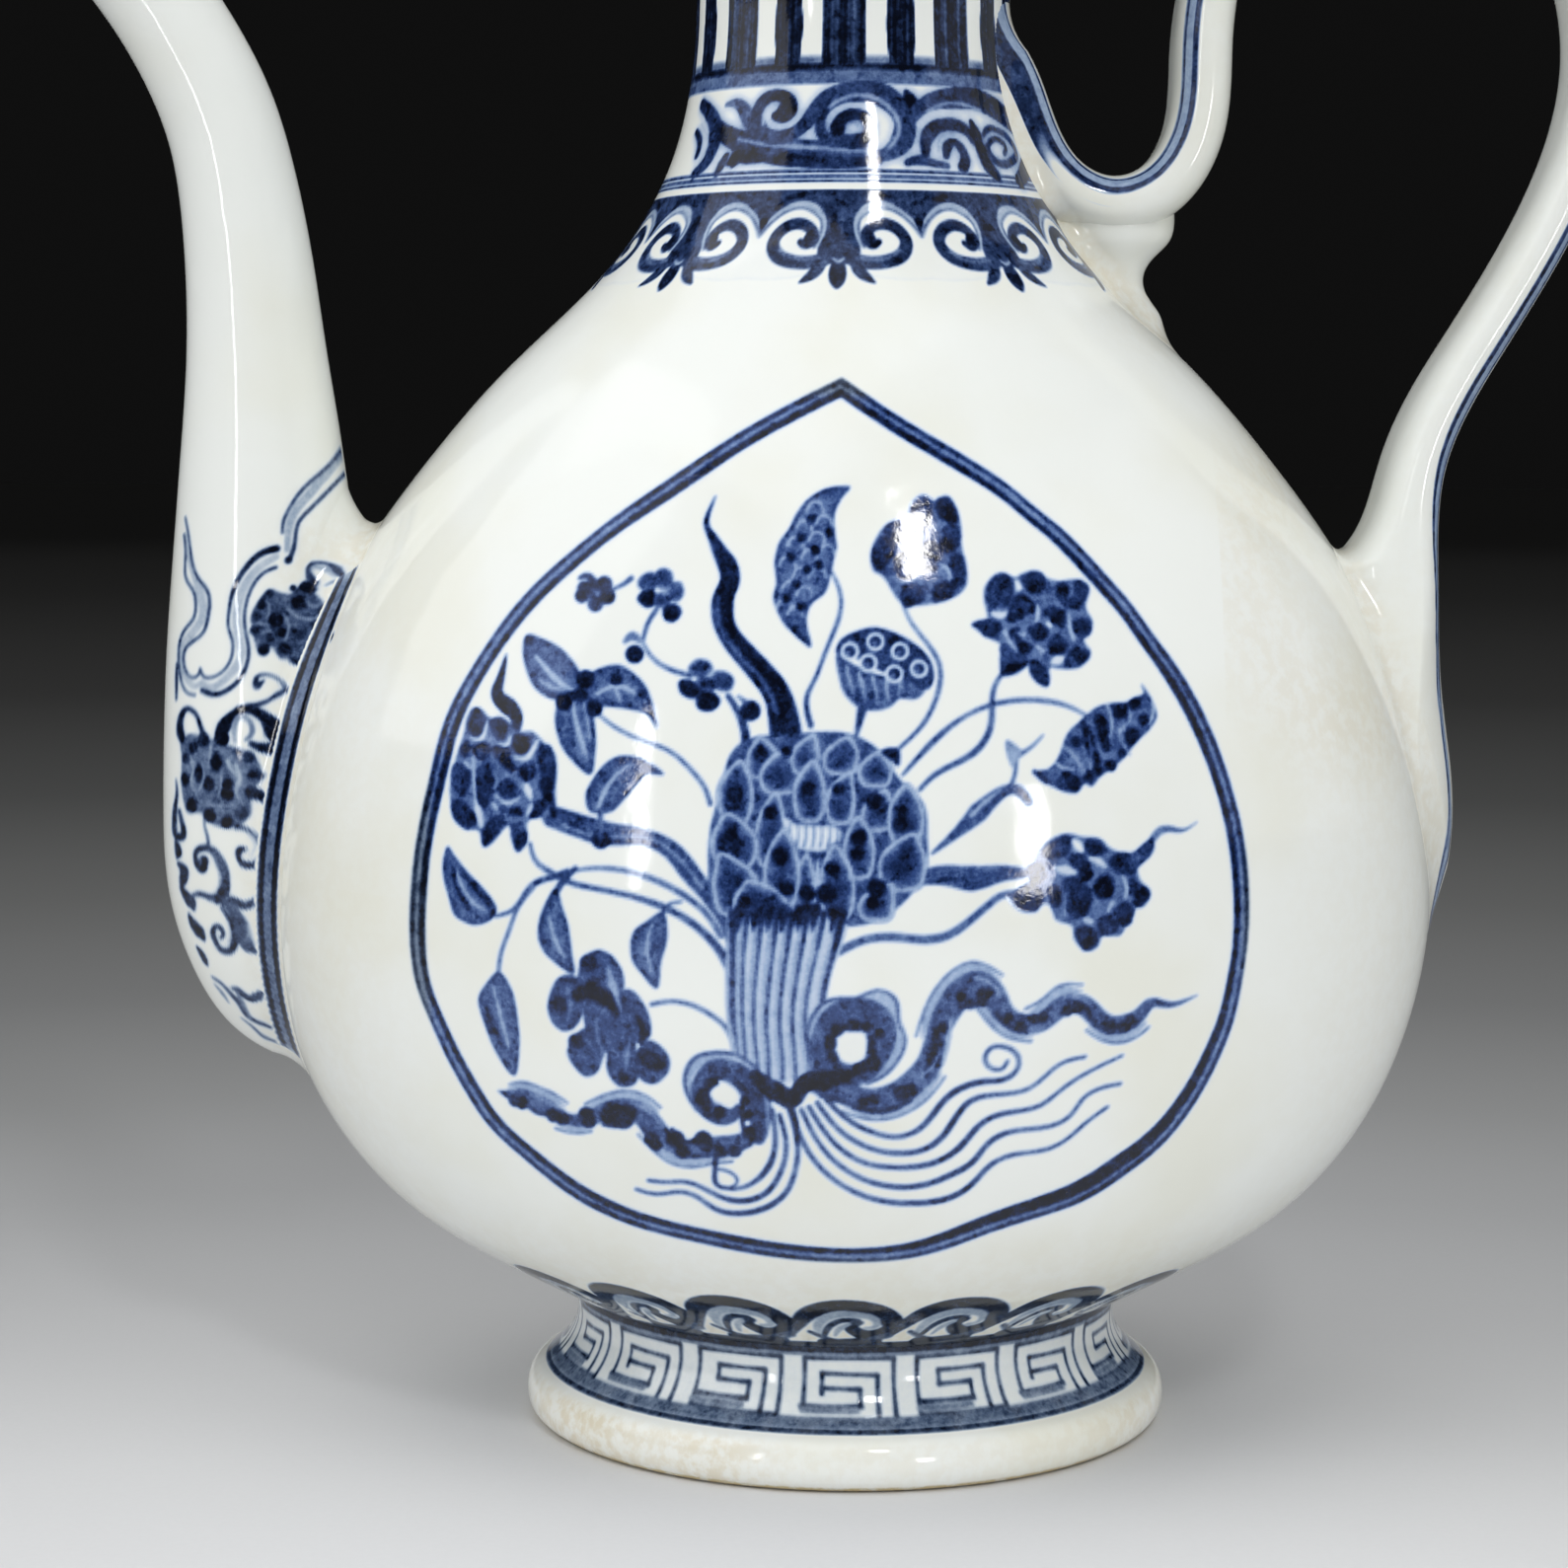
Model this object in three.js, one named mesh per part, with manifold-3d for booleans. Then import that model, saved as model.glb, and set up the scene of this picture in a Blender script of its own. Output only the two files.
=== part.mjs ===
import * as THREE from 'three';
import { mergeVertices } from 'three/addons/utils/BufferGeometryUtils.js';
import Module from 'manifold-3d';

const wasm = await Module();
wasm.setup();

// All sizes are in millimetres. Z points up, the spout points along -X, the handle along +X.
// The vessel's axis is first at X = 0, and the finished group is centred over the origin.

// Fired wall, gap between luted pieces, and rounding of the joints.
const wall = 4;
const jointGap = 0.3;

// Foot: a waisted collar on a thick rounded disc, hollow underneath.
const footHeight = 22.5;
const footWaistRadius = 47.8;
const footDiscRadius = 57;
const footDiscHeight = 9;
const footRecessRadius = 41;
const footRecessFlare = 2;
const footEdgeBevel = 2.2;
const collarTopRadius = 48.5;

// Body: round at the foot and the neck, flattened to an oval at the belly.
const floorThickness = 6;
const bellyRise = 72;
const bellyHalfWidth = 103;
const bellyHalfDepth = 73.2;
const seamRise = 3.5;
const shoulderRise = 128;
const shoulderJointDrop = 12.5;

// Neck and mouth.
const neckBaseRadius = 31;
const neckWaistRise = 27.5;
const neckWaistRadius = 27.2;
const neckFlareRise = 38;
const mouthJointRadius = 33;
const mouthRimDepth = 10;
const lipRadius = 37.5;
const lipRound = 1.6;

// Heights above the ground, each built on the one below.
const bellyHeight = footHeight + bellyRise;
const seamHeight = bellyHeight + seamRise;
const neckBaseHeight = bellyHeight + shoulderRise;
const shoulderJointHeight = neckBaseHeight - shoulderJointDrop;
const neckWaistHeight = neckBaseHeight + neckWaistRise;
const mouthJointHeight = neckWaistHeight + neckFlareRise;
const mouthHeight = mouthJointHeight + mouthRimDepth;

// Pouring hole in the lower body's wall, behind the spout and below the belly.
const pourHoleRadius = 7.5;
const pourHoleDrop = 10;

// Lid: a hollow dome that rests on the lip, with a locating ring and a bud knob.
const lidOverhang = 0.6;
const lidRise = 17;
const lidEdgeThickness = 2.6;
const lidEdgeRound = 0.8;
const lidWall = 3.6;
const lidSeatRadius = 7;
const lidSeatThickness = 4;
const ringClearance = 1;
const ringWall = 3;
const ringDepth = 8;
const knobHeight = 19;
const knobRadius = 8.5;
const knobStemRadius = 4.6;

// Spout: tip above and beyond the belly, tip radius, wall, and how far the bore runs past the tip.
const spoutRise = 189.2;
const spoutReach = 52;
const spoutTipRadius = 9;
const spoutWall = 3.2;
const boreOverrun = 6;

// Handle: loop beyond the belly and above the neck's base, and the strap's section.
const handleReach = 26;
const handleRise = 59;
const strapHalfWidth = 13;
const strapHalfThickness = 4.5;

// Handle post: the stub under the handle's lower turn, beyond the neck's base.
const postOffset = 13.5;
const postHeight = 30;
const postRadius = 10;

// Facet counts round each form.
const bodySides = 56;
const neckSides = 40;
const spoutSides = 24;
const strapSides = 14;
const knobSides = 24;

const mix = (a, b, t) => a + (b - a) * t;

// Outer wall from the foot to the belly, and from the belly to the neck's base.
// Each row is the share of the height and the share of the change in half width.
const underBelly = [[0, 0], [0.08, 0.22], [0.2, 0.505], [0.4, 0.765], [0.66, 0.93], [1, 1]];
const overBelly = [
  [0.172, 0.035], [0.328, 0.121], [0.469, 0.253], [0.594, 0.417],
  [0.703, 0.586], [0.805, 0.775], [0.886, 0.898], [1, 1]
];
const neckTaper = [[0.25, 0.5], [0.55, 0.85], [1, 1]];
const mouthFlare = [[0.5, 0.24], [0.8, 0.62], [1, 1]];

function wallPoints(bellyHalf) {
  const rows = underBelly.map(([up, out]) => [
    mix(footHeight, bellyHeight, up), mix(collarTopRadius, bellyHalf, out)
  ]);
  for (const [up, into] of overBelly) {
    rows.push([mix(bellyHeight, neckBaseHeight, up), mix(bellyHalf, neckBaseRadius, into)]);
  }
  for (const [up, into] of neckTaper) {
    rows.push([mix(neckBaseHeight, neckWaistHeight, up), mix(neckBaseRadius, neckWaistRadius, into)]);
  }
  for (const [up, out] of mouthFlare) {
    rows.push([mix(neckWaistHeight, mouthJointHeight, up), mix(neckWaistRadius, mouthJointRadius, out)]);
  }
  return rows;
}

// A smooth wall curve, sampled as height and half size, moved along its normal by an inset.
function wallCurve(bellyHalf, inset) {
  const curve = new THREE.SplineCurve(wallPoints(bellyHalf).map(([z, r]) => new THREE.Vector2(r, z)));
  const samples = [];
  const count = 320;
  for (let i = 0; i <= count; i += 1) {
    const p = curve.getPoint(i / count);
    const t = curve.getTangent(i / count);
    samples.push([p.y + t.x * inset, p.x - t.y * inset]);
  }
  return samples;
}

function lookUp(samples, z) {
  if (z <= samples[0][0]) {
    return samples[0][1];
  }
  for (let i = 1; i < samples.length; i += 1) {
    if (samples[i][0] >= z) {
      const [z0, r0] = samples[i - 1];
      const [z1, r1] = samples[i];
      return mix(r0, r1, (z - z0) / Math.max(z1 - z0, 1e-6));
    }
  }
  return samples[samples.length - 1][1];
}

function vesselSurface(inset) {
  const wide = wallCurve(bellyHalfWidth, inset);
  const deep = wallCurve(bellyHalfDepth, inset);
  return {
    halfWidth: (z) => lookUp(wide, z),
    ring: (z, sides) => ovalRing(0, z, lookUp(wide, z), lookUp(deep, z), sides)
  };
}

function ovalRing(x, z, halfWidth, halfDepth, sides) {
  const ring = [];
  for (let i = 0; i < sides; i += 1) {
    const angle = (i / sides) * Math.PI * 2;
    ring.push(new THREE.Vector3(x + Math.cos(angle) * halfWidth, Math.sin(angle) * halfDepth, z));
  }
  return ring;
}

// Joins rings of equal length into one closed body. A wrapped list closes on its first ring.
function ringSolid(rings, wrapped = false) {
  const sides = rings[0].length;
  const positions = rings.flat().flatMap((p) => [p.x, p.y, p.z]);
  const index = [];
  const spans = wrapped ? rings.length : rings.length - 1;
  for (let i = 0; i < spans; i += 1) {
    const low = i * sides;
    const high = ((i + 1) % rings.length) * sides;
    for (let j = 0; j < sides; j += 1) {
      const k = (j + 1) % sides;
      index.push(low + j, low + k, high + k, low + j, high + k, high + j);
    }
  }
  if (!wrapped) {
    const ends = [[rings[0], 0, true], [rings[rings.length - 1], (rings.length - 1) * sides, false]];
    for (const [ring, start, flip] of ends) {
      const centre = ring.reduce((sum, p) => sum.add(p), new THREE.Vector3()).divideScalar(sides);
      const hub = positions.length / 3;
      positions.push(centre.x, centre.y, centre.z);
      for (let j = 0; j < sides; j += 1) {
        const k = (j + 1) % sides;
        index.push(hub, start + (flip ? k : j), start + (flip ? j : k));
      }
    }
  }
  const geometry = new THREE.BufferGeometry();
  geometry.setAttribute('position', new THREE.Float32BufferAttribute(positions, 3));
  geometry.setIndex(index);
  return geometry;
}

// Turns a closed profile of radius and height about the vessel's axis. On the axis a quad is one triangle.
function turned(profile, sides) {
  const points = profile.map(([r, z]) => new THREE.Vector2(Math.max(r, 0), z));
  const geometry = new THREE.LatheGeometry(points, sides);
  geometry.rotateX(Math.PI / 2);
  geometry.deleteAttribute('normal');
  geometry.deleteAttribute('uv');
  const welded = mergeVertices(geometry, 1e-4);
  const index = [];
  for (let i = 0; i < welded.index.count; i += 3) {
    const corners = [0, 1, 2].map((k) => welded.index.getX(i + k));
    if (new Set(corners).size === 3) {
      index.push(...corners);
    }
  }
  welded.setIndex(index);
  return welded;
}

function arc(centreR, centreZ, radius, fromDegrees, toDegrees, steps) {
  const points = [];
  for (let i = 0; i <= steps; i += 1) {
    const angle = THREE.MathUtils.degToRad(mix(fromDegrees, toDegrees, i / steps));
    points.push([centreR + Math.cos(angle) * radius, centreZ + Math.sin(angle) * radius]);
  }
  return points;
}

function toManifold(geometry) {
  const welded = mergeVertices(geometry, 1e-4);
  return new wasm.Manifold(new wasm.Mesh({
    numProp: 3,
    vertProperties: new Float32Array(welded.attributes.position.array),
    triVerts: new Uint32Array(welded.index.array)
  }));
}

function fromManifold(solid) {
  const mesh = solid.getMesh();
  const geometry = new THREE.BufferGeometry();
  geometry.setAttribute('position', new THREE.Float32BufferAttribute(mesh.vertProperties, 3));
  geometry.setIndex(Array.from(mesh.triVerts));
  return geometry;
}

function heights(from, to, steps) {
  return Array.from({ length: steps + 1 }, (_, i) => mix(from, to, i / steps));
}

const outer = vesselSurface(0);
const inner = vesselSurface(wall);
const clearOfVessel = vesselSurface(-jointGap);

// Ring heights up the outside, closer together where the wall turns fast.
const lowerHeights = [0, 0.06, 0.14, 0.24, 0.36, 0.5, 0.65, 0.82, 1].map((t) => mix(footHeight, seamHeight, t));
const upperHeights = heights(seamHeight, shoulderJointHeight, 11);
const neckHeights = heights(shoulderJointHeight, mouthJointHeight, 9);

// The foot's outside: bevelled disc, rounded shoulder, and a concave collar up to the body.
function footRing() {
  const shoulder = footDiscHeight / 2.6;
  const collar = new THREE.SplineCurve([
    new THREE.Vector2(footDiscRadius - shoulder * 0.9, footDiscHeight),
    new THREE.Vector2(mix(footWaistRadius, footDiscRadius, 0.28), mix(footDiscHeight, footHeight, 0.26)),
    new THREE.Vector2(mix(footWaistRadius, collarTopRadius, 0.43), mix(footDiscHeight, footHeight, 0.62)),
    new THREE.Vector2(collarTopRadius, footHeight)
  ]).getPoints(6).map((p) => [p.x, p.y]);
  const profile = [
    [footDiscRadius - footEdgeBevel, 0],
    [footDiscRadius - footEdgeBevel * 0.3, footEdgeBevel * 0.5],
    [footDiscRadius, footEdgeBevel * 1.4],
    ...arc(footDiscRadius - shoulder, footDiscHeight - shoulder, shoulder, 20, 62, 2),
    ...collar,
    [footRecessRadius, footHeight],
    [footRecessRadius + footRecessFlare, footEdgeBevel * 0.5],
    [footRecessRadius + footRecessFlare + footEdgeBevel * 0.5, 0]
  ];
  return turned([...profile, profile[0]], bodySides);
}

function lowerBody() {
  const floorTop = footHeight + floorThickness;
  const rings = lowerHeights.map((z) => outer.ring(z, bodySides));
  for (const t of [1, 0.8, 0.6, 0.42, 0.27, 0.14, 0.05, 0]) {
    rings.push(inner.ring(mix(floorTop, seamHeight, t), bodySides));
  }
  const shell = toManifold(ringSolid(rings));
  const circle = new THREE.Shape();
  circle.absarc(0, 0, pourHoleRadius, 0, Math.PI * 2);
  const drill = new THREE.ExtrudeGeometry(circle, {
    depth: bellyHalfWidth, bevelEnabled: false, curveSegments: 12
  });
  drill.deleteAttribute('normal');
  drill.deleteAttribute('uv');
  drill.rotateY(-Math.PI / 2);
  drill.translate(-bellyHalfWidth * 0.5, 0, bellyHeight - pourHoleDrop);
  return fromManifold(shell.subtract(toManifold(drill)));
}

// An open ring of wall: the outside going up, then the inside coming down.
function wallBand(outsideHeights, innerSteps, sides) {
  const rings = outsideHeights.map((z) => outer.ring(z, sides));
  const top = outsideHeights[outsideHeights.length - 1];
  for (const z of heights(top, outsideHeights[0], innerSteps)) {
    rings.push(inner.ring(z, sides));
  }
  return ringSolid(rings, true);
}

// The lip swells outward and is rounded on its two top edges round a flat seat.
function mouthRim() {
  const start = outer.halfWidth(mouthJointHeight);
  const bore = inner.halfWidth(mouthJointHeight);
  const profile = [
    [start, mouthJointHeight],
    [mix(start, lipRadius, 0.45), mix(mouthJointHeight, mouthHeight, 0.4)],
    ...arc(lipRadius - lipRound, mouthHeight - lipRound, lipRound, -25, 90, 3),
    ...arc(ringSeatRadius() + ringClearance + lipRound, mouthHeight - lipRound, lipRound, 90, 180, 2),
    [bore, mouthHeight - ringDepth - ringClearance],
    [bore, mouthJointHeight]
  ];
  return turned([...profile, profile[0]], neckSides);
}

// Outside of the lid's locating ring: a clearance inside the mouth's bore.
function ringSeatRadius() {
  return inner.halfWidth(mouthJointHeight) - ringClearance;
}

function lidDome() {
  const edge = lipRadius + lidOverhang;
  const seatTop = mouthHeight + lidRise;
  const skin = new THREE.SplineCurve([
    new THREE.Vector2(edge, mouthHeight + lidEdgeThickness),
    new THREE.Vector2(edge * 0.82, mix(mouthHeight, seatTop, 0.5)),
    new THREE.Vector2(edge * 0.5, mix(mouthHeight, seatTop, 0.86)),
    new THREE.Vector2(lidSeatRadius, seatTop)
  ]).getPoints(6).map((p) => [p.x, p.y]);
  const hollowTop = seatTop - lidSeatThickness;
  const hollow = new THREE.SplineCurve([
    new THREE.Vector2(0, hollowTop),
    new THREE.Vector2(edge * 0.42, mix(mouthHeight, seatTop, 0.86) - lidWall),
    new THREE.Vector2(ringSeatRadius() - ringWall, mouthHeight + lidEdgeRound * 1.5)
  ]).getPoints(5).map((p) => [p.x, p.y]);
  return turned([
    [0, hollowTop],
    ...hollow.slice(1),
    [ringSeatRadius() - ringWall, mouthHeight],
    [edge - lidEdgeRound, mouthHeight],
    [edge, mouthHeight + lidEdgeRound],
    ...skin,
    [0, seatTop]
  ], neckSides);
}

function lidRing() {
  const outside = ringSeatRadius();
  const inside = outside - ringWall;
  const low = mouthHeight - ringDepth;
  const profile = [
    [inside, mouthHeight], [inside, low + lidEdgeRound], [inside + lidEdgeRound, low],
    [outside - lidEdgeRound, low], [outside, low + lidEdgeRound], [outside, mouthHeight]
  ];
  return turned([...profile, profile[0]], neckSides);
}

// A lotus-bud knob: stem, collar and a pointed bud.
function lidKnob() {
  const base = mouthHeight + lidRise;
  const shape = [
    [0, 0], [1, 0], [1.12, 0.05], [1.02, 0.13], [0.96, 0.2]
  ].map(([r, up]) => [r * knobStemRadius, base + up * knobHeight]);
  const bud = [[0.72, 0.26], [0.97, 0.38], [1, 0.5], [0.86, 0.68], [0.52, 0.84], [0.2, 0.95], [0, 1]];
  for (const [r, up] of bud) {
    shape.push([r * knobRadius, base + up * knobHeight]);
  }
  return turned(shape, knobSides);
}

// Spout stations: shares of the reach and the rise, lean of the cut in degrees, and the half
// height and half depth of the cut in tip radii. The first two lie inside the body's wall.
const spoutStations = [
  [-0.3654, 0.0529, 84, 4.889, 2], [-0.1962, 0.0687, 79.5, 5.022, 2.222],
  [-0.1077, 0.0862, 74.9, 4.944, 2.222], [-0.0288, 0.1184, 68.3, 4.533, 2.167],
  [0.0154, 0.1564, 61.9, 3.978, 2.111], [0.0269, 0.2019, 54.8, 3.289, 2.022],
  [0.0269, 0.2511, 44.7, 2.6, 1.911], [0.0212, 0.3118, 29.7, 2.022, 1.778],
  [0.0192, 0.4017, 15.9, 1.622, 1.6], [0.0269, 0.4942, 6, 1.356, 1.4],
  [0.0519, 0.5846, 7, 1.222, 1.267], [0.0942, 0.6607, 14, 1.133, 1.178],
  [0.1596, 0.7225, 24, 1.089, 1.122], [0.3231, 0.806, 33, 1.033, 1.067],
  [0.5385, 0.8811, 41, 1, 1.022], [0.7808, 0.9482, 47, 0.967, 0.989],
  [1, 1, 50, 1, 1.011]
].map(([reach, rise, lean, halfHeight, halfDepth]) => [
  reach * spoutReach, rise * spoutRise, lean, halfHeight * spoutTipRadius, halfDepth * spoutTipRadius
]);

function spoutRing([reach, rise, lean, halfHeight, halfDepth], inset, along) {
  const angle = THREE.MathUtils.degToRad(lean);
  const across = new THREE.Vector3(Math.cos(angle), 0, Math.sin(angle));
  const forward = new THREE.Vector3(-Math.sin(angle), 0, Math.cos(angle));
  const centre = new THREE.Vector3(-bellyHalfWidth - reach, 0, bellyHeight + rise);
  centre.addScaledVector(forward, along);
  const ring = [];
  for (let i = 0; i < spoutSides; i += 1) {
    const turn = (i / spoutSides) * Math.PI * 2;
    const point = centre.clone().addScaledVector(across, Math.cos(turn) * (halfHeight - inset));
    point.y = Math.sin(turn) * (halfDepth - inset);
    ring.push(point);
  }
  return ring;
}

function spout() {
  const last = spoutStations[spoutStations.length - 1];
  const skin = ringSolid(spoutStations.map((station) => spoutRing(station, 0, 0)));
  const boreRings = spoutStations.map((station) => spoutRing(station, spoutWall, 0));
  boreRings.push(spoutRing(last, spoutWall, boreOverrun));
  const bore = toManifold(ringSolid(boreRings));
  return fromManifold(toManifold(skin).subtract(bore).subtract(vesselBlock()));
}

// The vessel's outside grown by the joint gap, as one block that cuts what is luted to it.
function vesselBlock() {
  const levels = [...lowerHeights, ...upperHeights.slice(1), ...neckHeights.slice(1)];
  return toManifold(ringSolid(levels.map((z) => clearOfVessel.ring(z, bodySides))));
}

// Handle rows. Each row ends with the half thickness and the half widths of the inner and the
// outer face, as multiples of the strap's. Root rows begin with the share of the shoulder's rise
// above the belly, and neck rows with the share of the waist's rise above the neck's base, both
// with the distance outside the wall in half thicknesses. Loop rows begin with the share of the
// way from the neck's base to the loop's outer reach, and the share of the loop's rise.
const rootRows = [
  [-0.1094, -0.778, 0.667, 0.462, 0.231], [0, -0.333, 0.889, 1.154, 0.615],
  [0.125, 0.267, 0.889, 1.846, 0.846], [0.2656, 0.733, 0.889, 1.846, 0.885],
  [0.4219, 2.289, 0.978, 1.308, 0.923]
];
const loopRows = [
  [0.6969, -0.9034, 1.044, 1.038, 0.962], [0.7969, -0.5525, 1, 1, 0.962],
  [0.9204, -0.1932, 1, 1, 0.962], [1, 0.2627, 1, 1, 0.962], [0.9643, 0.6017, 1, 1, 0.962],
  [0.8265, 0.8898, 1, 1, 0.962], [0.6429, 1, 1, 1, 0.962], [0.4592, 0.8983, 1, 1, 0.962],
  [0.3418, 0.6441, 1.044, 1, 0.962], [0.302, 0.322, 1.111, 1, 0.962],
  [0.2898, 0.0678, 1.111, 1, 0.962], [0.2245, -0.1051, 1.111, 1, 0.962]
];
const neckRows = [
  [-0.3127, 2.133, 1.111, 0.962, 0.962], [-0.1745, 0.8, 1.067, 0.923, 0.923],
  [0.12, 0.311, 1, 0.885, 0.923], [0.4364, -0.022, 1, 0.846, 0.885],
  [0.7273, -0.8, 0.933, 0.769, 0.808], [0.9818, -1.778, 0.889, 0.692, 0.731]
];

function handleStations() {
  const rows = [];
  const addRow = (x, z, [thick, innerHalf, outerHalf]) => {
    rows.push([x, z, thick * strapHalfThickness, innerHalf * strapHalfWidth, outerHalf * strapHalfWidth]);
  };
  for (const [up, out, ...section] of rootRows) {
    const z = bellyHeight + up * shoulderRise;
    addRow(outer.halfWidth(z) + out * strapHalfThickness, z, section);
  }
  for (const [out, up, ...section] of loopRows) {
    addRow(mix(neckBaseRadius, bellyHalfWidth + handleReach, out), neckBaseHeight + up * handleRise, section);
  }
  for (const [up, out, ...section] of neckRows) {
    const z = neckBaseHeight + up * neckWaistRise;
    addRow(outer.halfWidth(z) + out * strapHalfThickness, z, section);
  }
  return rows;
}

// A D-shaped strap section: broad inner face, crowned outer face, rounded edges.
function strapRing(position, outward, halfThickness, innerHalf, outerHalf) {
  const ring = [];
  for (let i = 0; i < strapSides; i += 1) {
    const turn = (i / strapSides) * Math.PI * 2;
    const c = Math.cos(turn);
    const s = Math.sin(turn);
    const across = Math.sign(c) * Math.abs(c) ** 0.6 * mix(innerHalf, outerHalf, (1 + s) / 2);
    const lift = Math.sign(s) * Math.abs(s) ** 0.85 * halfThickness;
    ring.push(position.clone().addScaledVector(outward, lift).setY(-across));
  }
  return ring;
}

function handleStrap(grow, steps) {
  const rows = handleStations();
  const path = new THREE.CatmullRomCurve3(rows.map(([x, z]) => new THREE.Vector3(x, 0, z)), false, 'centripetal');
  const rings = [];
  for (let i = 0; i <= steps; i += 1) {
    const t = i / steps;
    const at = t * (rows.length - 1);
    const k = Math.min(Math.floor(at), rows.length - 2);
    const [halfThickness, innerHalf, outerHalf] = [2, 3, 4].map((c) => mix(rows[k][c], rows[k + 1][c], at - k));
    const along = path.getTangent(t);
    const outward = new THREE.Vector3(along.z, 0, -along.x);
    rings.push(strapRing(path.getPoint(t), outward, halfThickness + grow, innerHalf + grow, outerHalf + grow));
  }
  return ringSolid(rings);
}

const handleSteps = 58;

function handle() {
  return fromManifold(toManifold(handleStrap(0, handleSteps)).subtract(vesselBlock()));
}

// The post: a padded foot on the shoulder, a waist, and a head under the handle's turn.
// Each row is the share of the height below the turn, the shift outward, and the half width and
// half depth, in post radii.
const postRows = [
  [-1, 0.02, 0.9, 0.8], [-0.7833, 0.03, 1, 0.94], [-0.65, 0.03, 0.98, 0.92], [-0.5167, 0, 0.73, 0.7],
  [-0.42, 0, 0.66, 0.64], [-0.3167, 0.04, 0.76, 0.74], [-0.2, 0.12, 1, 0.96], [0, 0.14, 1.04, 1]
];

function handlePost() {
  const turnHeight = neckBaseHeight + neckRows[0][0] * neckWaistRise;
  const centre = neckBaseRadius + postOffset;
  const rings = postRows.map(([up, shift, halfWidth, halfDepth]) => ovalRing(
    centre + shift * postRadius, turnHeight + up * postHeight, halfWidth * postRadius, halfDepth * postRadius, 20
  ));
  const stub = toManifold(ringSolid(rings));
  const strap = toManifold(handleStrap(jointGap, handleSteps));
  return fromManifold(stub.subtract(vesselBlock()).subtract(strap));
}

const glaze = { color: 0xe6e9e6, roughness: 0.16, metalness: 0 };
const group = new THREE.Group();
group.name = 'porcelain_ewer';

function addPiece(name, geometry) {
  const mesh = new THREE.Mesh(geometry, new THREE.MeshStandardMaterial(glaze));
  mesh.name = name;
  group.add(mesh);
}

addPiece('foot_ring', footRing());
addPiece('lower_body', lowerBody());
addPiece('upper_body', wallBand(upperHeights, 8, bodySides));
addPiece('neck', wallBand(neckHeights, 5, neckSides));
addPiece('mouth_rim', mouthRim());
addPiece('spout', spout());
addPiece('handle', handle());
addPiece('handle_post', handlePost());
addPiece('lid', lidDome());
addPiece('lid_ring', lidRing());
addPiece('lid_knob', lidKnob());

// Centres the whole ewer over the origin, with its foot on the ground plane.
const span = new THREE.Box3().setFromObject(group);
const middle = (span.min.x + span.max.x) / 2;
for (const mesh of group.children) {
  mesh.geometry.translate(-middle, 0, 0);
  mesh.geometry.computeVertexNormals();
}

export default group;
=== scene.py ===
import math

import bpy
import numpy as np
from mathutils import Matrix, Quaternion, Vector


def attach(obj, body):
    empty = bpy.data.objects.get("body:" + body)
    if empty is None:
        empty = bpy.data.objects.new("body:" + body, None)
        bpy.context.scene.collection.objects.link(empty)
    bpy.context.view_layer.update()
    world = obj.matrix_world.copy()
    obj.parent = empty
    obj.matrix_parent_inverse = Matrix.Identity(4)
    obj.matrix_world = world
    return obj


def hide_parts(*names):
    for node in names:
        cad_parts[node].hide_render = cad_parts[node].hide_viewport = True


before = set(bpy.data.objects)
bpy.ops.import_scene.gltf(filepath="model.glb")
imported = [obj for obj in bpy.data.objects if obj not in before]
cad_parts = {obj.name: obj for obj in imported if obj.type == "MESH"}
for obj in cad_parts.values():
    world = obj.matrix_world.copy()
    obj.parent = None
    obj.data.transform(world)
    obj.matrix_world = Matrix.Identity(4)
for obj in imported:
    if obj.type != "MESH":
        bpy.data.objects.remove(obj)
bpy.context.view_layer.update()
coarse = 1
print("frame loaded")

# Lengths are in millimetres from the vessel's axis until a mesh is made.
millimetre = 0.001
axisX = 13.7

vessel = {
    "footTop": 22.5,
    "collarTopRadius": 48.5,
    "belly": 94.5,
    "seam": 98.0,
    "halfWidth": 103.0,
    "halfDepth": 73.2,
    "shoulderJoint": 210.0,
    "neckBase": 222.5,
    "neckBaseRadius": 31.0,
    "neckWaist": 250.0,
    "neckWaistRadius": 27.2,
    "mouthJoint": 288.0,
    "mouthJointRadius": 33.0,
    "mouthTop": 298.0,
    "lipRadius": 37.5,
    "lipRound": 1.6,
    "wall": 4.0,
    "floor": 6.0,
    "frontStep": 0.38,
    "backStep": 0.46,
    "sideStep": 0.8,
    # Degrees from the front that are meshed finely.
    "frontReach": 58.0,
    "neckStep": 0.34,
}
# The wall's outline as shares up and out, and of the neck's taper and flare.
underBelly = [(0, 0), (0.08, 0.22), (0.2, 0.505), (0.4, 0.765), (0.66, 0.93), (1, 1)]
overBelly = [(0.172, 0.035), (0.328, 0.121), (0.469, 0.253), (0.594, 0.417), (0.703, 0.586),
             (0.805, 0.775), (0.886, 0.898), (1, 1)]
neckTaper = [(0.25, 0.5), (0.55, 0.85), (1, 1)]
mouthFlare = [(0.5, 0.24), (0.8, 0.62), (1, 1)]




def mix(a, b, t):
    return a + (b - a) * t


def smooth(low, high, value):
    t = np.clip((value - low) / (high - low), 0.0, 1.0)
    return t * t * (3.0 - 2.0 * t)


def lengths(points):
    return np.concatenate([[0.0], np.cumsum(np.linalg.norm(np.diff(points, axis=0), axis=1))])


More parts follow.
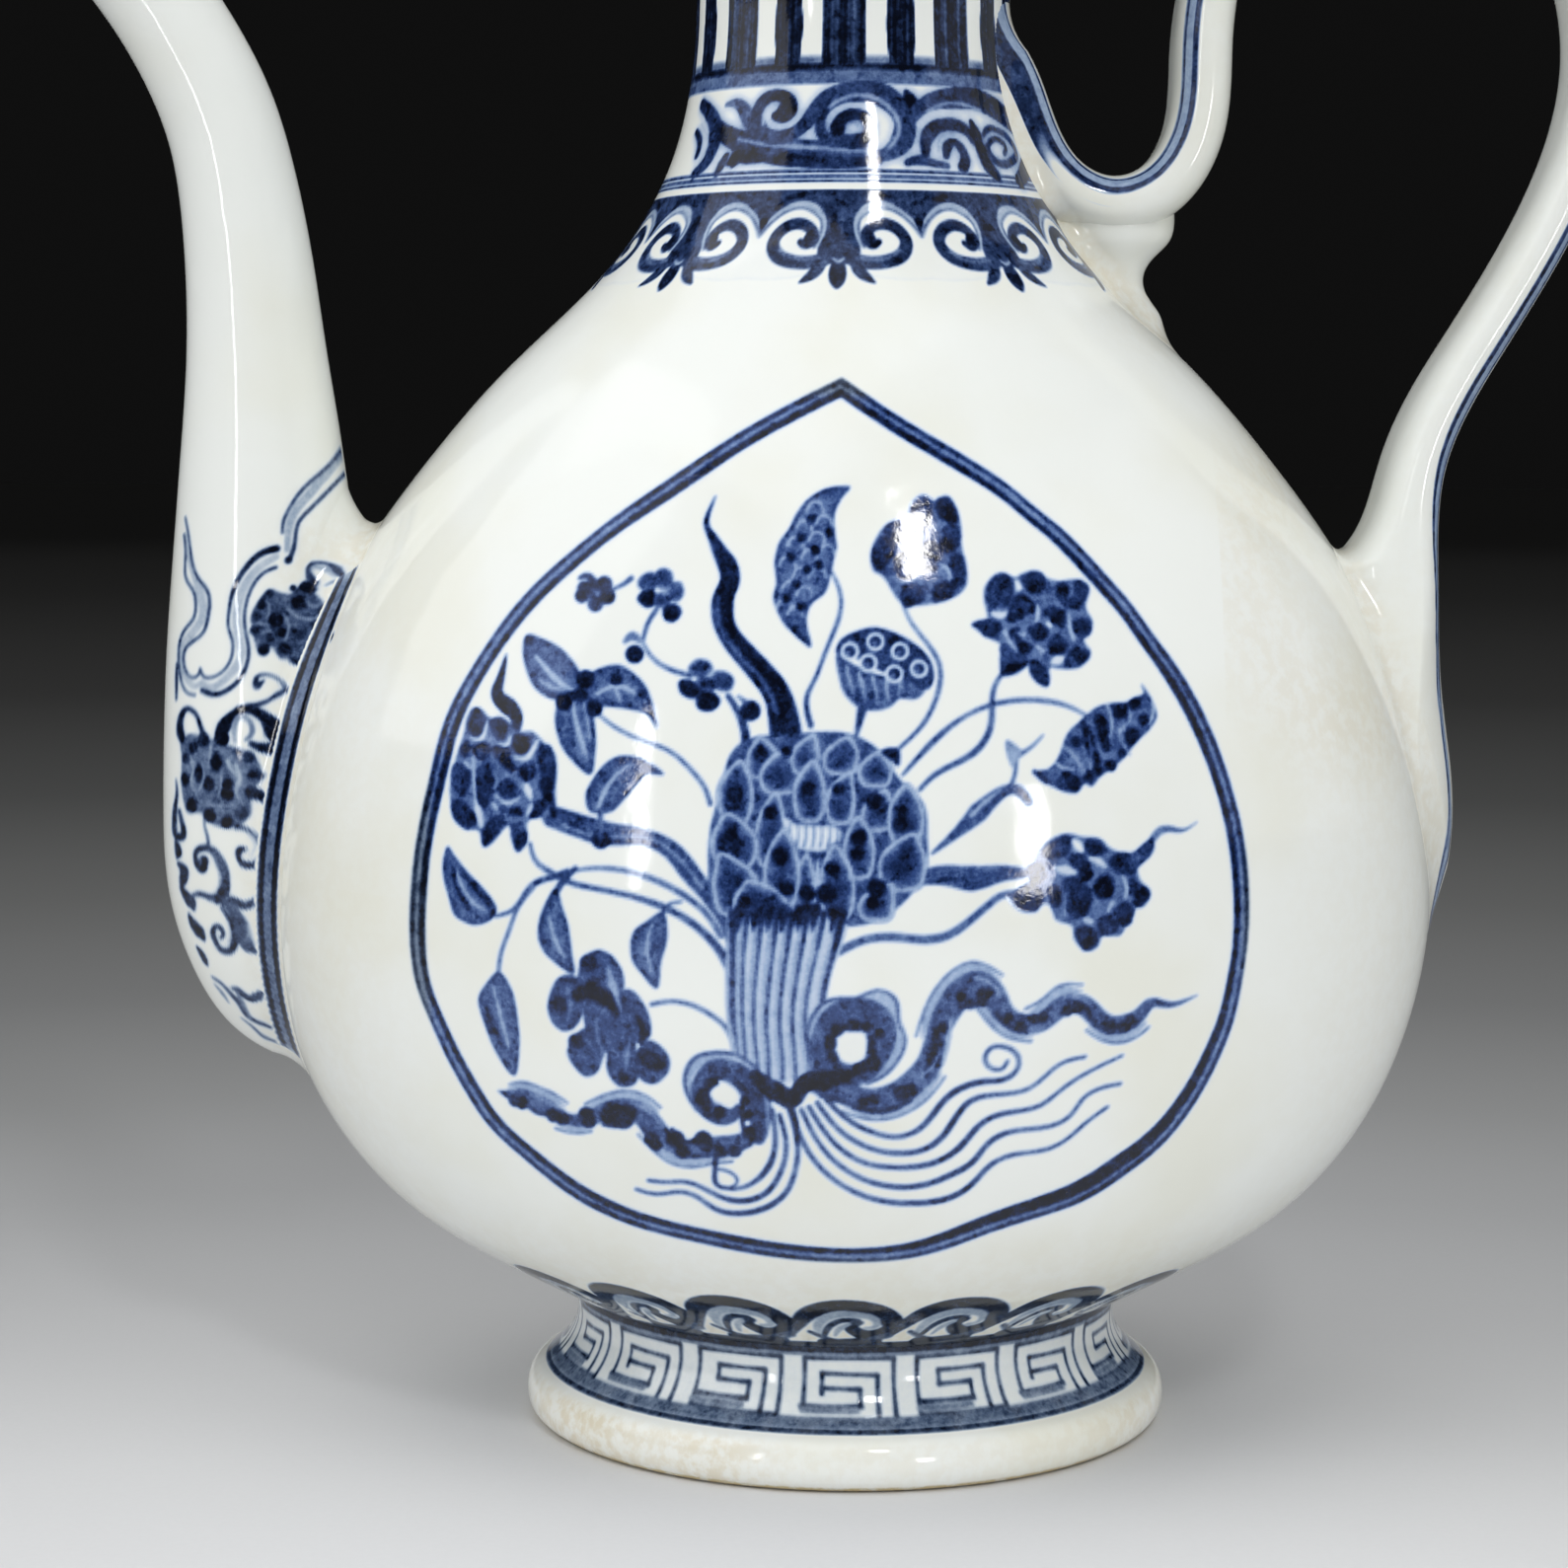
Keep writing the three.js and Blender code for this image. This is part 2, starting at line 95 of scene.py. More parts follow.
# Natural cubic spline through rows of numbers, spaced by the chord of the first columns.
def natural(points, count, lead=2):
    rows = np.array(points, float)
    along = lengths(rows[:, :lead])
    size = len(rows)
    gap = np.diff(along)
    matrix = np.eye(size)
    right = np.zeros_like(rows)
    for i in range(1, size - 1):
        matrix[i, i - 1:i + 2] = gap[i - 1], 2.0 * (gap[i - 1] + gap[i]), gap[i]
        right[i] = 6.0 * ((rows[i + 1] - rows[i]) / gap[i] - (rows[i] - rows[i - 1]) / gap[i - 1])
    bend = np.linalg.solve(matrix, right)
    s = np.linspace(0.0, along[-1], count)
    k = np.clip(np.searchsorted(along, s, side="right") - 1, 0, size - 2)
    h = gap[k][:, None]
    a, b = (along[k + 1] - s)[:, None], (s - along[k])[:, None]
    curve = (bend[k] * a ** 3 + bend[k + 1] * b ** 3) / (6.0 * h)
    return curve + (rows[k] / h - bend[k] * h / 6.0) * a + (rows[k + 1] / h - bend[k + 1] * h / 6.0) * b


def sampled(rows, length, places):
    return np.stack([np.interp(places, length, rows[:, k]) for k in range(rows.shape[1])], -1)


def spaced(points, step):
    length = lengths(points)
    count = max(int(math.ceil(length[-1] / step)), 1)
    return sampled(points, length, np.linspace(0.0, length[-1], count + 1))


def wallCurve(half):
    v = vessel
    rows = [(mix(v["collarTopRadius"], half, o), mix(v["footTop"], v["belly"], u)) for u, o in underBelly]
    rows += [(mix(half, v["neckBaseRadius"], o), mix(v["belly"], v["neckBase"], u)) for u, o in overBelly]
    rows += [(mix(v["neckBaseRadius"], v["neckWaistRadius"], o), mix(v["neckBase"], v["neckWaist"], u))
             for u, o in neckTaper]
    rows += [(mix(v["neckWaistRadius"], v["mouthJointRadius"], o), mix(v["neckWaist"], v["mouthJoint"], u))
             for u, o in mouthFlare]
    return natural(rows, 3000)


wideWall = wallCurve(vessel["halfWidth"])
deepWall = wallCurve(vessel["halfDepth"])


def halfWidth(z):
    return np.interp(z, wideWall[:, 1], wideWall[:, 0])


def halfDepth(z):
    return np.interp(z, deepWall[:, 1], deepWall[:, 0])


# Points of the wall at a turn round from the front and a height, moved in by an inset.
def onWall(turn, z, inset=0.0):
    wide, deep = halfWidth(z), halfDepth(z)
    x, y = wide * np.sin(turn), -deep * np.cos(turn)
    slopeWide = (halfWidth(z + 0.2) - halfWidth(z - 0.2)) / 0.4
    slopeDeep = (halfDepth(z + 0.2) - halfDepth(z - 0.2)) / 0.4
    nx, ny = np.sin(turn) / wide, -np.cos(turn) / deep
    nz = -(slopeWide * np.sin(turn) ** 2 / wide + slopeDeep * np.cos(turn) ** 2 / deep)
    size = np.sqrt(nx ** 2 + ny ** 2 + nz ** 2)
    return np.stack([x - inset * nx / size, y - inset * ny / size, z - inset * nz / size + 0.0 * x], -1)


def wallGrid(heights, turns, inset=0.0):
    z, turn = np.meshgrid(heights, turns, indexing="ij")
    points = onWall(turn, z, inset)
    points[..., 2] = z
    return points, turn, z


# Distance outside the vessel's wall, and the direction away from it.
def fromWall(points):
    def level(p):
        return np.sqrt((p[..., 0] / halfWidth(p[..., 2])) ** 2 + (p[..., 1] / halfDepth(p[..., 2])) ** 2)
    away = np.zeros_like(points)
    for k in range(3):
        shift = np.zeros(3)
        shift[k] = 0.15
        away[..., k] = (level(points + shift) - level(points - shift)) / 0.3
    size = np.linalg.norm(away, axis=-1, keepdims=True)
    return (level(points) - 1.0) / size[..., 0], away / size


# One patch of a piece: a grid of points with its quads, its place in the bake map and its paint.
def patch(points, wrap=False, flip=False, uv=(0.0, 0.0, 1.0, 1.0), ink=0.0, stain=0.0, dull=0.5, keep=None):
    rows, cols = points.shape[:2]
    index = np.arange(rows * cols).reshape(rows, cols)
    if wrap:
        index = np.concatenate([index, index[:, :1]], 1)
    a, b, c, d = index[:-1, :-1], index[:-1, 1:], index[1:, 1:], index[1:, :-1]
    quads = np.stack([a, d, c, b] if flip else [a, b, c, d], -1).reshape(-1, 4)
    grid = np.stack(np.meshgrid(np.linspace(uv[0], uv[2], index.shape[1]), np.linspace(uv[1], uv[3], rows)), -1)
    p, q, r, s = grid[:-1, :-1], grid[:-1, 1:], grid[1:, 1:], grid[1:, :-1]
    corners = np.stack([p, s, r, q] if flip else [p, q, r, s], -2).reshape(-1, 4, 2)
    if keep is not None:
        kept = keep.reshape(-1)[quads].any(axis=1)
        quads, corners = quads[kept], corners[kept]
    one = {"points": points.reshape(-1, 3), "quads": quads, "corners": corners}
    for label, values in (("cobalt", ink), ("stain", stain), ("dull", dull)):
        one[label] = np.broadcast_to(values, (rows, cols)).reshape(-1)
    return one


# A piece rides its body and replaces the solid whose name it is given.
def makePiece(name, node, patches, body="vessel"):
    start, points, quads, corners = 0, [], [], []
    fields = {"cobalt": [], "stain": [], "dull": []}
    for one in patches:
        used, quad = np.unique(one["quads"], return_inverse=True)
        points.append(one["points"][used])
        for label in fields:
            fields[label].append(one[label][used])
        quads.append(quad.reshape(-1, 4) + start)
        corners.append(one["corners"])
        start += len(used)
    points, quads, corners = np.concatenate(points), np.concatenate(quads), np.concatenate(corners)
    points = (points + np.array([axisX, 0.0, 0.0])) * millimetre
    mesh = bpy.data.meshes.new(name)
    mesh.vertices.add(len(points))
    mesh.vertices.foreach_set("co", points.astype(np.float32).ravel())
    mesh.loops.add(len(quads) * 4)
    mesh.loops.foreach_set("vertex_index", quads.astype(np.int32).ravel())
    mesh.polygons.add(len(quads))
    mesh.polygons.foreach_set("loop_start", np.arange(0, len(quads) * 4, 4, dtype=np.int32))
    mesh.polygons.foreach_set("use_smooth", np.ones(len(quads), bool))
    mesh.update(calc_edges=True)
    layer = mesh.uv_layers.new(name="OFBake")
    layer.uv.foreach_set("vector", corners.astype(np.float32).ravel())
    for label, values in fields.items():
        field = mesh.attributes.new(label, "FLOAT", "POINT")
        field.data.foreach_set("value", np.concatenate(values).astype(np.float32))
    mesh.validate()
    piece = bpy.data.objects.new(name, mesh)
    bpy.context.scene.collection.objects.link(piece)
    mesh.materials.append(glazes[node])
    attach(piece, body)
    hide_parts(node)
    print("piece", name, len(points), "points")


def linear(red, green, blue):
    out = [c / 255.0 for c in (red, green, blue)]
    return [c / 12.92 if c <= 0.04045 else ((c + 0.055) / 1.055) ** 2.4 for c in out] + [1.0]


def link(tree, source, target):
    tree.links.new(source, target)


def calculated(tree, kind, *values, clamp=False):
    node = tree.nodes.new("ShaderNodeMath")
    node.operation = kind
    node.use_clamp = clamp
    for socket, value in zip(node.inputs, values):
        if hasattr(value, "links"):
            link(tree, value, socket)
        else:
            socket.default_value = value
    return node.outputs[0]


def noise(tree, vector, scale, detail, rough=0.5):
    node = tree.nodes.new("ShaderNodeTexNoise")
    node.inputs["Scale"].default_value = scale
    node.inputs["Detail"].default_value = detail
    node.inputs["Roughness"].default_value = rough
    link(tree, vector, node.inputs["Vector"])
    return node.outputs["Fac"]


def ramp(tree, value, stops, smoothEnds=False):
    node = tree.nodes.new("ShaderNodeValToRGB")
    band = node.color_ramp
    band.interpolation = "EASE" if smoothEnds else "LINEAR"
    while len(band.elements) < len(stops):
        band.elements.new(0.5)
    for element, (place, colour) in zip(band.elements, stops):
        element.position = place
        element.color = colour if hasattr(colour, "__len__") else (colour, colour, colour, 1.0)
    link(tree, value, node.inputs["Fac"])
    return node.outputs["Color"]


def mixed(tree, factor, a, b, blendType="MIX"):
    node = tree.nodes.new("ShaderNodeMix")
    node.data_type = "RGBA"
    node.blend_type = blendType
    for label, value in (("Factor", factor), ("A", a), ("B", b)):
        if hasattr(value, "links"):
            link(tree, value, node.inputs[label])
        else:
            node.inputs[label].default_value = value
    return node.outputs["Result"]


glazeLook = {
    "white": (235, 238, 235),
    "warmWhite": (224, 223, 205),
    # Warm brown for stains and for painted shade.
    "stain": (204, 186, 144),
    # Share of full pigment and its colour, in the clear panel and on the dull bands.
    "cobalt": [(0.0, (226, 232, 238)), (0.1, (202, 214, 231)), (0.26, (150, 174, 210)), (0.42, (92, 119, 171)),
               (0.56, (48, 73, 130)), (0.7, (26, 44, 90)), (0.84, (15, 26, 54)), (1.0, (9, 13, 28))],
    "grey": [(0.0, (226, 231, 233)), (0.1, (202, 211, 218)), (0.26, (150, 165, 182)), (0.42, (102, 118, 142)),
             (0.56, (62, 78, 104)), (0.7, (34, 48, 72)), (0.84, (16, 24, 42)), (1.0, (8, 12, 22))],
    "fullPigment": 1.25,
    "pooling": 0.9,
    "poolingFloor": 0.56,
    "grain": 0.5,
    "grainFloor": 0.75,
    "heaping": 0.3,
    "roughness": 0.05,
    "roughnessSpread": 0.05,
    "stainRoughness": 0.12,
    "bumpStrength": 0.35,
    "bumpDistance": 0.0008,
    "index": 1.5,
}


# Colour, roughness and relief of the painted glaze, shared by every glazed piece.
def glazeGroup():
    look = glazeLook
    group = bpy.data.node_groups.new("painted_glaze", "ShaderNodeTree")
    face = group.interface
    for label, value in (("Ink", 0.0), ("Stain", 0.0), ("Dull", 0.5), ("Warmth", 0.3)):
        socket = face.new_socket(label, in_out="INPUT", socket_type="NodeSocketFloat")
        socket.default_value = value
    for label, kind in (("Color", "Color"), ("Roughness", "Float"), ("Normal", "Vector")):
        face.new_socket(label, in_out="OUTPUT", socket_type="NodeSocket" + kind)
    nodes = group.nodes
    inside, outside = nodes.new("NodeGroupInput"), nodes.new("NodeGroupOutput")
    place = nodes.new("ShaderNodeTexCoord").outputs["Object"]
    broad = noise(group, place, 26.0, 3.0)
    cloud = noise(group, place, 420.0, 4.0, 0.6)
    grain = noise(group, place, 1500.0, 3.0, 0.55)
    heap = noise(group, place, 620.0, 2.0, 0.5)
    # The pigment pools and thins in patches, and heaps up in near-black spots.
    uneven = calculated(group, "MULTIPLY_ADD", cloud, look["pooling"], look["poolingFloor"])
    fine = calculated(group, "MULTIPLY_ADD", grain, look["grain"], look["grainFloor"])
    level = calculated(group, "MULTIPLY", calculated(group, "MULTIPLY", inside.outputs["Ink"], uneven), fine)
    spots = ramp(group, heap, [(0.5, 0.0), (0.76, 1.0)], True)
    strong = ramp(group, inside.outputs["Ink"], [(0.4, 0.0), (0.72, 1.0)])
    heaped = calculated(group, "MULTIPLY", calculated(group, "MULTIPLY", spots, strong), look["heaping"])
    share = calculated(group, "DIVIDE", calculated(group, "ADD", level, heaped), look["fullPigment"], clamp=True)
    # Bare glaze is warmer in broad patches, and turns a warm brown where a piece says so: a stain in some places,
    # painted shade at joints, under the stub and towards the sides.
    warm = ramp(group, broad, [(0.42, 0.0), (0.7, 1.0)], True)
    warm = calculated(group, "MULTIPLY", warm, inside.outputs["Warmth"])
    clean = mixed(group, warm, linear(*look["white"]), linear(*look["warmWhite"]))
    speck = ramp(group, cloud, [(0.36, 0.25), (0.62, 1.0)], True)
    speck = calculated(group, "MULTIPLY", inside.outputs["Stain"], speck, clamp=True)
    soiledAndShaded = mixed(group, speck, clean, linear(*look["stain"]))
    blues = [ramp(group, share, [(place, linear(*colour)) for place, colour in look[name]])
             for name in ("cobalt", "grey")]
    toned = mixed(group, inside.outputs["Dull"], *blues)
    cover = ramp(group, share, [(0.0, 0.0), (0.08, 1.0)])
    link(group, mixed(group, cover, soiledAndShaded, toned), outside.inputs["Color"])
    rough = calculated(group, "MULTIPLY_ADD", cloud, look["roughnessSpread"], look["roughness"])
    soil = calculated(group, "MULTIPLY", inside.outputs["Stain"], look["stainRoughness"])
    link(group, calculated(group, "ADD", rough, soil), outside.inputs["Roughness"])
    # Slow undulation of the thick glaze, a faint orange peel and sunken pigment.
    wave = calculated(group, "MULTIPLY", noise(group, place, 60.0, 2.0), 0.9)
    peel = calculated(group, "MULTIPLY", noise(group, place, 700.0, 2.0), 0.035)
    height = calculated(group, "ADD", wave, peel)
    height = calculated(group, "SUBTRACT", height, calculated(group, "MULTIPLY", share, 0.05))
    bump = nodes.new("ShaderNodeBump")
    bump.inputs["Strength"].default_value = look["bumpStrength"]
    bump.inputs["Distance"].default_value = look["bumpDistance"]
    link(group, height, bump.inputs["Height"])
    link(group, bump.outputs["Normal"], outside.inputs["Normal"])
    return group


def fieldNode(tree, label):
    node = tree.nodes.new("ShaderNodeAttribute")
    node.attribute_type = "GEOMETRY"
    node.attribute_name = label
    return node.outputs["Fac"]


def glazeMaterial(name, group, warmth):
    material = bpy.data.materials.new(name)
    material.use_nodes = True
    tree = material.node_tree
    shader = tree.nodes["Principled BSDF"]
    painted = tree.nodes.new("ShaderNodeGroup")
    painted.node_tree = group
    painted.inputs["Warmth"].default_value = warmth
    for label, socket in (("cobalt", "Ink"), ("stain", "Stain"), ("dull", "Dull")):
        link(tree, fieldNode(tree, label), painted.inputs[socket])
    for label, socket in (("Color", "Base Color"), ("Roughness", "Roughness"), ("Normal", "Normal")):
        link(tree, painted.outputs[label], shader.inputs[socket])
    shader.inputs["IOR"].default_value = glazeLook["index"]
    return material


# How warm the bare glaze of each piece is.
glazeWarmth = {
    "foot_ring": 0.5, "lower_body": 0.45, "upper_body": 0.4, "neck": 0.15, "mouth_rim": 0.2, "spout": 0.35,
    "handle": 0.35, "handle_post": 0.5, "lid": 0.2, "lid_ring": 0.4, "lid_knob": 0.2,
}
sharedGlaze = glazeGroup()
glazes = {name: glazeMaterial(name + "_glaze", sharedGlaze, warmth) for name, warmth in glazeWarmth.items()}
print("materials made")


# A sheet is painting laid out flat in millimetres. Ink runs from 0, bare glaze, to 1.1, heaped pigment.
def makeSheet(left, low, right, high, step=0.16):
    ink = np.zeros((int((high - low) / step) + 2, int((right - left) / step) + 2))
    return {"left": left, "low": low, "step": step, "ink": ink}


# The cells of a sheet that a stretch covers, with their places across and up.
def cells(sheet, lowX, highX, lowZ, highZ):
    def span(low, high, start, size):
        first = max(int((low - start) / sheet["step"]) - 1, 0)
        last = max(min(int((high - start) / sheet["step"]) + 2, size), first)
        return slice(first, last), start + np.arange(first, last) * sheet["step"]
    rows, cols = sheet["ink"].shape
    upSlice, z = span(lowZ, highZ, sheet["low"], rows)
    acrossSlice, x = span(lowX, highX, sheet["left"], cols)
    return (upSlice, acrossSlice), x[None, :], z[:, None]


def layOn(sheet, place, tone, cover):
    sheet["ink"][place] = sheet["ink"][place] * (1.0 - cover) + tone * cover


softEdge = 0.26
thinnest = 0.12


def evenly(values, along):
    return np.interp(along, np.linspace(0.0, 1.0, np.size(values)), np.atleast_1d(values))


# One brush stroke. Points are x, z and full width, or x and z with widths that run evenly along.
def brush(sheet, tones, points, widths=None):
    rows = np.array(points, float)
    apart = np.linalg.norm(np.diff(rows[:, :2], axis=0), axis=1) > 0.03
    rows = rows[np.concatenate([[True], apart])]
    if len(rows) == 1:
        rows = np.repeat(rows, 2, axis=0)
        rows[1, 0] += 0.05
    thin = max(np.min(rows[:, 2] if widths is None else widths), 0.3)
    count = max(int(lengths(rows[:, :2])[-1] / min(0.12 + 0.1 * thin, 0.3)), 3)
    along = np.linspace(0.0, 1.0, count)
    curve = natural(rows, count) if len(rows) > 2 else rows[0] + (rows[1] - rows[0]) * along[:, None]
    width = curve[:, 2] if widths is None else evenly(widths, along)
    reach = np.maximum(width, thinnest) / 2.0
    margin = reach.max() + softEdge
    place, x, z = cells(sheet, curve[:, 0].min() - margin, curve[:, 0].max() + margin,
                        curve[:, 1].min() - margin, curve[:, 1].max() + margin)
    if x.size == 0 or z.size == 0:
        return
    cover = np.zeros((z.size, x.size))
    tone = np.zeros_like(cover)
    step, left, low = sheet["step"], x[0, 0], z[0, 0]
    for (cx, cz), r, t in zip(curve[:, :2], reach, evenly(tones, along)):
        m = r + softEdge
        c0, c1 = max(int((cx - m - left) / step), 0), int((cx + m - left) / step) + 2
        r0, r1 = max(int((cz - m - low) / step), 0), int((cz + m - low) / step) + 2
        if c1 <= 0 or r1 <= 0:
            continue
        distance = np.hypot(x[:, c0:c1] - cx, z[r0:r1] - cz)
        here = np.clip((r - distance) / softEdge + 0.5, 0.0, 1.0)
        part = cover[r0:r1, c0:c1]
        more = here > part
        part[more] = here[more]
        tone[r0:r1, c0:c1][more] = t
    layOn(sheet, place, tone, cover)


# Depths in from the edge and the tones there, for each kind of filled shape.
fills = {
    "leaf": ([0.0, 0.3, 0.7, 1.5], [0.86, 0.8, 0.66, 0.62]),
    "lotus": ([0.0, 0.22, 0.45, 0.8, 1.3, 2.2, 3.2], [0.72, 0.3, 0.24, 0.5, 0.7, 0.8, 0.92]),
    "bud": ([0.0, 0.25, 0.6, 1.0], [0.75, 0.6, 0.72, 0.8]),
    "dark": ([0.0, 0.3, 0.8], [0.9, 1.08, 1.12]),
    "wash": ([0.0, 0.3, 0.6], [0.6, 0.4, 0.35]),
    "palewash": ([0.0, 0.8, 2.0], [0.16, 0.2, 0.2]),
    "deepwash": ([0.0, 0.4, 1.2, 3.0], [0.72, 0.66, 0.68, 0.72]),
    "streak": ([0.0, 0.4, 0.9], [0.35, 0.12, 0.05]),
    "pod": ([0.0, 0.3, 0.8], [0.9, 0.88, 0.86]),
    "white": ([0.0, 0.3], [0.12, 0.02]),
    "ground": ([0.0, 0.4, 1.4], [0.92, 0.84, 0.8]),
    "washed": ([0.0, 0.35, 1.0], [0.68, 0.6, 0.58]),
    "petal": ([0.0, 0.3, 0.8, 1.6], [0.84, 0.94, 0.86, 0.8]),
    "lobe": ([0.0, 0.4, 1.0, 2.2], [0.82, 0.76, 0.7, 0.72]),
}


def closedCurve(points, each=7):
    rows = np.array(points, float)
    if np.hypot(*(rows[0] - rows[-1])) < 0.05:
        rows = rows[:-1]
    t = np.linspace(0.0, 1.0, each, endpoint=False)[:, None]
    out = []
    for i in range(len(rows)):
        a, b, c, d = (rows[(i + k) % len(rows)] for k in (-1, 0, 1, 2))
        out.append(0.5 * (2 * b + (c - a) * t + (2 * a - 5 * b + 4 * c - d) * t ** 2
                          + (3 * b - a - 3 * c + d) * t ** 3))
    return np.concatenate(out)


# A filled shape inside a closed line.
def flood(sheet, style, points, straight=False):
    edge = np.array(points, float) if straight else closedCurve(points)
    margin = 0.4
    place, x, z = cells(sheet, edge[:, 0].min() - margin, edge[:, 0].max() + margin,
                        edge[:, 1].min() - margin, edge[:, 1].max() + margin)
    if x.size == 0 or z.size == 0:
        return
    gx, gz = np.broadcast_arrays(x, z)
    inside = np.zeros(gx.shape, bool)
    nearest = np.full(gx.shape, 1e9)
    for p, q in zip(edge, np.roll(edge, -1, axis=0)):
        dx, dz = q - p
        t = np.clip(((gx - p[0]) * dx + (gz - p[1]) * dz) / max(dx * dx + dz * dz, 1e-9), 0.0, 1.0)
        nearest = np.minimum(nearest, np.hypot(gx - p[0] - t * dx, gz - p[1] - t * dz))
        if p[1] != q[1]:
            crosses = (gz < p[1]) != (gz < q[1])
            inside ^= crosses & (gx < p[0] + (gz - p[1]) * dx / dz)
    depth = np.where(inside, nearest, -nearest)
    layOn(sheet, place, np.interp(depth, *fills[style]), np.clip(depth / softEdge + 0.5, 0.0, 1.0))


def paintRows(sheet, rows, unit=0.1):
    for style, widths, *lines in rows:
        for line in lines:
            points = np.cumsum(np.reshape(line, (-1, 2)), axis=0) * unit
            if isinstance(style, str):
                flood(sheet, style, points)
            else:
                brush(sheet, style, points, widths)


def blurred(field, sigma):
    reach = int(3 * sigma) + 1
    kernel = np.exp(-0.5 * (np.arange(-reach, reach + 1) / sigma) ** 2)
    kernel /= kernel.sum()
    padded = np.pad(field, reach, mode="edge")
    across = sum(w * padded[:, i:i + field.shape[1]] for i, w in enumerate(kernel))
    return sum(w * across[i:i + field.shape[0]] for i, w in enumerate(kernel))


# The pigment runs a little in the glaze, and leaves a pale blue halo where one is given.
def fired(sheet, run, haloTone=0.0, haloRun=0.0):
    ink = blurred(sheet["ink"], run)
    if haloTone:
        ink = np.maximum(ink, haloTone * blurred(sheet["ink"], haloRun))
    sheet["ink"] = ink
    return sheet


def readSheet(sheet, x, z, repeat=None):
    ink, step = sheet["ink"], sheet["step"]
    if repeat:
        x = sheet["left"] + np.mod(x - sheet["left"], repeat)
    u, v = (x - sheet["left"]) / step, (z - sheet["low"]) / step
    rows, cols = ink.shape
    inside = (u >= 0) & (u <= cols - 1) & (v >= 0) & (v <= rows - 1)
    u, v = np.clip(u, 0, cols - 1.001), np.clip(v, 0, rows - 1.001)
    i, j = v.astype(int), u.astype(int)
    a, b = v - i, u - j
    left = ink[i, j] * (1 - a) + ink[i + 1, j] * a
    right = ink[i, j + 1] * (1 - a) + ink[i + 1, j + 1] * a
    return np.where(inside, left * (1 - b) + right * b, 0.0)


# Each row is a tone or a fill, a brush width and then lines: a point across and up, and steps from
# point to point, in tenths of a millimetre. Several tones or widths run evenly along a line.
# A brush width is in millimetres, and a fill has none.

# Across and up from the vessel's axis, in millimetres.
panelOutline = [
    (-2.4,181.3), (-10.8,177), (-19,172.3), (-26.6,167.2), (-33,162.9), (-39.3,158.5), (-45.7,153.3), (-52.2,147.2),
     (-58.6,139), (-61.8,133.9), (-65.1,127.3), (-67.5,118.5), (-69.8,108), (-70.9,98.3), (-71,90.1), (-70,83.7),
     (-68.1,78.9), (-65.1,72.5), (-61.9,66.9), (-58.6,62.1), (-52.1,56.4), (-45.6,51.6), (-39.1,48.3), (-32.6,46.2),
     (-26.2,44.9), (-16.6,43.2), (-0.6,41.8), (12.1,43.3), (21.6,46.8), (31.3,49.8), (37.7,52.2), (42.5,55.2),
     (47.3,58.6), (50.6,61.7), (53.7,65.7), (56.6,70.6), (58.8,75.4), (60.5,80.2), (61.5,85.1), (62.4,91.5),
     (62.6,97.9), (62.2,104.3), (61.2,110.7), (59.5,117.1), (57.2,123.5), (49.6,137.4), (46.4,141.7), (43.2,146.1),
     (40,149.7), (36.8,153.2), (33.6,156.5), (30.5,159.3), (27.3,161.8), (24.1,164.5), (20.9,166.7), (5.1,176.2),
     (-2.4,181.3),
]

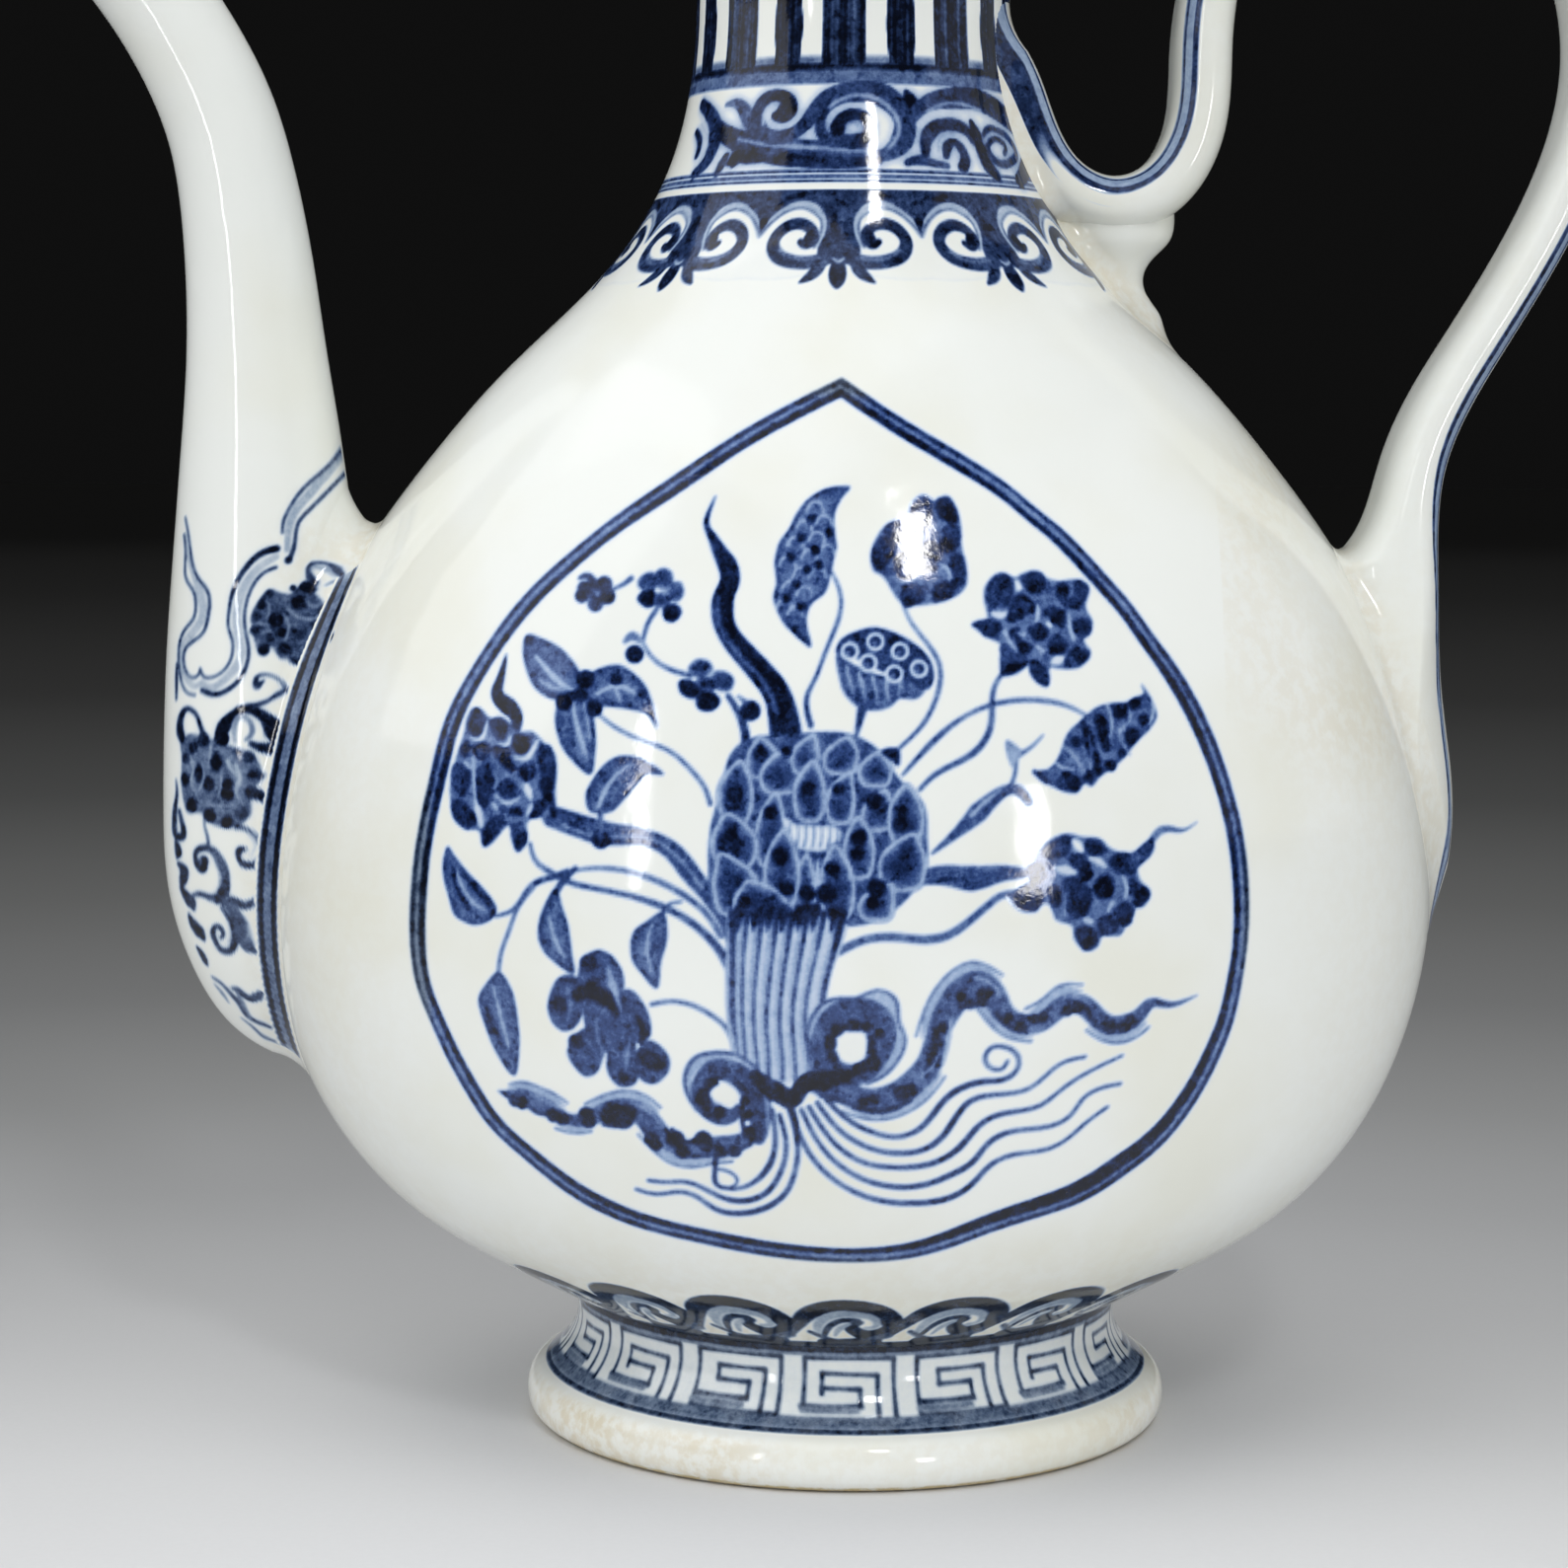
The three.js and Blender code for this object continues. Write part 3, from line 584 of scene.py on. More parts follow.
# The bouquet in the panel, from the vessel's axis.
panelStrokes = [
    ((0.6, 0.7), (0.5, 0.7), (-413,1295, 25,-19, 47,-22, 48,-18, 32,-27, 23,-30, 8,-23)),
    ((0.55, 0.7), (0.45, 0.8, 0.6), (73,1471, 11,-25, 47,-72, -7,-54, -15,-30, -41,-43)),
    ((0.6, 0.8), (0.45, 0.7, 0.55, 0.9), (-40,1520, 11,-23, 4,-31, -11,-38, -16,-39, -15,-38, -11,-24, 6,-46)),
    ((0.85, 0.75), (1.4, 0.6), (8,1305, -8,-38)),
    ((0.6, 0.7), (0.7, 1.1, 0.7), (230,1361, -11,-18, -7,-62, -22,-38, -70,-41, -20,-20)),
    ((0.55, 0.7), (0.5, 0.8, 0.8, 0.7, 1, 0.5), (365,1295, -24,13, -32,9, -119,-12, -117,-100)),
    ((0.6, 0.75), (0.6, 0.8), (-388,1490, 16,8, 12,9)),
    ((0.6, 0.7), (0.8, 0.6), (-319,1458, -15,-26, -5,-21)),
    ((0.6, 0.7), (0.5, 0.8), (-339,1405, 13,-20, 63,-29)),
    ((0.75, 0.95), (0.8, 1.3, 1.4), (-203,1326, 19,-31, 8,-53, -7,-23)),
    ((0.5, 0.65), (0.35, 0.8), (296,1265, -19,-18, -19,-12)),
    ((0.6, 0.7), 0.6, (253,1227, -5,-31, -8,-15)),
    ((0.6, 0.7), (0.6, 1, 0.9, 0.9, 1.1, 1.2, 1.4, 0.8), (-520,1083, 9,-26, 20,-15, 40,-18, 32,-6, 159,-49, 62,-77,
     7,-40)),
    ((0.5, 0.6), (0.6, 1, 1), (-459,1042, 40,7, 158,-44, 24,-20, 24,-36)),
    ((0.8, 0.6), (0.8, 1.1, 0.6), (-446,1048, -32,-41, -11,-32)),
    ((0.6, 0.7), (0.6, 1, 1), (-576,964, 28,12, 33,42, 40,17, 16,7)),
    (0.6, (0.6, 0.7), (-515,1013, -25,-33, -16,-41, -12,-33, -5,-33)),
    (0.6, (0.7, 0.8), (-323,835, 31,6, 63,-19, 28,-26, 11,-32, 8,-21)),
    (0.6, (0.6, 0.5), (-304,983, 6,11, 22,7)),
    (0.6, (1.3, 1.4, 1), (-27,926, 31,16, 55,8, 47,-4, 38,6, 32,20, 31,26, 23,16, 48,-1)),
    (0.7, (2.3, 4, 1.4), (97,1043, 47,4, 39,-5, 39,6, 47,1)),
    (0.7, (0.45, 1.5, 3.1, 1.7, 1.5), (120,1082, 62,53, 24,23, 47,23, 19,-19)),
    (0.35, (0.8, 0.8, 0.45), (182,1141, 24,23, 22,17)),
    ("wash", 0, (237,1258, 26,-19, -8,-12, -5,-14, -10,17)),
    (0.7, (3.5, 3.9, 2.5, 3.2, 2.3, 1.1), (-483,1128, 48,-14, 40,-9, 55,-3, 48,-20, 31,-35, 55,-77, 11,-47)),
    ((0.9, 0.8), (0.8, 0.45), (-483,1140, 88,-21)),
    (0.4, (0.6, 0.55, 0.6), (-467,1116, 48,-14, 103,-6, 40,-30, 34,-42)),
    (1.1, 2.8, (-405,1095)),
    ((0.9, 1.1, 1), (0.25, 1, 3, 3, 3.2, 3.7, 4.1, 5), (-226,1638, -11,-27, -3,-15, 10,-23, 13,-24, 13,-23, 2,-23,
     -10,-23, 7,-54, 24,-31, 28,-30, 24,-30, 17,-65)),
    ((0.7, 0.6), 1, (-220,1478, -1,-25, 84,-123, 11,-29)),
    (1.15, (0.9, 1), (-198,1488, -3,-34, 32,-65, 29,-33, 18,-31)),
    (1, 2.2, (-440,1478)),
    (0.9, 2.5, (-418,1466)),
    (1.05, 2.5, (-399,1478)),
    (0.85, 2.8, (-424,1490)),
    (0.95, 2.5, (-404,1497)),
    (0.9, 2.2, (-437,1490)),
    (0.9, (0.6, 1, 0.9), (-444,1506, 10,4, 13,-7)),
    (0.5, 0.9, (-417,1483)),
    ("bud", 0, (-350,1501, 10,13, 15,3, 10,-15, -9,-13, -19,0), (-321,1517, 15,7, 13,-10, -3,-21, -19,-1),
     (-299,1499, 19,3, 5,-18, -11,-13, -16,9)),
    ("dark", 0, (-343,1486, 19,3, 6,-18, -15,-10, -16,12), (-308,1461, 19,7, 11,-12, -11,-16, -15,3)),
    ("bud", 0, (-321,1483, 19,3, 7,-15, -16,-10, -13,6)),
    (0.5, (0.8, 1.5, 0.9), (-368,1408, 10,8, 16,-8)),
    (1.1, 2.8, (-353,1388)),
    ("bud", 0, (-266,1370, 13,12, 19,-3, 6,-15, -19,-10, -16,3), (-228,1361, 19,3, 15,-12, -6,-18, -22,2)),
    ("dark", 0, (-281,1348, 22,0, 12,-15, -12,-13, -19,9), (-253,1327, 22,6, 16,-15, -13,-16, -22,3)),
    ("bud", 0, (-250,1354, 22,1, 10,-15, -19,-10, -16,9)),
    (1.15, 3.1, (-168,1303)),
    ((0.6, 0.7), (0.45, 0.8), (-187,1325, 12,-9)),
    ("leaf", 0, (-530,1414, -6,-23, 7,-34, 16,-28, 28,-15, 26,4, 19,10, 3,16, -14,28, -26,24, -30,13)),
    ((0.2, 0.3), (0.6, 1.1, 0.5), (-514,1380, 21,-22, 30,-24, 20,-6)),
    (0.3, (0.3, 0.7, 0.3), (-510,1345, 24,-13, 20,-4)),
    ("leaf", 0, (-440,1328, 14,26, 24,13, 29,2, 32,-23, 16,-30, 10,-43, -16,21, -26,7, -32,4, -32,2)),
    (0.3, (0.5, 0.9, 0.3), (-414,1323, 25,13, 32,-5, 24,-18)),
    (0.3, (0.3, 0.5, 0.3), (-386,1339, 7,-15, 3,-12)),
    ("leaf", 0, (-466,1321, -14,-28, 4,-36, 16,-30, 37,-30, 8,36, 0,31, -6,37, -13,24)),
    (0.3, (0.6, 0.8, 0.8, 0.3), (-453,1309, 7,-31, 18,-55)),
    (0.3, (0.3, 0.5, 0.3), (-434,1310, 7,-31, 4,-28)),
    (1.1, 2.8, (-432,1347)),
    (1.1, 2.5, (-467,1309), (-417,1301)),
    (1.05, 1.9, (-381,1349)),
    (1, 1.6, (-341,1325)),
    (0.95, 2.2, (-440,1322)),
    (1, 1.6, (-525,1405)),
    ("leaf", 0, (-11,1655, -36,-3, -29,-16, -19,-23, -12,-24, -16,-23, -7,-31, 3,-31, -5,-23, 7,-23, 14,-23, 20,-16,
     19,-16, -8,40, 8,27, 22,19, 9,31, 5,23, 4,16, -3,23, 0,31, 11,23)),
    (0.3, (0.5, 0.45), (-79,1617, 8,13, 13,-2, 4,-14), (-65,1596, 8,12, 13,-1, 4,-14), (-96,1588, 8,12, 12,-1,
     5,-14), (-76,1569, 8,13, 13,-2, 4,-14), (-110,1561, 8,13, 12,-2, 5,-14), (-88,1541, 8,13, 12,-2, 5,-14),
     (-60,1549, 8,13, 12,-2, 5,-14), (-123,1530, 8,13, 13,-2, 5,-14), (-101,1513, 8,13, 13,-2, 4,-14), (-74,1515,
     8,12, 12,-1, 5,-14), (-119,1492, 8,12, 12,-1, 5,-14), (-96,1484, 8,12, 13,-1, 4,-14), (-127,1464, 8,12, 12,-1,
     5,-14), (-110,1453, 8,13, 13,-2, 4,-14)),
    (1.1, 1.4, (-73,1603), (-88,1574), (-66,1554), (-104,1543), (-79,1524), (-97,1501), (-60,1532), (-111,1479),
     (-88,1466), (-44,1582)),
    (1, (0.6, 0.9, 0.3), (-107,1438, 32,-32)),
    ("pod", 0, (-32,1394, 7,21, 25,13, 31,6, 37,-12, 31,-19, 19,-24, 3,-28, -15,-15, -32,15, -28,12, -34,16, -25,12)),
    ("deepwash", 0, (-32,1391, 22,-12, 28,-13, 31,-9, 29,-9, 28,-12, -13,-13, -25,0, -15,-12, -22,-6, -25,3, -19,15,
     -12,22)),
    ((0.3, 0.45), 0.6, (-16,1372, 6,-24, 7,-19), (3,1363, 12,-43), (25,1357, 9,-40), (46,1351, 4,-31)),
    ((0.3, 0.45), 0.45, (68,1345, -1,-18)),
    (0.1, 3, (-11,1397)),
    (0.95, 1.7, (-11,1397)),
    (0.5, 0.8, (-13,1395)),
    (0.1, 3, (29,1412)),
    (0.95, 1.7, (29,1412)),
    (0.5, 0.8, (28,1411)),
    (0.1, 3, (68,1397)),
    (0.95, 1.7, (68,1397)),
    (0.5, 0.8, (67,1396)),
    (0.1, 3, (98,1370)),
    (0.95, 1.7, (98,1370)),
    (0.5, 0.8, (96,1368)),
    (0.1, 3, (18,1379)),
    (0.95, 1.7, (18,1379)),
    (0.5, 0.8, (17,1377)),
    (0.1, 3, (59,1362)),
    (0.95, 1.7, (59,1362)),
    (0.5, 0.8, (57,1360)),
    ("washed", 0, (22,1549, 9,25, 18,23, 31,12, 8,21, 18,13, 18,-10, 7,5, 16,2, 12,-20, 8,-28, 0,-27, 7,-31, 1,-32,
     -19,-20, -31,-10, -31,-3, -25,5, -26,38, -17,12)),
    ("petal", 0, (23,1544, 8,25, 23,10, 7,-20, -10,-25, -18,-12), (41,1587, 21,14, 20,4, 0,-31, -15,-10, -13,10),
     (87,1625, 19,15, 15,-12, -6,-36, -18,-12, -12,20), (126,1630, 21,9, 14,-21, 1,-18, -21,0, -10,10), (139,1592,
     20,3, 8,-20, -11,-21, -15,11), (151,1549, 15,0, 8,-30, -3,-20, -15,10, -8,20), (125,1499, 20,5, 11,-15, -16,-12,
     -20,-3), (74,1502, 20,2, 16,-20, -16,-15, -23,5), (59,1544, 23,10, 13,-20, -11,-25, -20,5), (105,1564, 20,6,
     11,-26, -13,-25, -21,15)),
    (1.1, 2.3, (144,1615)),
    (1.1, 2.2, (142,1562)),
    (1.1, 1.7, (36,1534)),
    (1.05, 1.7, (156,1502)),
    (1.1, 1.7, (81,1474)),
    (1, 1.5, (110,1549)),
    (1.05, 1.5, (67,1579)),
    (0.2, (0.35, 0.55, 0.35), (87,1559, 13,10, 5,21)),
    (0.25, (0.35, 0.5, 0.3), (130,1534, 16,-10, 2,-20)),
    (0.25, (0.25, 0.5, 0.3), (56,1514, 23,-10, 15,5)),
    ("washed", 0, (203,1474, 1,23, 14,18, 16,5, 18,-8, 14,7, 21,4, 16,-11, 21,-6, 27,2, 23,-12, -7,-31, 11,-26,
     -15,-25, 11,-21, -17,-22, -26,-1, -23,0, -2,-25, -8,-3, -21,18, -6,13, -18,-12, -23,-1, -3,27, 2,20, -23,13,
     -21,18, 22,10, 1,11)),
    ("lobe", 0, (229,1407, 25,-4, 17,-22, -10,-11, -29,-12, -3,26)),
    ("petal", 0, (205,1484, 10,26, 17,8, 15,-9, 3,-20, -12,-22, -17,-1, -14,5), (263,1512, 19,9, 17,-4, 2,-18,
     -11,-13, -14,4, -9,11), (321,1502, 14,2, 5,-15, -6,-21, -10,5, -5,16), (346,1504, 13,4, 14,-12, -7,-21, -15,-14,
     -13,12, 12,16), (243,1451, 3,25, 17,10, 18,-12, 5,-14, -32,-12, -8,-8), (297,1460, 16,6, 17,-8, 5,-18, -12,-7,
     -10,15, -14,2), (345,1441, 13,8, 18,-8, -1,-17, -14,-8, -13,11), (334,1390, 13,11, 25,-4, -2,-15, -21,-12,
     -16,5), (307,1417, 16,5, 14,-16, -8,-16, -17,0, -8,11), (272,1432, 19,8, 16,-11, -8,-15, -19,5), (244,1428,
     13,5, 7,-21, 17,-8, -9,-11, -14,9), (182,1439, 17,7, 23,0, 9,-11, -6,-14, -19,-2, -13,11), (275,1373, 6,10,
     18,-10, 8,-16, -4,-16, -15,6, -11,13)),
    (1.1, 2.2, (282,1498)),
    (1.1, 1.8, (330,1491)),
    (1.1, 1.7, (246,1449)),
    (1.1, 1.6, (260,1454)),
    (1.1, 2.6, (291,1425)),
    (1.1, 1.8, (267,1402)),
    (1.1, 2.1, (320,1449)),
    (1.05, 1.2, (223,1436)),
    (1.05, 2, (319,1399)),
    (1, 2.1, (356,1387)),
    (1, 1.9, (361,1434)),
    (1.1, (0.8, 1.2, 1.2, 0.5), (234,1364, 9,7, 16,2, 8,3)),
    (0.6, 0.3, (207,1469, 2,-16, 5,-10)),
    (0.55, 0.3, (307,1373, 23,-4, 19,1)),
    (0.05, (0.7, 1), (255,1505, 4,-9)),
    (0.1, (0.7, 1.2, 0.8), (217,1456, 9,-3, 10,2)),
    (0.1, 0.7, (305,1440, 4,-4)),
    (0.1, (0.8, 1.6, 0.7), (313,1379, 15,7)),
    (0.2, (0.45, 0.8, 0.4), (288,1468, 1,-13, -3,-12)),
    (0.25, (0.35, 0.7, 0.6), (340,1455, 1,-21, 6,-20)),
    (0.25, 0.55, (288,1403, 9,-7)),
    (0.3, 0.6, (235,1430, 6,-15, 13,-18)),
    (0.3, (0.3, 0.5, 0.35), (254,1427, 12,-5, 2,10)),
    ("leaf", 0, (457,1342, 10,-13, 11,-19, 4,-20, -12,-19, -20,-18, -24,-27, -20,-16, -17,-11, -14,-15, -12,4,
     -11,-13, -17,0, -23,9, -17,11, -15,13, 24,4, 17,19, 14,35, 20,19, 26,21, 26,7, 23,1, 18,8, 13,5)),
    (1.05, 2.3, (421,1300)),
    (1.05, 1.9, (446,1311)),
    (1.05, 1.8, (460,1287)),
    (1.05, 2.4, (441,1262)),
    (1.05, 1.4, (424,1234)),
    (1.05, 1.9, (349,1255)),
    (1.05, 1.1, (338,1236)),
    (1.05, 2.1, (345,1189)),
    (1.05, 1.7, (406,1215), (369,1199)),
    ((1.1, 1.1, 1.05), (1.7, 2, 1.2), (387,1290, 8,-25, 3,-22)),
    ((1, 1.1, 1.1), (0.8, 1.4, 1.2), (361,1285, 25,-78)),
    ((1, 1.1), (0.8, 1.2, 0.8), (332,1206, 16,-28)),
    (1.1, (0.45, 0.7, 0.6), (281,1209, 20,-17)),
    (0.3, (0.55, 0.45), (401,1309, 7,-25, -4,-25)),
    (0.35, (0.3, 0.45), (368,1268, 7,-33, -3,-25)),
    (0.3, (0.4, 0.7, 0.45), (316,1222, 10,-8, 20,-3)),
    (0.35, (0.35, 0.55, 0.35), (436,1305, 2,-19, -14,-13, 14,-42)),
    (0.2, (0.3, 0.45, 0.35), (474,1315, 3,-19, -7,-16)),
    (0.4, (0.6, 0.7, 0.6), (329,1247, 20,-20, 14,-22)),
    ("washed", 0, (288,1084, 22,18, 23,8, 28,-6, 20,-2, 19,-14, 19,-9, 26,-1, 23,17, 10,-10, -10,-18, -18,-12, 5,-23,
     17,-19, -10,-22, -16,-5, -13,-24, -12,-17, -26,1, -10,-18, -19,-5, -18,19, -5,22, -25,10, -13,26, -38,-12,
     -26,25, 28,19, 10,27)),
    ("petal", 0, (293,1078, 24,24, 22,4, 0,-26, -22,-9), (365,1098, 22,2, 14,-16, -14,-10, -21,7), (339,1077, 22,-2,
     10,-21, -13,-12, -16,16), (406,1069, 23,8, 23,-13, -10,-22, -26,4), (442,1036, 10,-16, -9,-12, -14,19),
     (381,1035, 19,9, 13,-19, -9,-19, -20,1), (414,990, 19,9, 12,-17, -12,-18, -16,7), (385,972, 19,6, 16,-17,
     -12,-15, -20,5), (350,954, 16,9, 21,-16, -7,-19, -17,-4), (330,1037, 25,2, 20,-26, -10,-34, -25,-2, -12,31),
     (304,1025, 19,2, 4,-25, -16,-9), (251,1020, 25,12, 22,-17, -12,-27, -29,6), (269,1057, 22,8, 13,-22, -19,-12)),
    (1.1, 2.9, (393,1022)),
    (1.1, 2.4, (458,1008)),
    (1.1, 2.1, (366,1045)),
    (1.1, 1.9, (432,970)),
    (1.1, 2, (371,936)),
    (1.05, 2.1, (381,1082), (413,1062)),
    (1, 2.1, (356,998)),
    (1.05, 1.6, (317,1012)),
    (1.1, (0.6, 1.3, 1.1, 0.9), (445,998, 9,0, 9,18)),
    (1.1, (0.8, 0.55), (420,971, 10,-7, 13,19)),
    (0.05, (0.9, 1.5, 0.9), (347,1097, 11,-13)),
    (0.15, (0.9, 1.6, 0.8), (320,1055, 29,-6)),
    (0.15, (0.8, 1.1, 0.6), (374,1070, 13,-5, 10,-9)),
    (0.25, (0.5, 0.8, 0.45), (426,1040, 7,-22, -3,-13)),
    (0.25, 0.55, (409,1000, -7,-16)),
    (0.2, 0.8, (365,973, 10,-4)),
    (0.3, 0.35, (327,1024, 5,-22, 1,-22)),
    ((0.75, 0.8, 0.6, 0.6, 0.7, 0.6), (2.5, 2.2, 1.1, 1.3, 0.8, 0.4, 0.2), (445,1064, 20,18, 23,28, 16,2, 17,-3,
     28,12)),
    ((1.1, 1.15, 1), (0.2, 1.3, 2.7, 1.2), (-564,1382, -11,-46, -3,-17, 29,-29, 5,-15, -3,-16)),
    ("washed", 0, (-628,1280, 14,16, 25,-16, 24,0, 24,-19, 23,0, 24,-21, 15,-18, 0,-52, 0,-36, -14,-7, -24,-3,
     -10,-15, 3,-22, -16,-18, -11,19, -6,22, -26,-29, -15,-7, -8,25, -22,1, -21,16, -6,30, 0,29, 11,45, 11,34)),
    ("petal", 0, (-627,1266, 13,29, 18,-11, -4,-22, -12,-14, -11,7), (-590,1276, 19,6, 12,-13, -8,-24, -14,5, -6,12),
     (-636,1235, 12,9, 3,-23, -8,-6, -10,8), (-618,1235, 21,7, 11,-13, -11,-18, -16,8), (-585,1232, 21,6, 11,-8,
     -2,-16, 9,-15, -12,-3, -15,14), (-654,1175, 4,28, 21,1, 9,-16, -6,-31, -14,-5), (-612,1194, 19,12, 15,-21,
     -5,-23, -13,-28, -14,21), (-575,1171, 17,14, 18,-12, -3,-15, -20,-6), (-540,1203, 23,12, 6,-19, -12,-14, -14,5),
     (-508,1231, 18,10, 11,-24, 0,-33, -12,-24, -11,23), (-653,1141, 16,7, 18,-16, 9,-16, -15,-16, -21,16),
     (-597,1105, 13,18, 21,1, -6,-20, -26,-28, -6,12), (-551,1108, 14,9, 12,-13, -3,-20, -13,-15, -8,19), (-520,1146,
     18,8, 11,-7, -14,-20, -17,-1)),
    (1.15, 2.8, (-537,1240)),
    (1.15, (1.7, 2.2), (-544,1247, 9,-10)),
    (1.15, 1.7, (-569,1263)),
    (1.1, 1.2, (-571,1268, 3,-13)),
    (1.1, 1.4, (-564,1219, 9,-14)),
    (1.1, 2.4, (-494,1177)),
    (1.1, 1.5, (-494,1175, 2,-14)),
    (1.1, (0.8, 1.5, 0.7), (-554,1131, 11,2, 8,-3)),
    (1.1, 1.7, (-621,1121)),
    (1.1, (1.1, 1.4), (-595,1083, 6,10), (-540,1078, 2,14)),
    (1.1, 0.8, (-485,1156, 3,-28)),
    (1, 1.2, (-627,1229)),
    (1, 1.4, (-555,1169)),
    (1, 1.7, (-609,1261)),
    (1, 1.3, (-635,1159)),
    (1, 1.6, (-599,1147)),
    (1, 1.2, (-593,1187)),
    (0.1, (0.4, 0.8, 0.4), (-620,1247, 11,-3, 15,29)),
    (0.1, (0.4, 0.6, 0.45), (-574,1240, 13,-2, 7,13)),
    ((0.15, 0.1, 0.1), (0.45, 0.9, 0.6), (-547,1220, 18,-2, 12,14, 7,14)),
    ((0.25, 0.2, 0.25), (0.35, 0.6, 0.4), (-578,1157, 21,-11, 18,10)),
    ((0.2, 0.15, 0.15), (0.4, 0.45, 0.5, 0.3, 1.3, 0.8), (-617,1216, 3,-39, 3,-33, 7,-25, 2,-11)),
    (0.1, (0.8, 1.3, 0.7), (-527,1176, 7,-19)),
    (0.2, 0.7, (-581,1143, 4,-6)),
    (0.25, 0.6, (-631,1207, 8,-8)),
    (0.3, 0.35, (-584,1195, 6,-16, -3,-11)),
    (0.2, (0.6, 0.9, 0.6), (-517,1146, -8,-17)),
    ("leaf", 0, (-422,1139, -7,27, 13,27, 19,23, 25,12, 35,-5, 33,-22, -27,0, -17,-17, -20,-24, -22,-21)),
    (0.3, (0.4, 0.8, 0.7), (-362,1213, -22,-19, -26,-51)),
    ((0.6, 0.7), 0.9, (-406,1140, 1,-40)),
    ("leaf", 0, (-660,1070, -7,-39, 11,-44, 11,-28, 31,-12, 28,10, 10,20, -18,26, -29,27, -23,25)),
    (0.3, (0.4, 0.6, 0.7, 0.3), (-644,1030, 36,-52, 17,-8)),
    ((1.05, 0.95), (0.45, 0.6, 0.45), (-650,1036, 9,-35, 17,-27)),
    (1, (0.45, 0.6, 0.45), (-631,1028, 43,-48)),
    ("leaf", 0, (-478,1015, -21,-36, -8,-37, 8,-27, 21,-21, 30,-16, -4,35, -5,40, -10,31)),
    (0.3, (0.4, 0.6, 0.45), (-489,967, 9,-32, 16,-31)),
    ("leaf", 0, (-572,873, -23,-23, -12,-27, 11,-42, 19,-45, 28,-34, 9,43, -1,44, -9,53)),
    (0.3, (0.4, 0.6, 0.45), (-582,848, 25,-100)),
    (1, (0.45, 0.6, 0.45), (-595,821, 12,-39, 16,-35)),
    ("leaf", 0, (-304,983, -27,-15, -22,-20, -2,-38, 16,-25, 25,-24, 6,43, 10,40)),
    (0.3, (0.4, 0.6, 0.4), (-323,962, -7,-32, 7,-41)),
    ("lobe", 0, (-441,883, 10,24, 23,12, 23,-10, 16,-26, -1,-31, -23,-29, -31,6, -19,23), (-491,829, 16,40, 28,6,
     15,-31, -8,-43, -23,-18, -22,15), (-460,752, 20,33, 27,6, 12,-31, -8,-37, -20,-13, -19,15), (-393,760, 15,36,
     24,-6, 7,-39, 0,-44, -27,-10, -20,23), (-347,755, 23,21, 27,-23, 0,-28, -23,-21, -23,11), (-373,848, 19,8,
     23,-30, 7,-39, -19,-16, -23,22), (-432,829, 31,5, 35,-25, 4,-39, -31,-18, -31,22)),
    ((1.1, 1.1, 1), (1.9, 2.9, 2.5, 1.2), (-443,844, 19,7, 39,-24, 6,-13)),
    (1, 2.7, (-471,828)),
    (1, 2.6, (-445,767)),
    (1.1, (2.3, 3.1, 2.3), (-335,751, 13,-9, 12,-1)),
    (1, 2.7, (-425,897)),
    ((1.05, 0.95), (0.8, 1.2, 0.8), (-347,814, 10,-23, -2,-20)),
    (1, 2, (-370,714)),
    (0.4, (0.8, 1.4, 0.9), (-393,889, 16,-53)),
    (0.5, (0.6, 0.8, 0.6), (-412,806, 3,-31, 8,-27)),
    (0.5, (0.45, 0.7, 0.45), (-461,858, 6,-27, -4,-28)),
    (0.45, (0.45, 0.8, 0.45), (-358,778, -8,-56)),
    ("deepwash", 0, (-226,985, -7,70, 3,62, 16,62, 15,55, 31,26, 47,6, 62,5, 50,-3, 43,-24, 34,-46, 38,-39, 6,-54,
     -3,-54, -35,-47, -46,-31, -86,-8, -93,6)),
    ("lotus", 0, (-165,1196, -11,26, 6,24, 18,19, 26,-19, 8,-23, -10,-27), (-143,1173, -12,26, 9,24, 28,20, 24,-20,
     7,-23, -12,-26), (-97,1204, -9,25, 10,23, 29,19, 9,-19, 2,-22, -9,-25), (-45,1205, -11,24, 11,21, 32,18, 15,-18,
     4,-21, -11,-24), (11,1185, -11,22, 8,20, 26,17, 19,-17, 6,-20, -11,-22), (-209,1127, -12,39, 9,34, 29,29,
     18,-28, 5,-34, -11,-39), (-92,1132, -10,37, 8,34, 27,28, 16,-28, 5,-33, -10,-38), (-42,1128, -9,32, 10,29,
     32,24, 7,-24, 2,-29, -9,-32), (17,1117, -11,26, 10,23, 29,19, 13,-19, 4,-23, -10,-26), (58,1097, -11,37, 7,32,
     24,27, 23,-27, 8,-32, -11,-37), (-151,1057, -10,47, 8,42, 27,35, 14,-34, 4,-42, -9,-48), (-13,1043, -10,38,
     6,34, 20,28, 22,-28, 7,-34, -10,-38), (46,1024, -14,36, 14,31, 44,26, 17,-26, 6,-31, -15,-36)),
    ("streak", 0, (-118,1141, 22,-12, 31,-3, 37,-3, 4,-21, -22,-16, -40,0, -22,18)),
    (0.6, (0.25, 0.4), (-105,1127, 1,-15, -3,-20), (-93,1128, 2,-16, -3,-20), (-80,1129, 1,-17, -3,-20), (-68,1129,
     2,-17, -3,-20), (-56,1128, 2,-16, -3,-20), (-43,1128, 2,-16, -4,-20), (-31,1127, 2,-15, -3,-20)),
    ("lotus", 0, (-217,1056, -14,33, 7,31, 22,26, 37,-25, 12,-30, -14,-34), (-94,969, -8,44, 6,40, 19,33, 13,-33,
     4,-39, -7,-45), (-49,977, -11,46, 6,42, 20,34, 26,-34, 9,-41, -11,-46), (-137,998, -11,47, 8,42, 26,35, 21,-34,
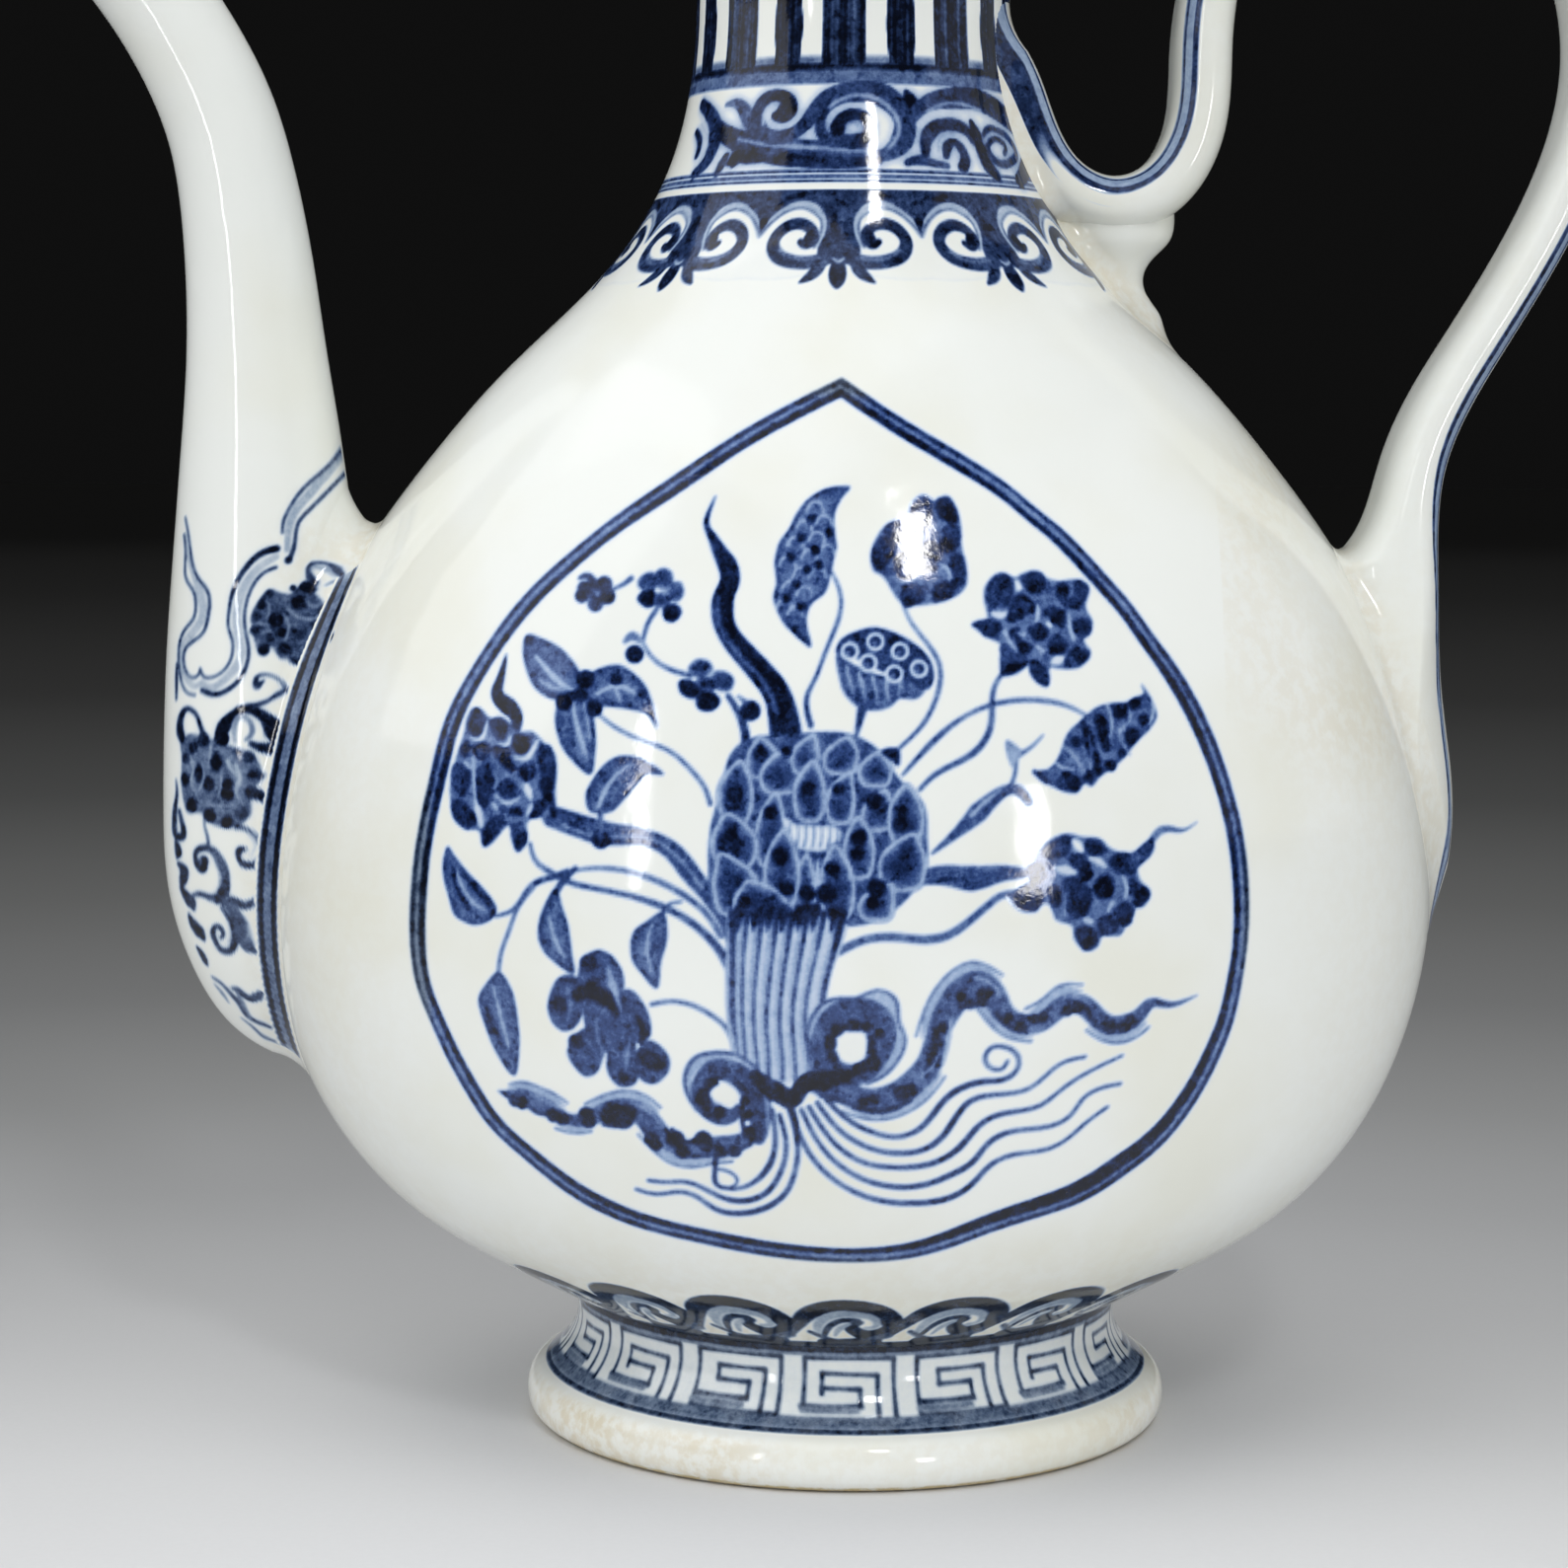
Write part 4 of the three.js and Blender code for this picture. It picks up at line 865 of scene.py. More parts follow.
     7,-42, -11,-47), (-213,981, -15,39, 3,35, 11,29, 50,-28, 16,-35, -14,-39), (-179,972, -16,26, 7,23, 21,20,
     47,-18, 15,-23, -16,-27), (12,975, -11,24, 14,22, 43,17, 4,-17, 1,-22, -11,-24)),
    (1.15, 2.5, (-192,1171)),
    (1.15, 2.2, (-152,1236), (-197,1109)),
    (1.15, 1.6, (-211,1099)),
    (1.15, 2.2, (-135,1144), (-76,1183)),
    (1.15, 1.9, (-28,1182)),
    (1.15, 2.5, (28,1164), (69,1128), (4,1105)),
    (1.15, 2.2, (1,1080)),
    (1.15, 2.8, (-120,1076)),
    (1.15, 2.2, (-109,1026)),
    (1.15, 2.5, (-77,1019)),
    (1.15, 1.9, (-80,993)),
    (1.15, 2.2, (-38,1058)),
    (1.15, 3.1, (-46,1018)),
    (1.15, 2.8, (32,1028)),
    (1.15, 1.9, (26,1004), (-176,1003)),
    (1.15, 1.6, (-110,1240)),
    (1.15, 1.9, (72,1148)),
    (0.2, (0.4, 0.6, 0.4), (-60,1070, -1,-37)),
    ((0.15, 0.25), (0.3, 0.5, 0.3), (-15,1071, 6,-16, -3,-15)),
    ("dark", 0, (39,1241, 14,6, 14,-3, 0,-25, -10,6)),
    ("palewash", 0, (-192,978, 72,-5, 74,7, 32,-12, -9,-37, -22,-61, -9,-63, -6,-81, -59,-14, -52,12, -14,80, -8,96)),
    ((0.4, 0.3, 0.3), (1, 0.8), (-199,978, -2,-110, 3,-64, 15,-80)),
    ((0.9, 0.7, 0.7), (1.4, 0.7, 1, 0.8, 0.9), (-193,984, -1,-116, 3,-64, 12,-64, 0,-23)),
    ((0.4, 0.3, 0.3), (1, 0.8), (-178,978, -7,-110, 8,-144)),
    ((0.9, 0.7, 0.7), (0.8, 0.4, 0.6, 0.5, 0.55), (-171,985, -6,-181, 5,-64, 0,-23)),
    ((0.4, 0.3, 0.3), (1, 0.8), (-154,979, -3,-35, -9,-139, 8,-81)),
    ((0.9, 0.7, 0.7), (0.8, 0.4, 0.6, 0.5, 0.55), (-148,985, -3,-40, -9,-140, 6,-64, 1,-23)),
    ((0.4, 0.3, 0.3), (1, 0.8), (-131,979, -15,-174, 5,-80)),
    ((0.9, 0.7, 0.7), (0.9, 0.45, 0.7, 0.6, 0.6), (-125,986, -3,-41, -12,-140, 4,-64, 0,-23)),
    ((0.4, 0.3, 0.3), (1, 0.8), (-106,980, -5,-35, -15,-139, 7,-81)),
    ((0.9, 0.7, 0.7), (0.9, 0.45, 0.7, 0.6, 0.6), (-100,986, -5,-41, -14,-139, 5,-64, 0,-23)),
    ((0.4, 0.3, 0.3), (1, 0.8), (-83,980, -5,-34, -17,-140, 6,-80)),
    ((0.9, 0.7, 0.7), (0.9, 0.45, 0.7, 0.6, 0.6), (-77,986, -5,-40, -17,-140, 5,-64, 0,-23)),
    ((0.4, 0.3, 0.3), (1, 0.8), (-56,980, -7,-34, -22,-140, 10,-80)),
    ((0.9, 0.7, 0.7), (0.9, 0.45, 0.6, 0.6, 0.6), (-50,987, -7,-41, -22,-140, 8,-64, 1,-22)),
    ((0.4, 0.3, 0.3), (1, 0.8), (-27,981, -8,-35, -19,-76, -13,-144)),
    ((0.9, 0.7, 0.7), (1.4, 0.7, 0.9, 0.8, 0.9), (-21,987, -8,-41, -19,-76, -9,-63, -6,-65, 0,-22)),
    ((1, 0.8), (1.9, 0.35), (-182,991, -5,-35)),
    ((1, 0.8), (1.9, 0.3), (-157,991, -5,-34)),
    ((1, 0.8), (1.9, 0.35), (-136,992, -4,-35), (-112,992, -5,-34)),
    ((1, 0.8), (1.9, 0.3), (-88,992, -4,-34)),
    ((1, 0.8), (1.9, 0.35), (-64,993, -5,-35), (-35,993, -1,-19, -3,-15)),
    ((0.75, 0.6, 0.85, 0.6, 0.7), (0.8, 1, 0.6), (-44,686, 35,-33, 40,-21, 39,-7, 31,11, 47,54, 62,25, 32,4, 19,21,
     -4,19, -19,12, -21,-1, -10,-16, 8,-16, 19,-3, 9,12)),
    ((0.75, 0.6, 0.85, 0.6, 0.7), (0.8, 1, 0.55), (-59,681, 35,-44, 47,-30, 47,-10, 48,9, 28,25, 41,53, 32,8, 63,11,
     47,37, 40,10)),
    ((0.75, 0.6, 0.85, 0.6, 0.7), (0.8, 1, 0.5), (-72,674, 40,-59, 47,-33, 48,-9, 79,13, 31,24, 23,28, 24,17, 79,18,
     31,23, 100,53)),
    ((0.75, 0.6, 0.85, 0.6, 0.7), (0.8, 1, 0.6), (-84,669, 36,-66, 48,-42, 55,-20, 64,3, 39,16, 31,19, 24,30, 23,16,
     80,12, 32,17, 20,27, 27,15, 33,6)),
    ((0.75, 0.6, 0.85, 0.6, 0.7), (0.8, 1, 0.55), (-98,660, 19,-49, 32,-45, 95,-51, 55,-4, 56,10, 31,21, 31,33,
     40,16, 48,6, 32,15, 32,27, 35,25)),
    ((0.75, 0.6, 0.85, 0.6, 0.7), (0.8, 1, 0.6), (-103,668, 13,-57, -5,-51, -15,-34, -72,-37, -39,6, -32,21, -24,6,
     -40,-6, -33,6), (-119,660, 11,-50, -10,-50, -24,-35, -40,-14, -31,6, -56,23, -32,-2, -29,1), (-131,668, -3,-92,
     -56,-44, -23,2)),
    ((0.35, 0.3, 0.35), (0.3, 1.2, 1.2, 1.2, 0.3), (-559,679, 23,6, 22,-5, 25,-9, 24,-15)),
    (0.65, 0.4, (-557,686, 23,6, 23,-5, 26,-9, 24,-15)),
    ((0.35, 0.3, 0.35), (0.3, 1.5, 1.3, 1.3, 0.3), (-430,655, 55,26, 36,-4, 26,-19)),
    (0.65, 0.4, (-432,663, 57,26, 39,-4, 27,-20)),
    ((0.35, 0.3, 0.35), (0.3, 1.2, 0.3), (-479,626, 28,-7, 27,6)),
    (0.65, 0.4, (-482,618, 30,-6, 30,6)),
    ((0.35, 0.3, 0.35), (0.3, 1.6, 1.5, 1.5, 1.6, 0.3), (-340,624, 21,-21, 29,-22, 36,-4, 29,7, 30,4)),
    (0.65, 0.4, (-346,618, 21,-22, 31,-24, 40,-5, 30,7, 30,5)),
    ((0.7, 0.6, 0.7, 0.6, 0.7), (0.2, 2.9, 2.9, 2.1, 2.3, 3.8, 3.8, 3.1, 2.9, 2.9, 3.2, 2.7), (-577,673, 16,-4,
     20,-2, 20,-5, 24,-8, 47,-20, 24,6, 51,17, 28,-2, 23,-15, 42,-41, 27,-3, 27,8, 31,4, 27,10)),
    (1.1, 2, (-549,659), (-537,656)),
    (1.1, 2.3, (-485,640)),
    (1.1, 2, (-471,635)),
    (1.1, 2.6, (-430,645)),
    (1.1, 2.3, (-426,635)),
    (1.1, 4.2, (-385,648)),
    (1.1, 3.8, (-371,645)),
    (1.1, 3, (-363,654)),
    (1.1, 2.3, (-324,611)),
    (1.1, 1.8, (-317,601)),
    (1.1, 3, (-286,613)),
    (1.1, 2.3, (-274,593)),
    (1.1, 2.7, (-241,615)),
    (1.1, 2.3, (-236,604)),
    (1.1, 2, (-214,596), (-190,597)),
    ((1, 0.9), (0.3, 0.6, 0.5, 0.4), (-569,671, 20,-12, 20,-6, 16,-11, 16,-3, 20,-7)),
    (0.95, (0.6, 1, 0.8), (-402,631, 15,0, 20,3)),
    (0.95, (0.55, 0.9, 0.55), (-344,635, 20,-24, 9,-15)),
    (1, 0.7, (-290,629, 10,-15, 14,-5, 25,17)),
    (0.95, (0.4, 0.6), (-301,629, 38,-42, 39,2, 38,8, 19,13)),
    (0.4, (0.45, 0.7, 0.55), (-359,670, 27,-6, 19,-24)),
    (0.4, 0.4, (-521,672, 24,-8, 20,-11)),
    (0.4, 0.45, (-347,667, 23,-15)),
    ((0.85, 0.75), (0.7, 0.8, 0.4, 0.5), (-221,588, -1,-25, 2,-23, 19,-7, 15,13, -11,14, -19,5)),
    ((0.35, 0.3, 0.35), (0.3, 1.9, 1.6, 1.7, 0.3), (106,788, 10,39, 26,45, 45,28, 42,-21)),
    (0.65, 0.4, (97,791, 38,87, 51,31, 47,-22)),
    ((0.35, 0.3, 0.35), (0.3, 1.8, 1.6, 0.3), (275,824, 25,13, 28,21, 34,0)),
    (0.65, 0.4, (270,832, 25,13, 29,22, 38,1)),
    ((0.35, 0.3, 0.35), (0.3, 1.5, 1.6, 0.3), (196,845, 21,-29, 33,-23, 32,-6)),
    (0.65, 0.4, (189,841, 58,-56, 34,-6)),
    ((0.35, 0.3, 0.35), (0.3, 1.4, 1.7, 0.3), (375,801, 33,-20, 37,4, 23,17)),
    (0.65, 0.4, (370,794, 37,-22, 41,4, 25,18)),
    ((0.35, 0.3, 0.35), (0.3, 1.5, 1.5, 1.5, 0.3), (-16,676, 41,-13, 86,33, 26,34)),
    (0.65, 0.4, (-18,667, 43,-13, 92,35, 26,35)),
    ((0.7, 0.6, 0.7, 0.6, 0.7, 0.65), (3, 3.3, 4.2, 4.2, 3.6, 4.5, 4.1, 2.9, 3.2, 3.2, 3, 1.3, 0.2), (-69,715,
     26,-10, 32,-8, 37,-10, 37,7, 31,22, 24,30, 10,35, 33,72, 29,20, 27,-15, 16,-28, 25,-19, 27,-5, 26,14, 24,17,
     27,-1, 22,-19, 28,-17, 25,3, 21,13, 17,17, 28,-4, 28,4, 22,8)),
    (1.05, 2.7, (76,698)),
    (1.05, 2.1, (89,702)),
    (1.05, 1.9, (31,688)),
    (1.05, 1.7, (13,683)),
    (1.05, 2.3, (131,773), (128,751)),
    (1.05, 1.9, (141,805)),
    (1.05, 1.7, (167,853), (183,842)),
    (1.05, 2.1, (201,853)),
    (1.05, 1.7, (214,863), (244,817)),
    (1.05, 1.9, (263,803)),
    (1.05, 1.7, (284,815)),
    (1.05, 1.5, (298,815)),
    (1.05, 1.9, (354,832)),
    (1.05, 1.7, (338,827)),
    (1.05, 2.1, (409,797)),
    (1.05, 1.9, (429,796)),
    (1.05, 1.5, (442,809)),
    (1, (0.8, 1.3, 1), (115,729, 6,33, 10,38)),
    (0.95, (0.7, 1, 0.6), (167,837, 18,4, 24,0)),
    (0.95, (0.7, 0.8, 0.6), (223,828, 21,-24, 30,-10)),
    (0.95, (0.55, 0.8, 0.55), (263,822, 24,-5, 24,17)),
    (0.95, (0.6, 0.9, 0.55), (371,826, 22,-28, 33,-7, 22,12)),
    (0.9, (0.7, 0.8), (-54,693, 43,-13, 37,-12, 42,5)),
    (0.95, (0.7, 0.9, 0.6), (-1,675, 53,-6, 37,16)),
    (0.35, (0.6, 1, 0.6), (139,745, 7,33, 5,38)),
    (0.4, (0.55, 0.7, 0.55), (187,885, 27,-10, 16,-23)),
    (0.4, (0.4, 0.6, 0.4), (332,849, 27,-1, 20,-17), (105,724, 21,21, 10,28)),
    ((0.35, 0.3, 0.35), (1.1, 1.8, 1.7, 1.5, 1.4, 0.9), (-258,679, -8,32, 11,28, 31,12, 34,-2, 27,-19, 23,-67,
     -4,-36)),
    ((0.8, 0.7, 0.7), (0.45, 0.6, 0.45, 0.4), (-251,664, -15,27, -3,32, 14,26, 31,11, 34,-2, 31,-20, 25,-75, -6,-40)),
    ((0.8, 0.7, 0.7, 0.75), (1.9, 2.7, 3.6, 3.8, 3.6, 3, 3.1, 3.2, 1.3), (-151,619, -8,64, -15,31, -50,16, -21,-42,
     29,-31, 23,1, 9,12)),
    (1.1, 2.3, (-228,708)),
    (1.1, 2.6, (-241,684)),
    (1.1, 2.1, (-234,696)),
    (1.1, 1.8, (-235,672)),
    (1.1, 2, (-214,661)),
    (1.1, 1.5, (-174,682)),
    (1.1, 1.7, (-172,658)),
    (1.1, 2, (-168,630)),
    (1.1, 1.5, (-163,622)),
    (1.1, 1.1, (-214,681)),
    (1.05, (0.6, 0.8, 0.4), (-232,680, -2,24, 10,14, 19,3)),
    (1, 0.6, (-176,682, -2,-32, 4,-28)),
    ("white", 0, (-230,696, 12,11, 21,0, 12,-11, 0,-14, -16,-7, -17,2, -11,9)),
    ((0.35, 0.3, 0.35), (1.4, 2.2, 1.6, 1.9, 1.8, 1.3), (-62,756, -5,33, 15,38, 29,15, 32,4, 26,9, 24,-14, 2,-30,
     9,-22, -8,-32, -42,-36)),
    (0.7, 0.5, (-70,756, -5,38, 13,38, 28,19, 35,2, 34,12, 29,-16, 5,-33, 10,-27, -9,-35, -23,-27, -27,-14)),
    ((0.7, 0.65, 0.7, 0.7, 0.7, 0.7), (3.1, 4, 4.8, 4.5, 4.5, 3.7, 3.8, 2.2), (-22,718, 32,14, 20,25, 11,32, -6,30,
     -58,5, -21,-21, 1,-57, 26,-14, 21,3)),
    (1.1, 2.3, (-2,807)),
    (1.1, 1.9, (-28,800), (-38,778), (-35,757)),
    (1.1, 2.1, (20,773)),
    (1.1, 2.3, (28,746), (9,740)),
    (1.1, 1.7, (38,795), (17,806)),
    ((1.1, 1.1, 1.05), (0.9, 1.1), (-38,751, -2,33, 17,19, 27,4)),
    (1.1, (0.8, 1.3, 1.3), (25,789, 4,-27, -17,-24, -29,-11)),
    ("white", 0, (-30,773, 5,19, 23,8, 19,-8, 3,-22, -8,-19, -21,-6, -16,9)),
    ((1, 1.1, 1.15, 1.1), (1.9, 3.3, 2.5, 2.9, 1.9), (-158,724, 21,-18, 20,-12, 19,-7, 14,20, 46,14, 21,2)),
    (1.15, 3.2, (-104,687), (-51,717)),
    ((1.1, 1), (1.1, 0.55), (-101,673, 8,-27, 3,-34)),
]

# Painting on each side of the spout, out from the axis.
spoutStrokes = [
    (0.3, (0.3, 1.5, 1.4, 1), (-887,1730, -10,-39, -22,-33, -21,-29, -19,-25, -13,-67)),
    ((0.75, 0.85), (0.4, 0.6, 0.45), (-884,1753, -20,-64, -40,-44, -28,-43, -7,-19, -1,-17)),
    ((0.75, 0.95), (0.35, 0.5, 0.6, 0.6, 0.5, 0.8), (-878,1707, -9,-37, -16,-25, -37,-43, -13,-17, -9,-48, -6,-16)),
    (1.1, 1.2, (-970,1519)),
    (0.25, (0.5, 0.9, 1.6, 1.5, 1.4, 1.1, 1), (-1156,1561, 8,-41, 26,-104, -38,-52, 9,-52, 16,-11, 15,6)),
    (0.8, (0.4, 0.6, 0.4), (-1156,1590, 9,-41, 20,-64, 14,-16, 3,-53, -9,-23, -34,-29, 2,-40, 11,-9, 10,3, 7,11)),
    (0.8, (0.4, 0.55, 0.45), (-1159,1561, 4,-37, 3,-41, 14,-19, 5,-23, -5,-25, -15,-17, -13,-75, 20,-37, 12,-2)),
    (0.25, (1.1, 1.5, 1.6, 1.5, 1.1), (-990,1525, -26,-16, -41,-93, 5,-33, 3,-25, -32,-46, -23,-12, -16,7)),
    ((1.1, 0.95, 0.8, 0.8), (1.1, 0.5, 0.45), (-989,1539, -16,-4, -38,-31, -24,-50, -4,-25, -1,-23, 7,-23, -25,-61,
     -28,-3, -6,12)),
    ((0.8, 0.8, 0.95, 1), (0.55, 0.55, 0.8), (-990,1507, -20,-9, -17,-19, -14,-83, 5,-25, -15,-55, -21,-19, -24,-9,
     -24,6)),
    ("deepwash", 0, (-1030,1404, -2,21, 15,29, 17,15, 21,-6, 17,0, 16,16, 17,-25, 6,-37, -7,-42, -13,-25, -20,4,
     -17,-4, -17,21, -16,-13, -11,17)),
    (1.05, 1.4, (-1001,1462)),
    (1.1, 1.5, (-1014,1442)),
    (0.95, 1.5, (-1021,1424)),
    (1, 1.6, (-1026,1399)),
    (1.1, 2, (-1010,1366)),
    (1.15, 2.4, (-989,1417)),
    (1, 1.7, (-996,1387)),
    (1.05, 1.5, (-980,1396)),
    (1.1, 1.9, (-976,1368)),
    (1.15, 2.1, (-955,1447)),
    (1.15, 1.8, (-941,1474)),
    (0.9, 1.1, (-962,1471)),
    (1, 2.3, (-931,1413)),
    (0.95, 1.7, (-925,1438)),
    (0.9, 2.1, (-924,1384)),
    (1, 1.9, (-939,1359)),
    (0.95, 1.5, (-955,1396), (-963,1350)),
    (0.3, 0.3, (-1006,1450, 6,-13, -4,-16), (-1013,1394, 12,4, 13,-15), (-971,1438, 17,-15, 20,0, 5,6), (-946,1454,
     8,-12, 9,4), (-979,1429, 10,-16, -3,-30)),
    (0.3, 0.25, (-1000,1408, -19,5)),
    (0.3, (0.6, 1, 0.6), (-936,1504, 7,5, 12,-5, 5,-10)),
    ((1, 0.75, 0.95, 1.05), (1.1, 0.7, 0.45, 0.45, 0.9, 0.5), (-934,1484, -1,27, 13,6, 19,-33)),
    (0.7, (0.25, 0.5, 0.25), (-922,1479, 10,5, 13,-21)),
    ((0.6, 0.65, 0.9, 1), (0.6, 0.55, 0.5, 0.6, 1.2, 0.35), (-977,1298, -6,16, -40,-1, 3,-9, 6,5, 5,4)),
    ((0.9, 0.95, 1.1), (0.5, 0.8), (-977,1300, -33,-25, -23,-5, -21,-6)),
    (1.15, (1.8, 2.4, 1.1, 1.2, 1.9, 3, 1.7), (-1089,1207, 7,21, 14,21, 14,12, 42,-7, 25,-57)),
    (1.1, (0.8, 2.1), (-1032,1205, 17,-6, 21,-1)),
    ((0.3, 0.45, 0.6), (0.6, 1.1, 1.1, 0.8, 1, 0.5), (-1059,1207, -2,26, 9,18, 15,-4, 5,-29, -9,-6)),
    ((0.55, 0.7), (0.35, 0.7, 1, 0.35), (-970,1300, 12,-8, -8,-28)),
    ((0.9, 1.05, 0.95), (1.2, 0.8, 0.6, 0.7, 1.2, 1.6, 0.5), (-1113,1207, -10,25, -10,21, -14,8, -18,-33, 10,-32)),
    (1, (0.4, 0.6, 0.35), (-1172,1337, -1,-63)),
    ("washed", 0, (-1161,1174, -2,27, 18,16, 34,-4, 38,-11, 27,-8, 23,-11, 7,-35, -15,-27, -5,-42, -31,-20, -34,4,
     -23,19, -27,0, -11,46)),
    (1.1, (0.8, 1.5, 0.8), (-1162,1223, 0,-17)),
    (0.95, (1.1, 1.6, 2, 1.1), (-1138,1196, 0,-4)),
    (1.05, (1.3, 2.5, 1.3), (-1117,1215, 0,-12)),
    (1.15, (1.3, 2.5, 1.3), (-1082,1217, 0,-8)),
    (0.95, (1, 1.8, 0.9), (-1152,1179, -1,-10)),
    (1.1, (0.8, 1.6, 0.8), (-1127,1163, 0,-27)),
    (1.15, (1.2, 2.3, 1.2), (-1094,1181, 0,-21)),
    (1.1, (0.9, 1.8, 0.9), (-1154,1145, 0,-14)),
    (1.1, (1.2, 2.3, 1.2), (-1108,1137, 0,-9)),
    (1.1, (1.6, 2, 2, 2, 2, 1.6), (-1073,1135, 0,-1)),
    (1.1, (1.1, 2.2, 1.1), (-1074,1117, 0,-3)),
    (1.1, (1.2, 2.2, 1.2), (-1141,1098, 0,-5)),
    (1.15, (1.3, 2.3, 2.3, 1.3), (-1107,1082, 0,-7)),
    (1.1, (1.1, 2.2, 1.1), (-1075,1072, 0,-6)),
    (0.8, (0.8, 1.4, 0.8), (-1096,1105, 2,0)),
    (0.9, (1.3, 2.5, 1.3), (-1049,1086, 0,-3)),
    (0.95, (1.1, 1.9, 1.9, 1.1), (-1038,1183, 7,0)),
    (0.85, (0.8, 1.3, 1.6, 0.8), (-1058,1188, 4,0)),
    (1.1, (0.9, 1.8, 0.9), (-1032,1152, 9,0)),
    (1.1, (1.1, 2.2, 1.1), (-1033,1121, 3,0)),
    (1.1, (1.9, 1.3, 0.2), (-1031,1121, 26,-17, 8,-12)),
    (0.9, (1.1, 0.3), (-1035,1183, 12,-3)),
    (1.05, (1.4, 0.4), (-1025,1152, 11,0)),
    ((0.25, 0.35), 0.3, (-1121,1167, 4,-27, -10,-19), (-1085,1155, 0,-23, -6,-19), (-1142,1178, 4,-23, -4,-23,
     11,-19)),
    ((0.25, 0.35), (0.6, 0.9, 0.35), (-1058,1167, 6,-23, -6,-23, 11,-19)),
    ((0.25, 0.35), (0.6, 0.8, 0.45), (-1073,1175, 8,-16, 11,-11)),
    ((0.25, 0.35), 0.3, (-1112,1098, 23,-2, 23,2), (-1103,1201, -5,-38)),
    ((0.85, 0.6, 0.8, 0.95, 1, 1.1), (1, 0.7, 0.7, 0.7, 0.9, 1, 1.1, 0.9, 1.1, 0.7, 1.1, 0.55), (-1059,1061, 19,-5,
     13,-16, 6,-19, -19,-27, -14,7, 2,20, 7,1)),
    (0.25, (0.35, 0.25), (-1038,1046, 6,-14, -9,-24)),
    ((0.6, 0.8), (0.4, 0.6), (-1118,1071, 2,-16, 4,-15, 1,-18)),
    ((1.1, 1.05, 0.95, 0.7, 0.65, 0.9, 1), (1, 1.2, 0.7, 0.9, 1, 1.3, 1.6, 1.9, 2, 2, 2.1, 2, 1.1), (-1119,986,
     -4,-4, -10,8, -1,23, 27,6, 13,-14, 9,-19, 2,-23, -4,-22, -12,-13)),
    (1.1, 1.8, (-1121,997)),
    ((0.2, 0.3, 0.3), (0.2, 0.6, 0.3), (-1101,994, 9,-18, -1,-21, -9,-14)),
    (0.3, 0.25, (-1128,1007, 2,-10, -3,-9)),
    ((0.85, 0.9, 1), (0.55, 0.8, 0.9, 1.4, 1.1), (-1149,930, 14,7, 34,-5, 14,7)),
    ((0.7, 0.9, 0.9, 0.7), (1.2, 1.4, 0.2), (-1079,932, 15,-4, 15,-6, 12,10, 8,9)),
    ((0.7, 0.75, 0.95), (1.5, 2.2, 2.5, 2, 0.6, 0.25), (-1087,928, 17,-16, 15,-42, 15,-29, 17,-2, 14,-12)),
    ((0.8, 0.85, 0.95, 0.9, 1, 0.9), (0.55, 0.7, 1, 1.3, 1.4, 1.2, 1, 0.9, 1, 0.7, 0.8, 0.45), (-1091,916, 21,-42,
     -12,-37, -14,2, -10,15, -3,18, 7,9, 10,-5, 1,-12, -5,-4)),
    (0.2, (0.3, 0.6, 0.3), (-1080,893, 0,-37, -8,-9)),
    (0.3, (0.3, 0.55, 0.3), (-1049,889, 4,-15, -4,-16)),
    (0.2, 0.2, (-1100,872, 1,-12, 7,-8)),
    ((0.7, 0.95, 0.7), (0.5, 1.1, 1, 1.4, 0.6, 0.2), (-1081,767, 7,0, 14,-10, 17,-6, 10,10, 17,16)),
    ((0.7, 0.75, 0.85, 0.7), (0.45, 1, 0.25), (-1118,784, 16,-9, 19,-20, 15,-19, 13,-22, 19,-11, 23,-12, 18,-4)),
    (0.6, (0.6, 1, 0.6), (-1072,765, 6,-20, 15,-36)),
    (0.35, 0.3, (-1070,759, 16,-41)),
    (0.6, (0.3, 0.7, 0.25), (-1070,710, 19,-15, 19,-20, 23,-13, 15,-8)),
    (0.5, (0.3, 0.7, 0.25), (-1115,771, 11,-12, 14,-21)),
    (1, (0.2, 0.9, 1.3, 0.6), (-1174,1136, 2,-27, -5,-27, -1,-23, 6,-23, 9,0, 1,27, -5,19)),
    (1, (0.4, 1.3, 1.5, 0.4), (-1177,1028, 5,-25, -3,-6)),
    (1, (0.8, 1.8, 1.7, 0.8), (-1171,987, 10,-9, -3,-20, -3,-11)),
    (1, (0.8, 1.6, 2.1, 0.55), (-1168,943, 12,-15, 9,-12, 2,-8)),
    (1, (0.6, 1.6, 2.1, 0.6), (-1155,897, 10,-20, 13,-15, 4,-8)),
    (1, (0.4, 0.9, 1.1, 1.1, 0.3), (-1144,838, 8,-11, 10,-21)),
    (0.3, (0.3, 0.45, 0.3), (-1172,1070, 0,-29)),
    (0.3, 0.25, (-1154,900, 8,-11)),
]

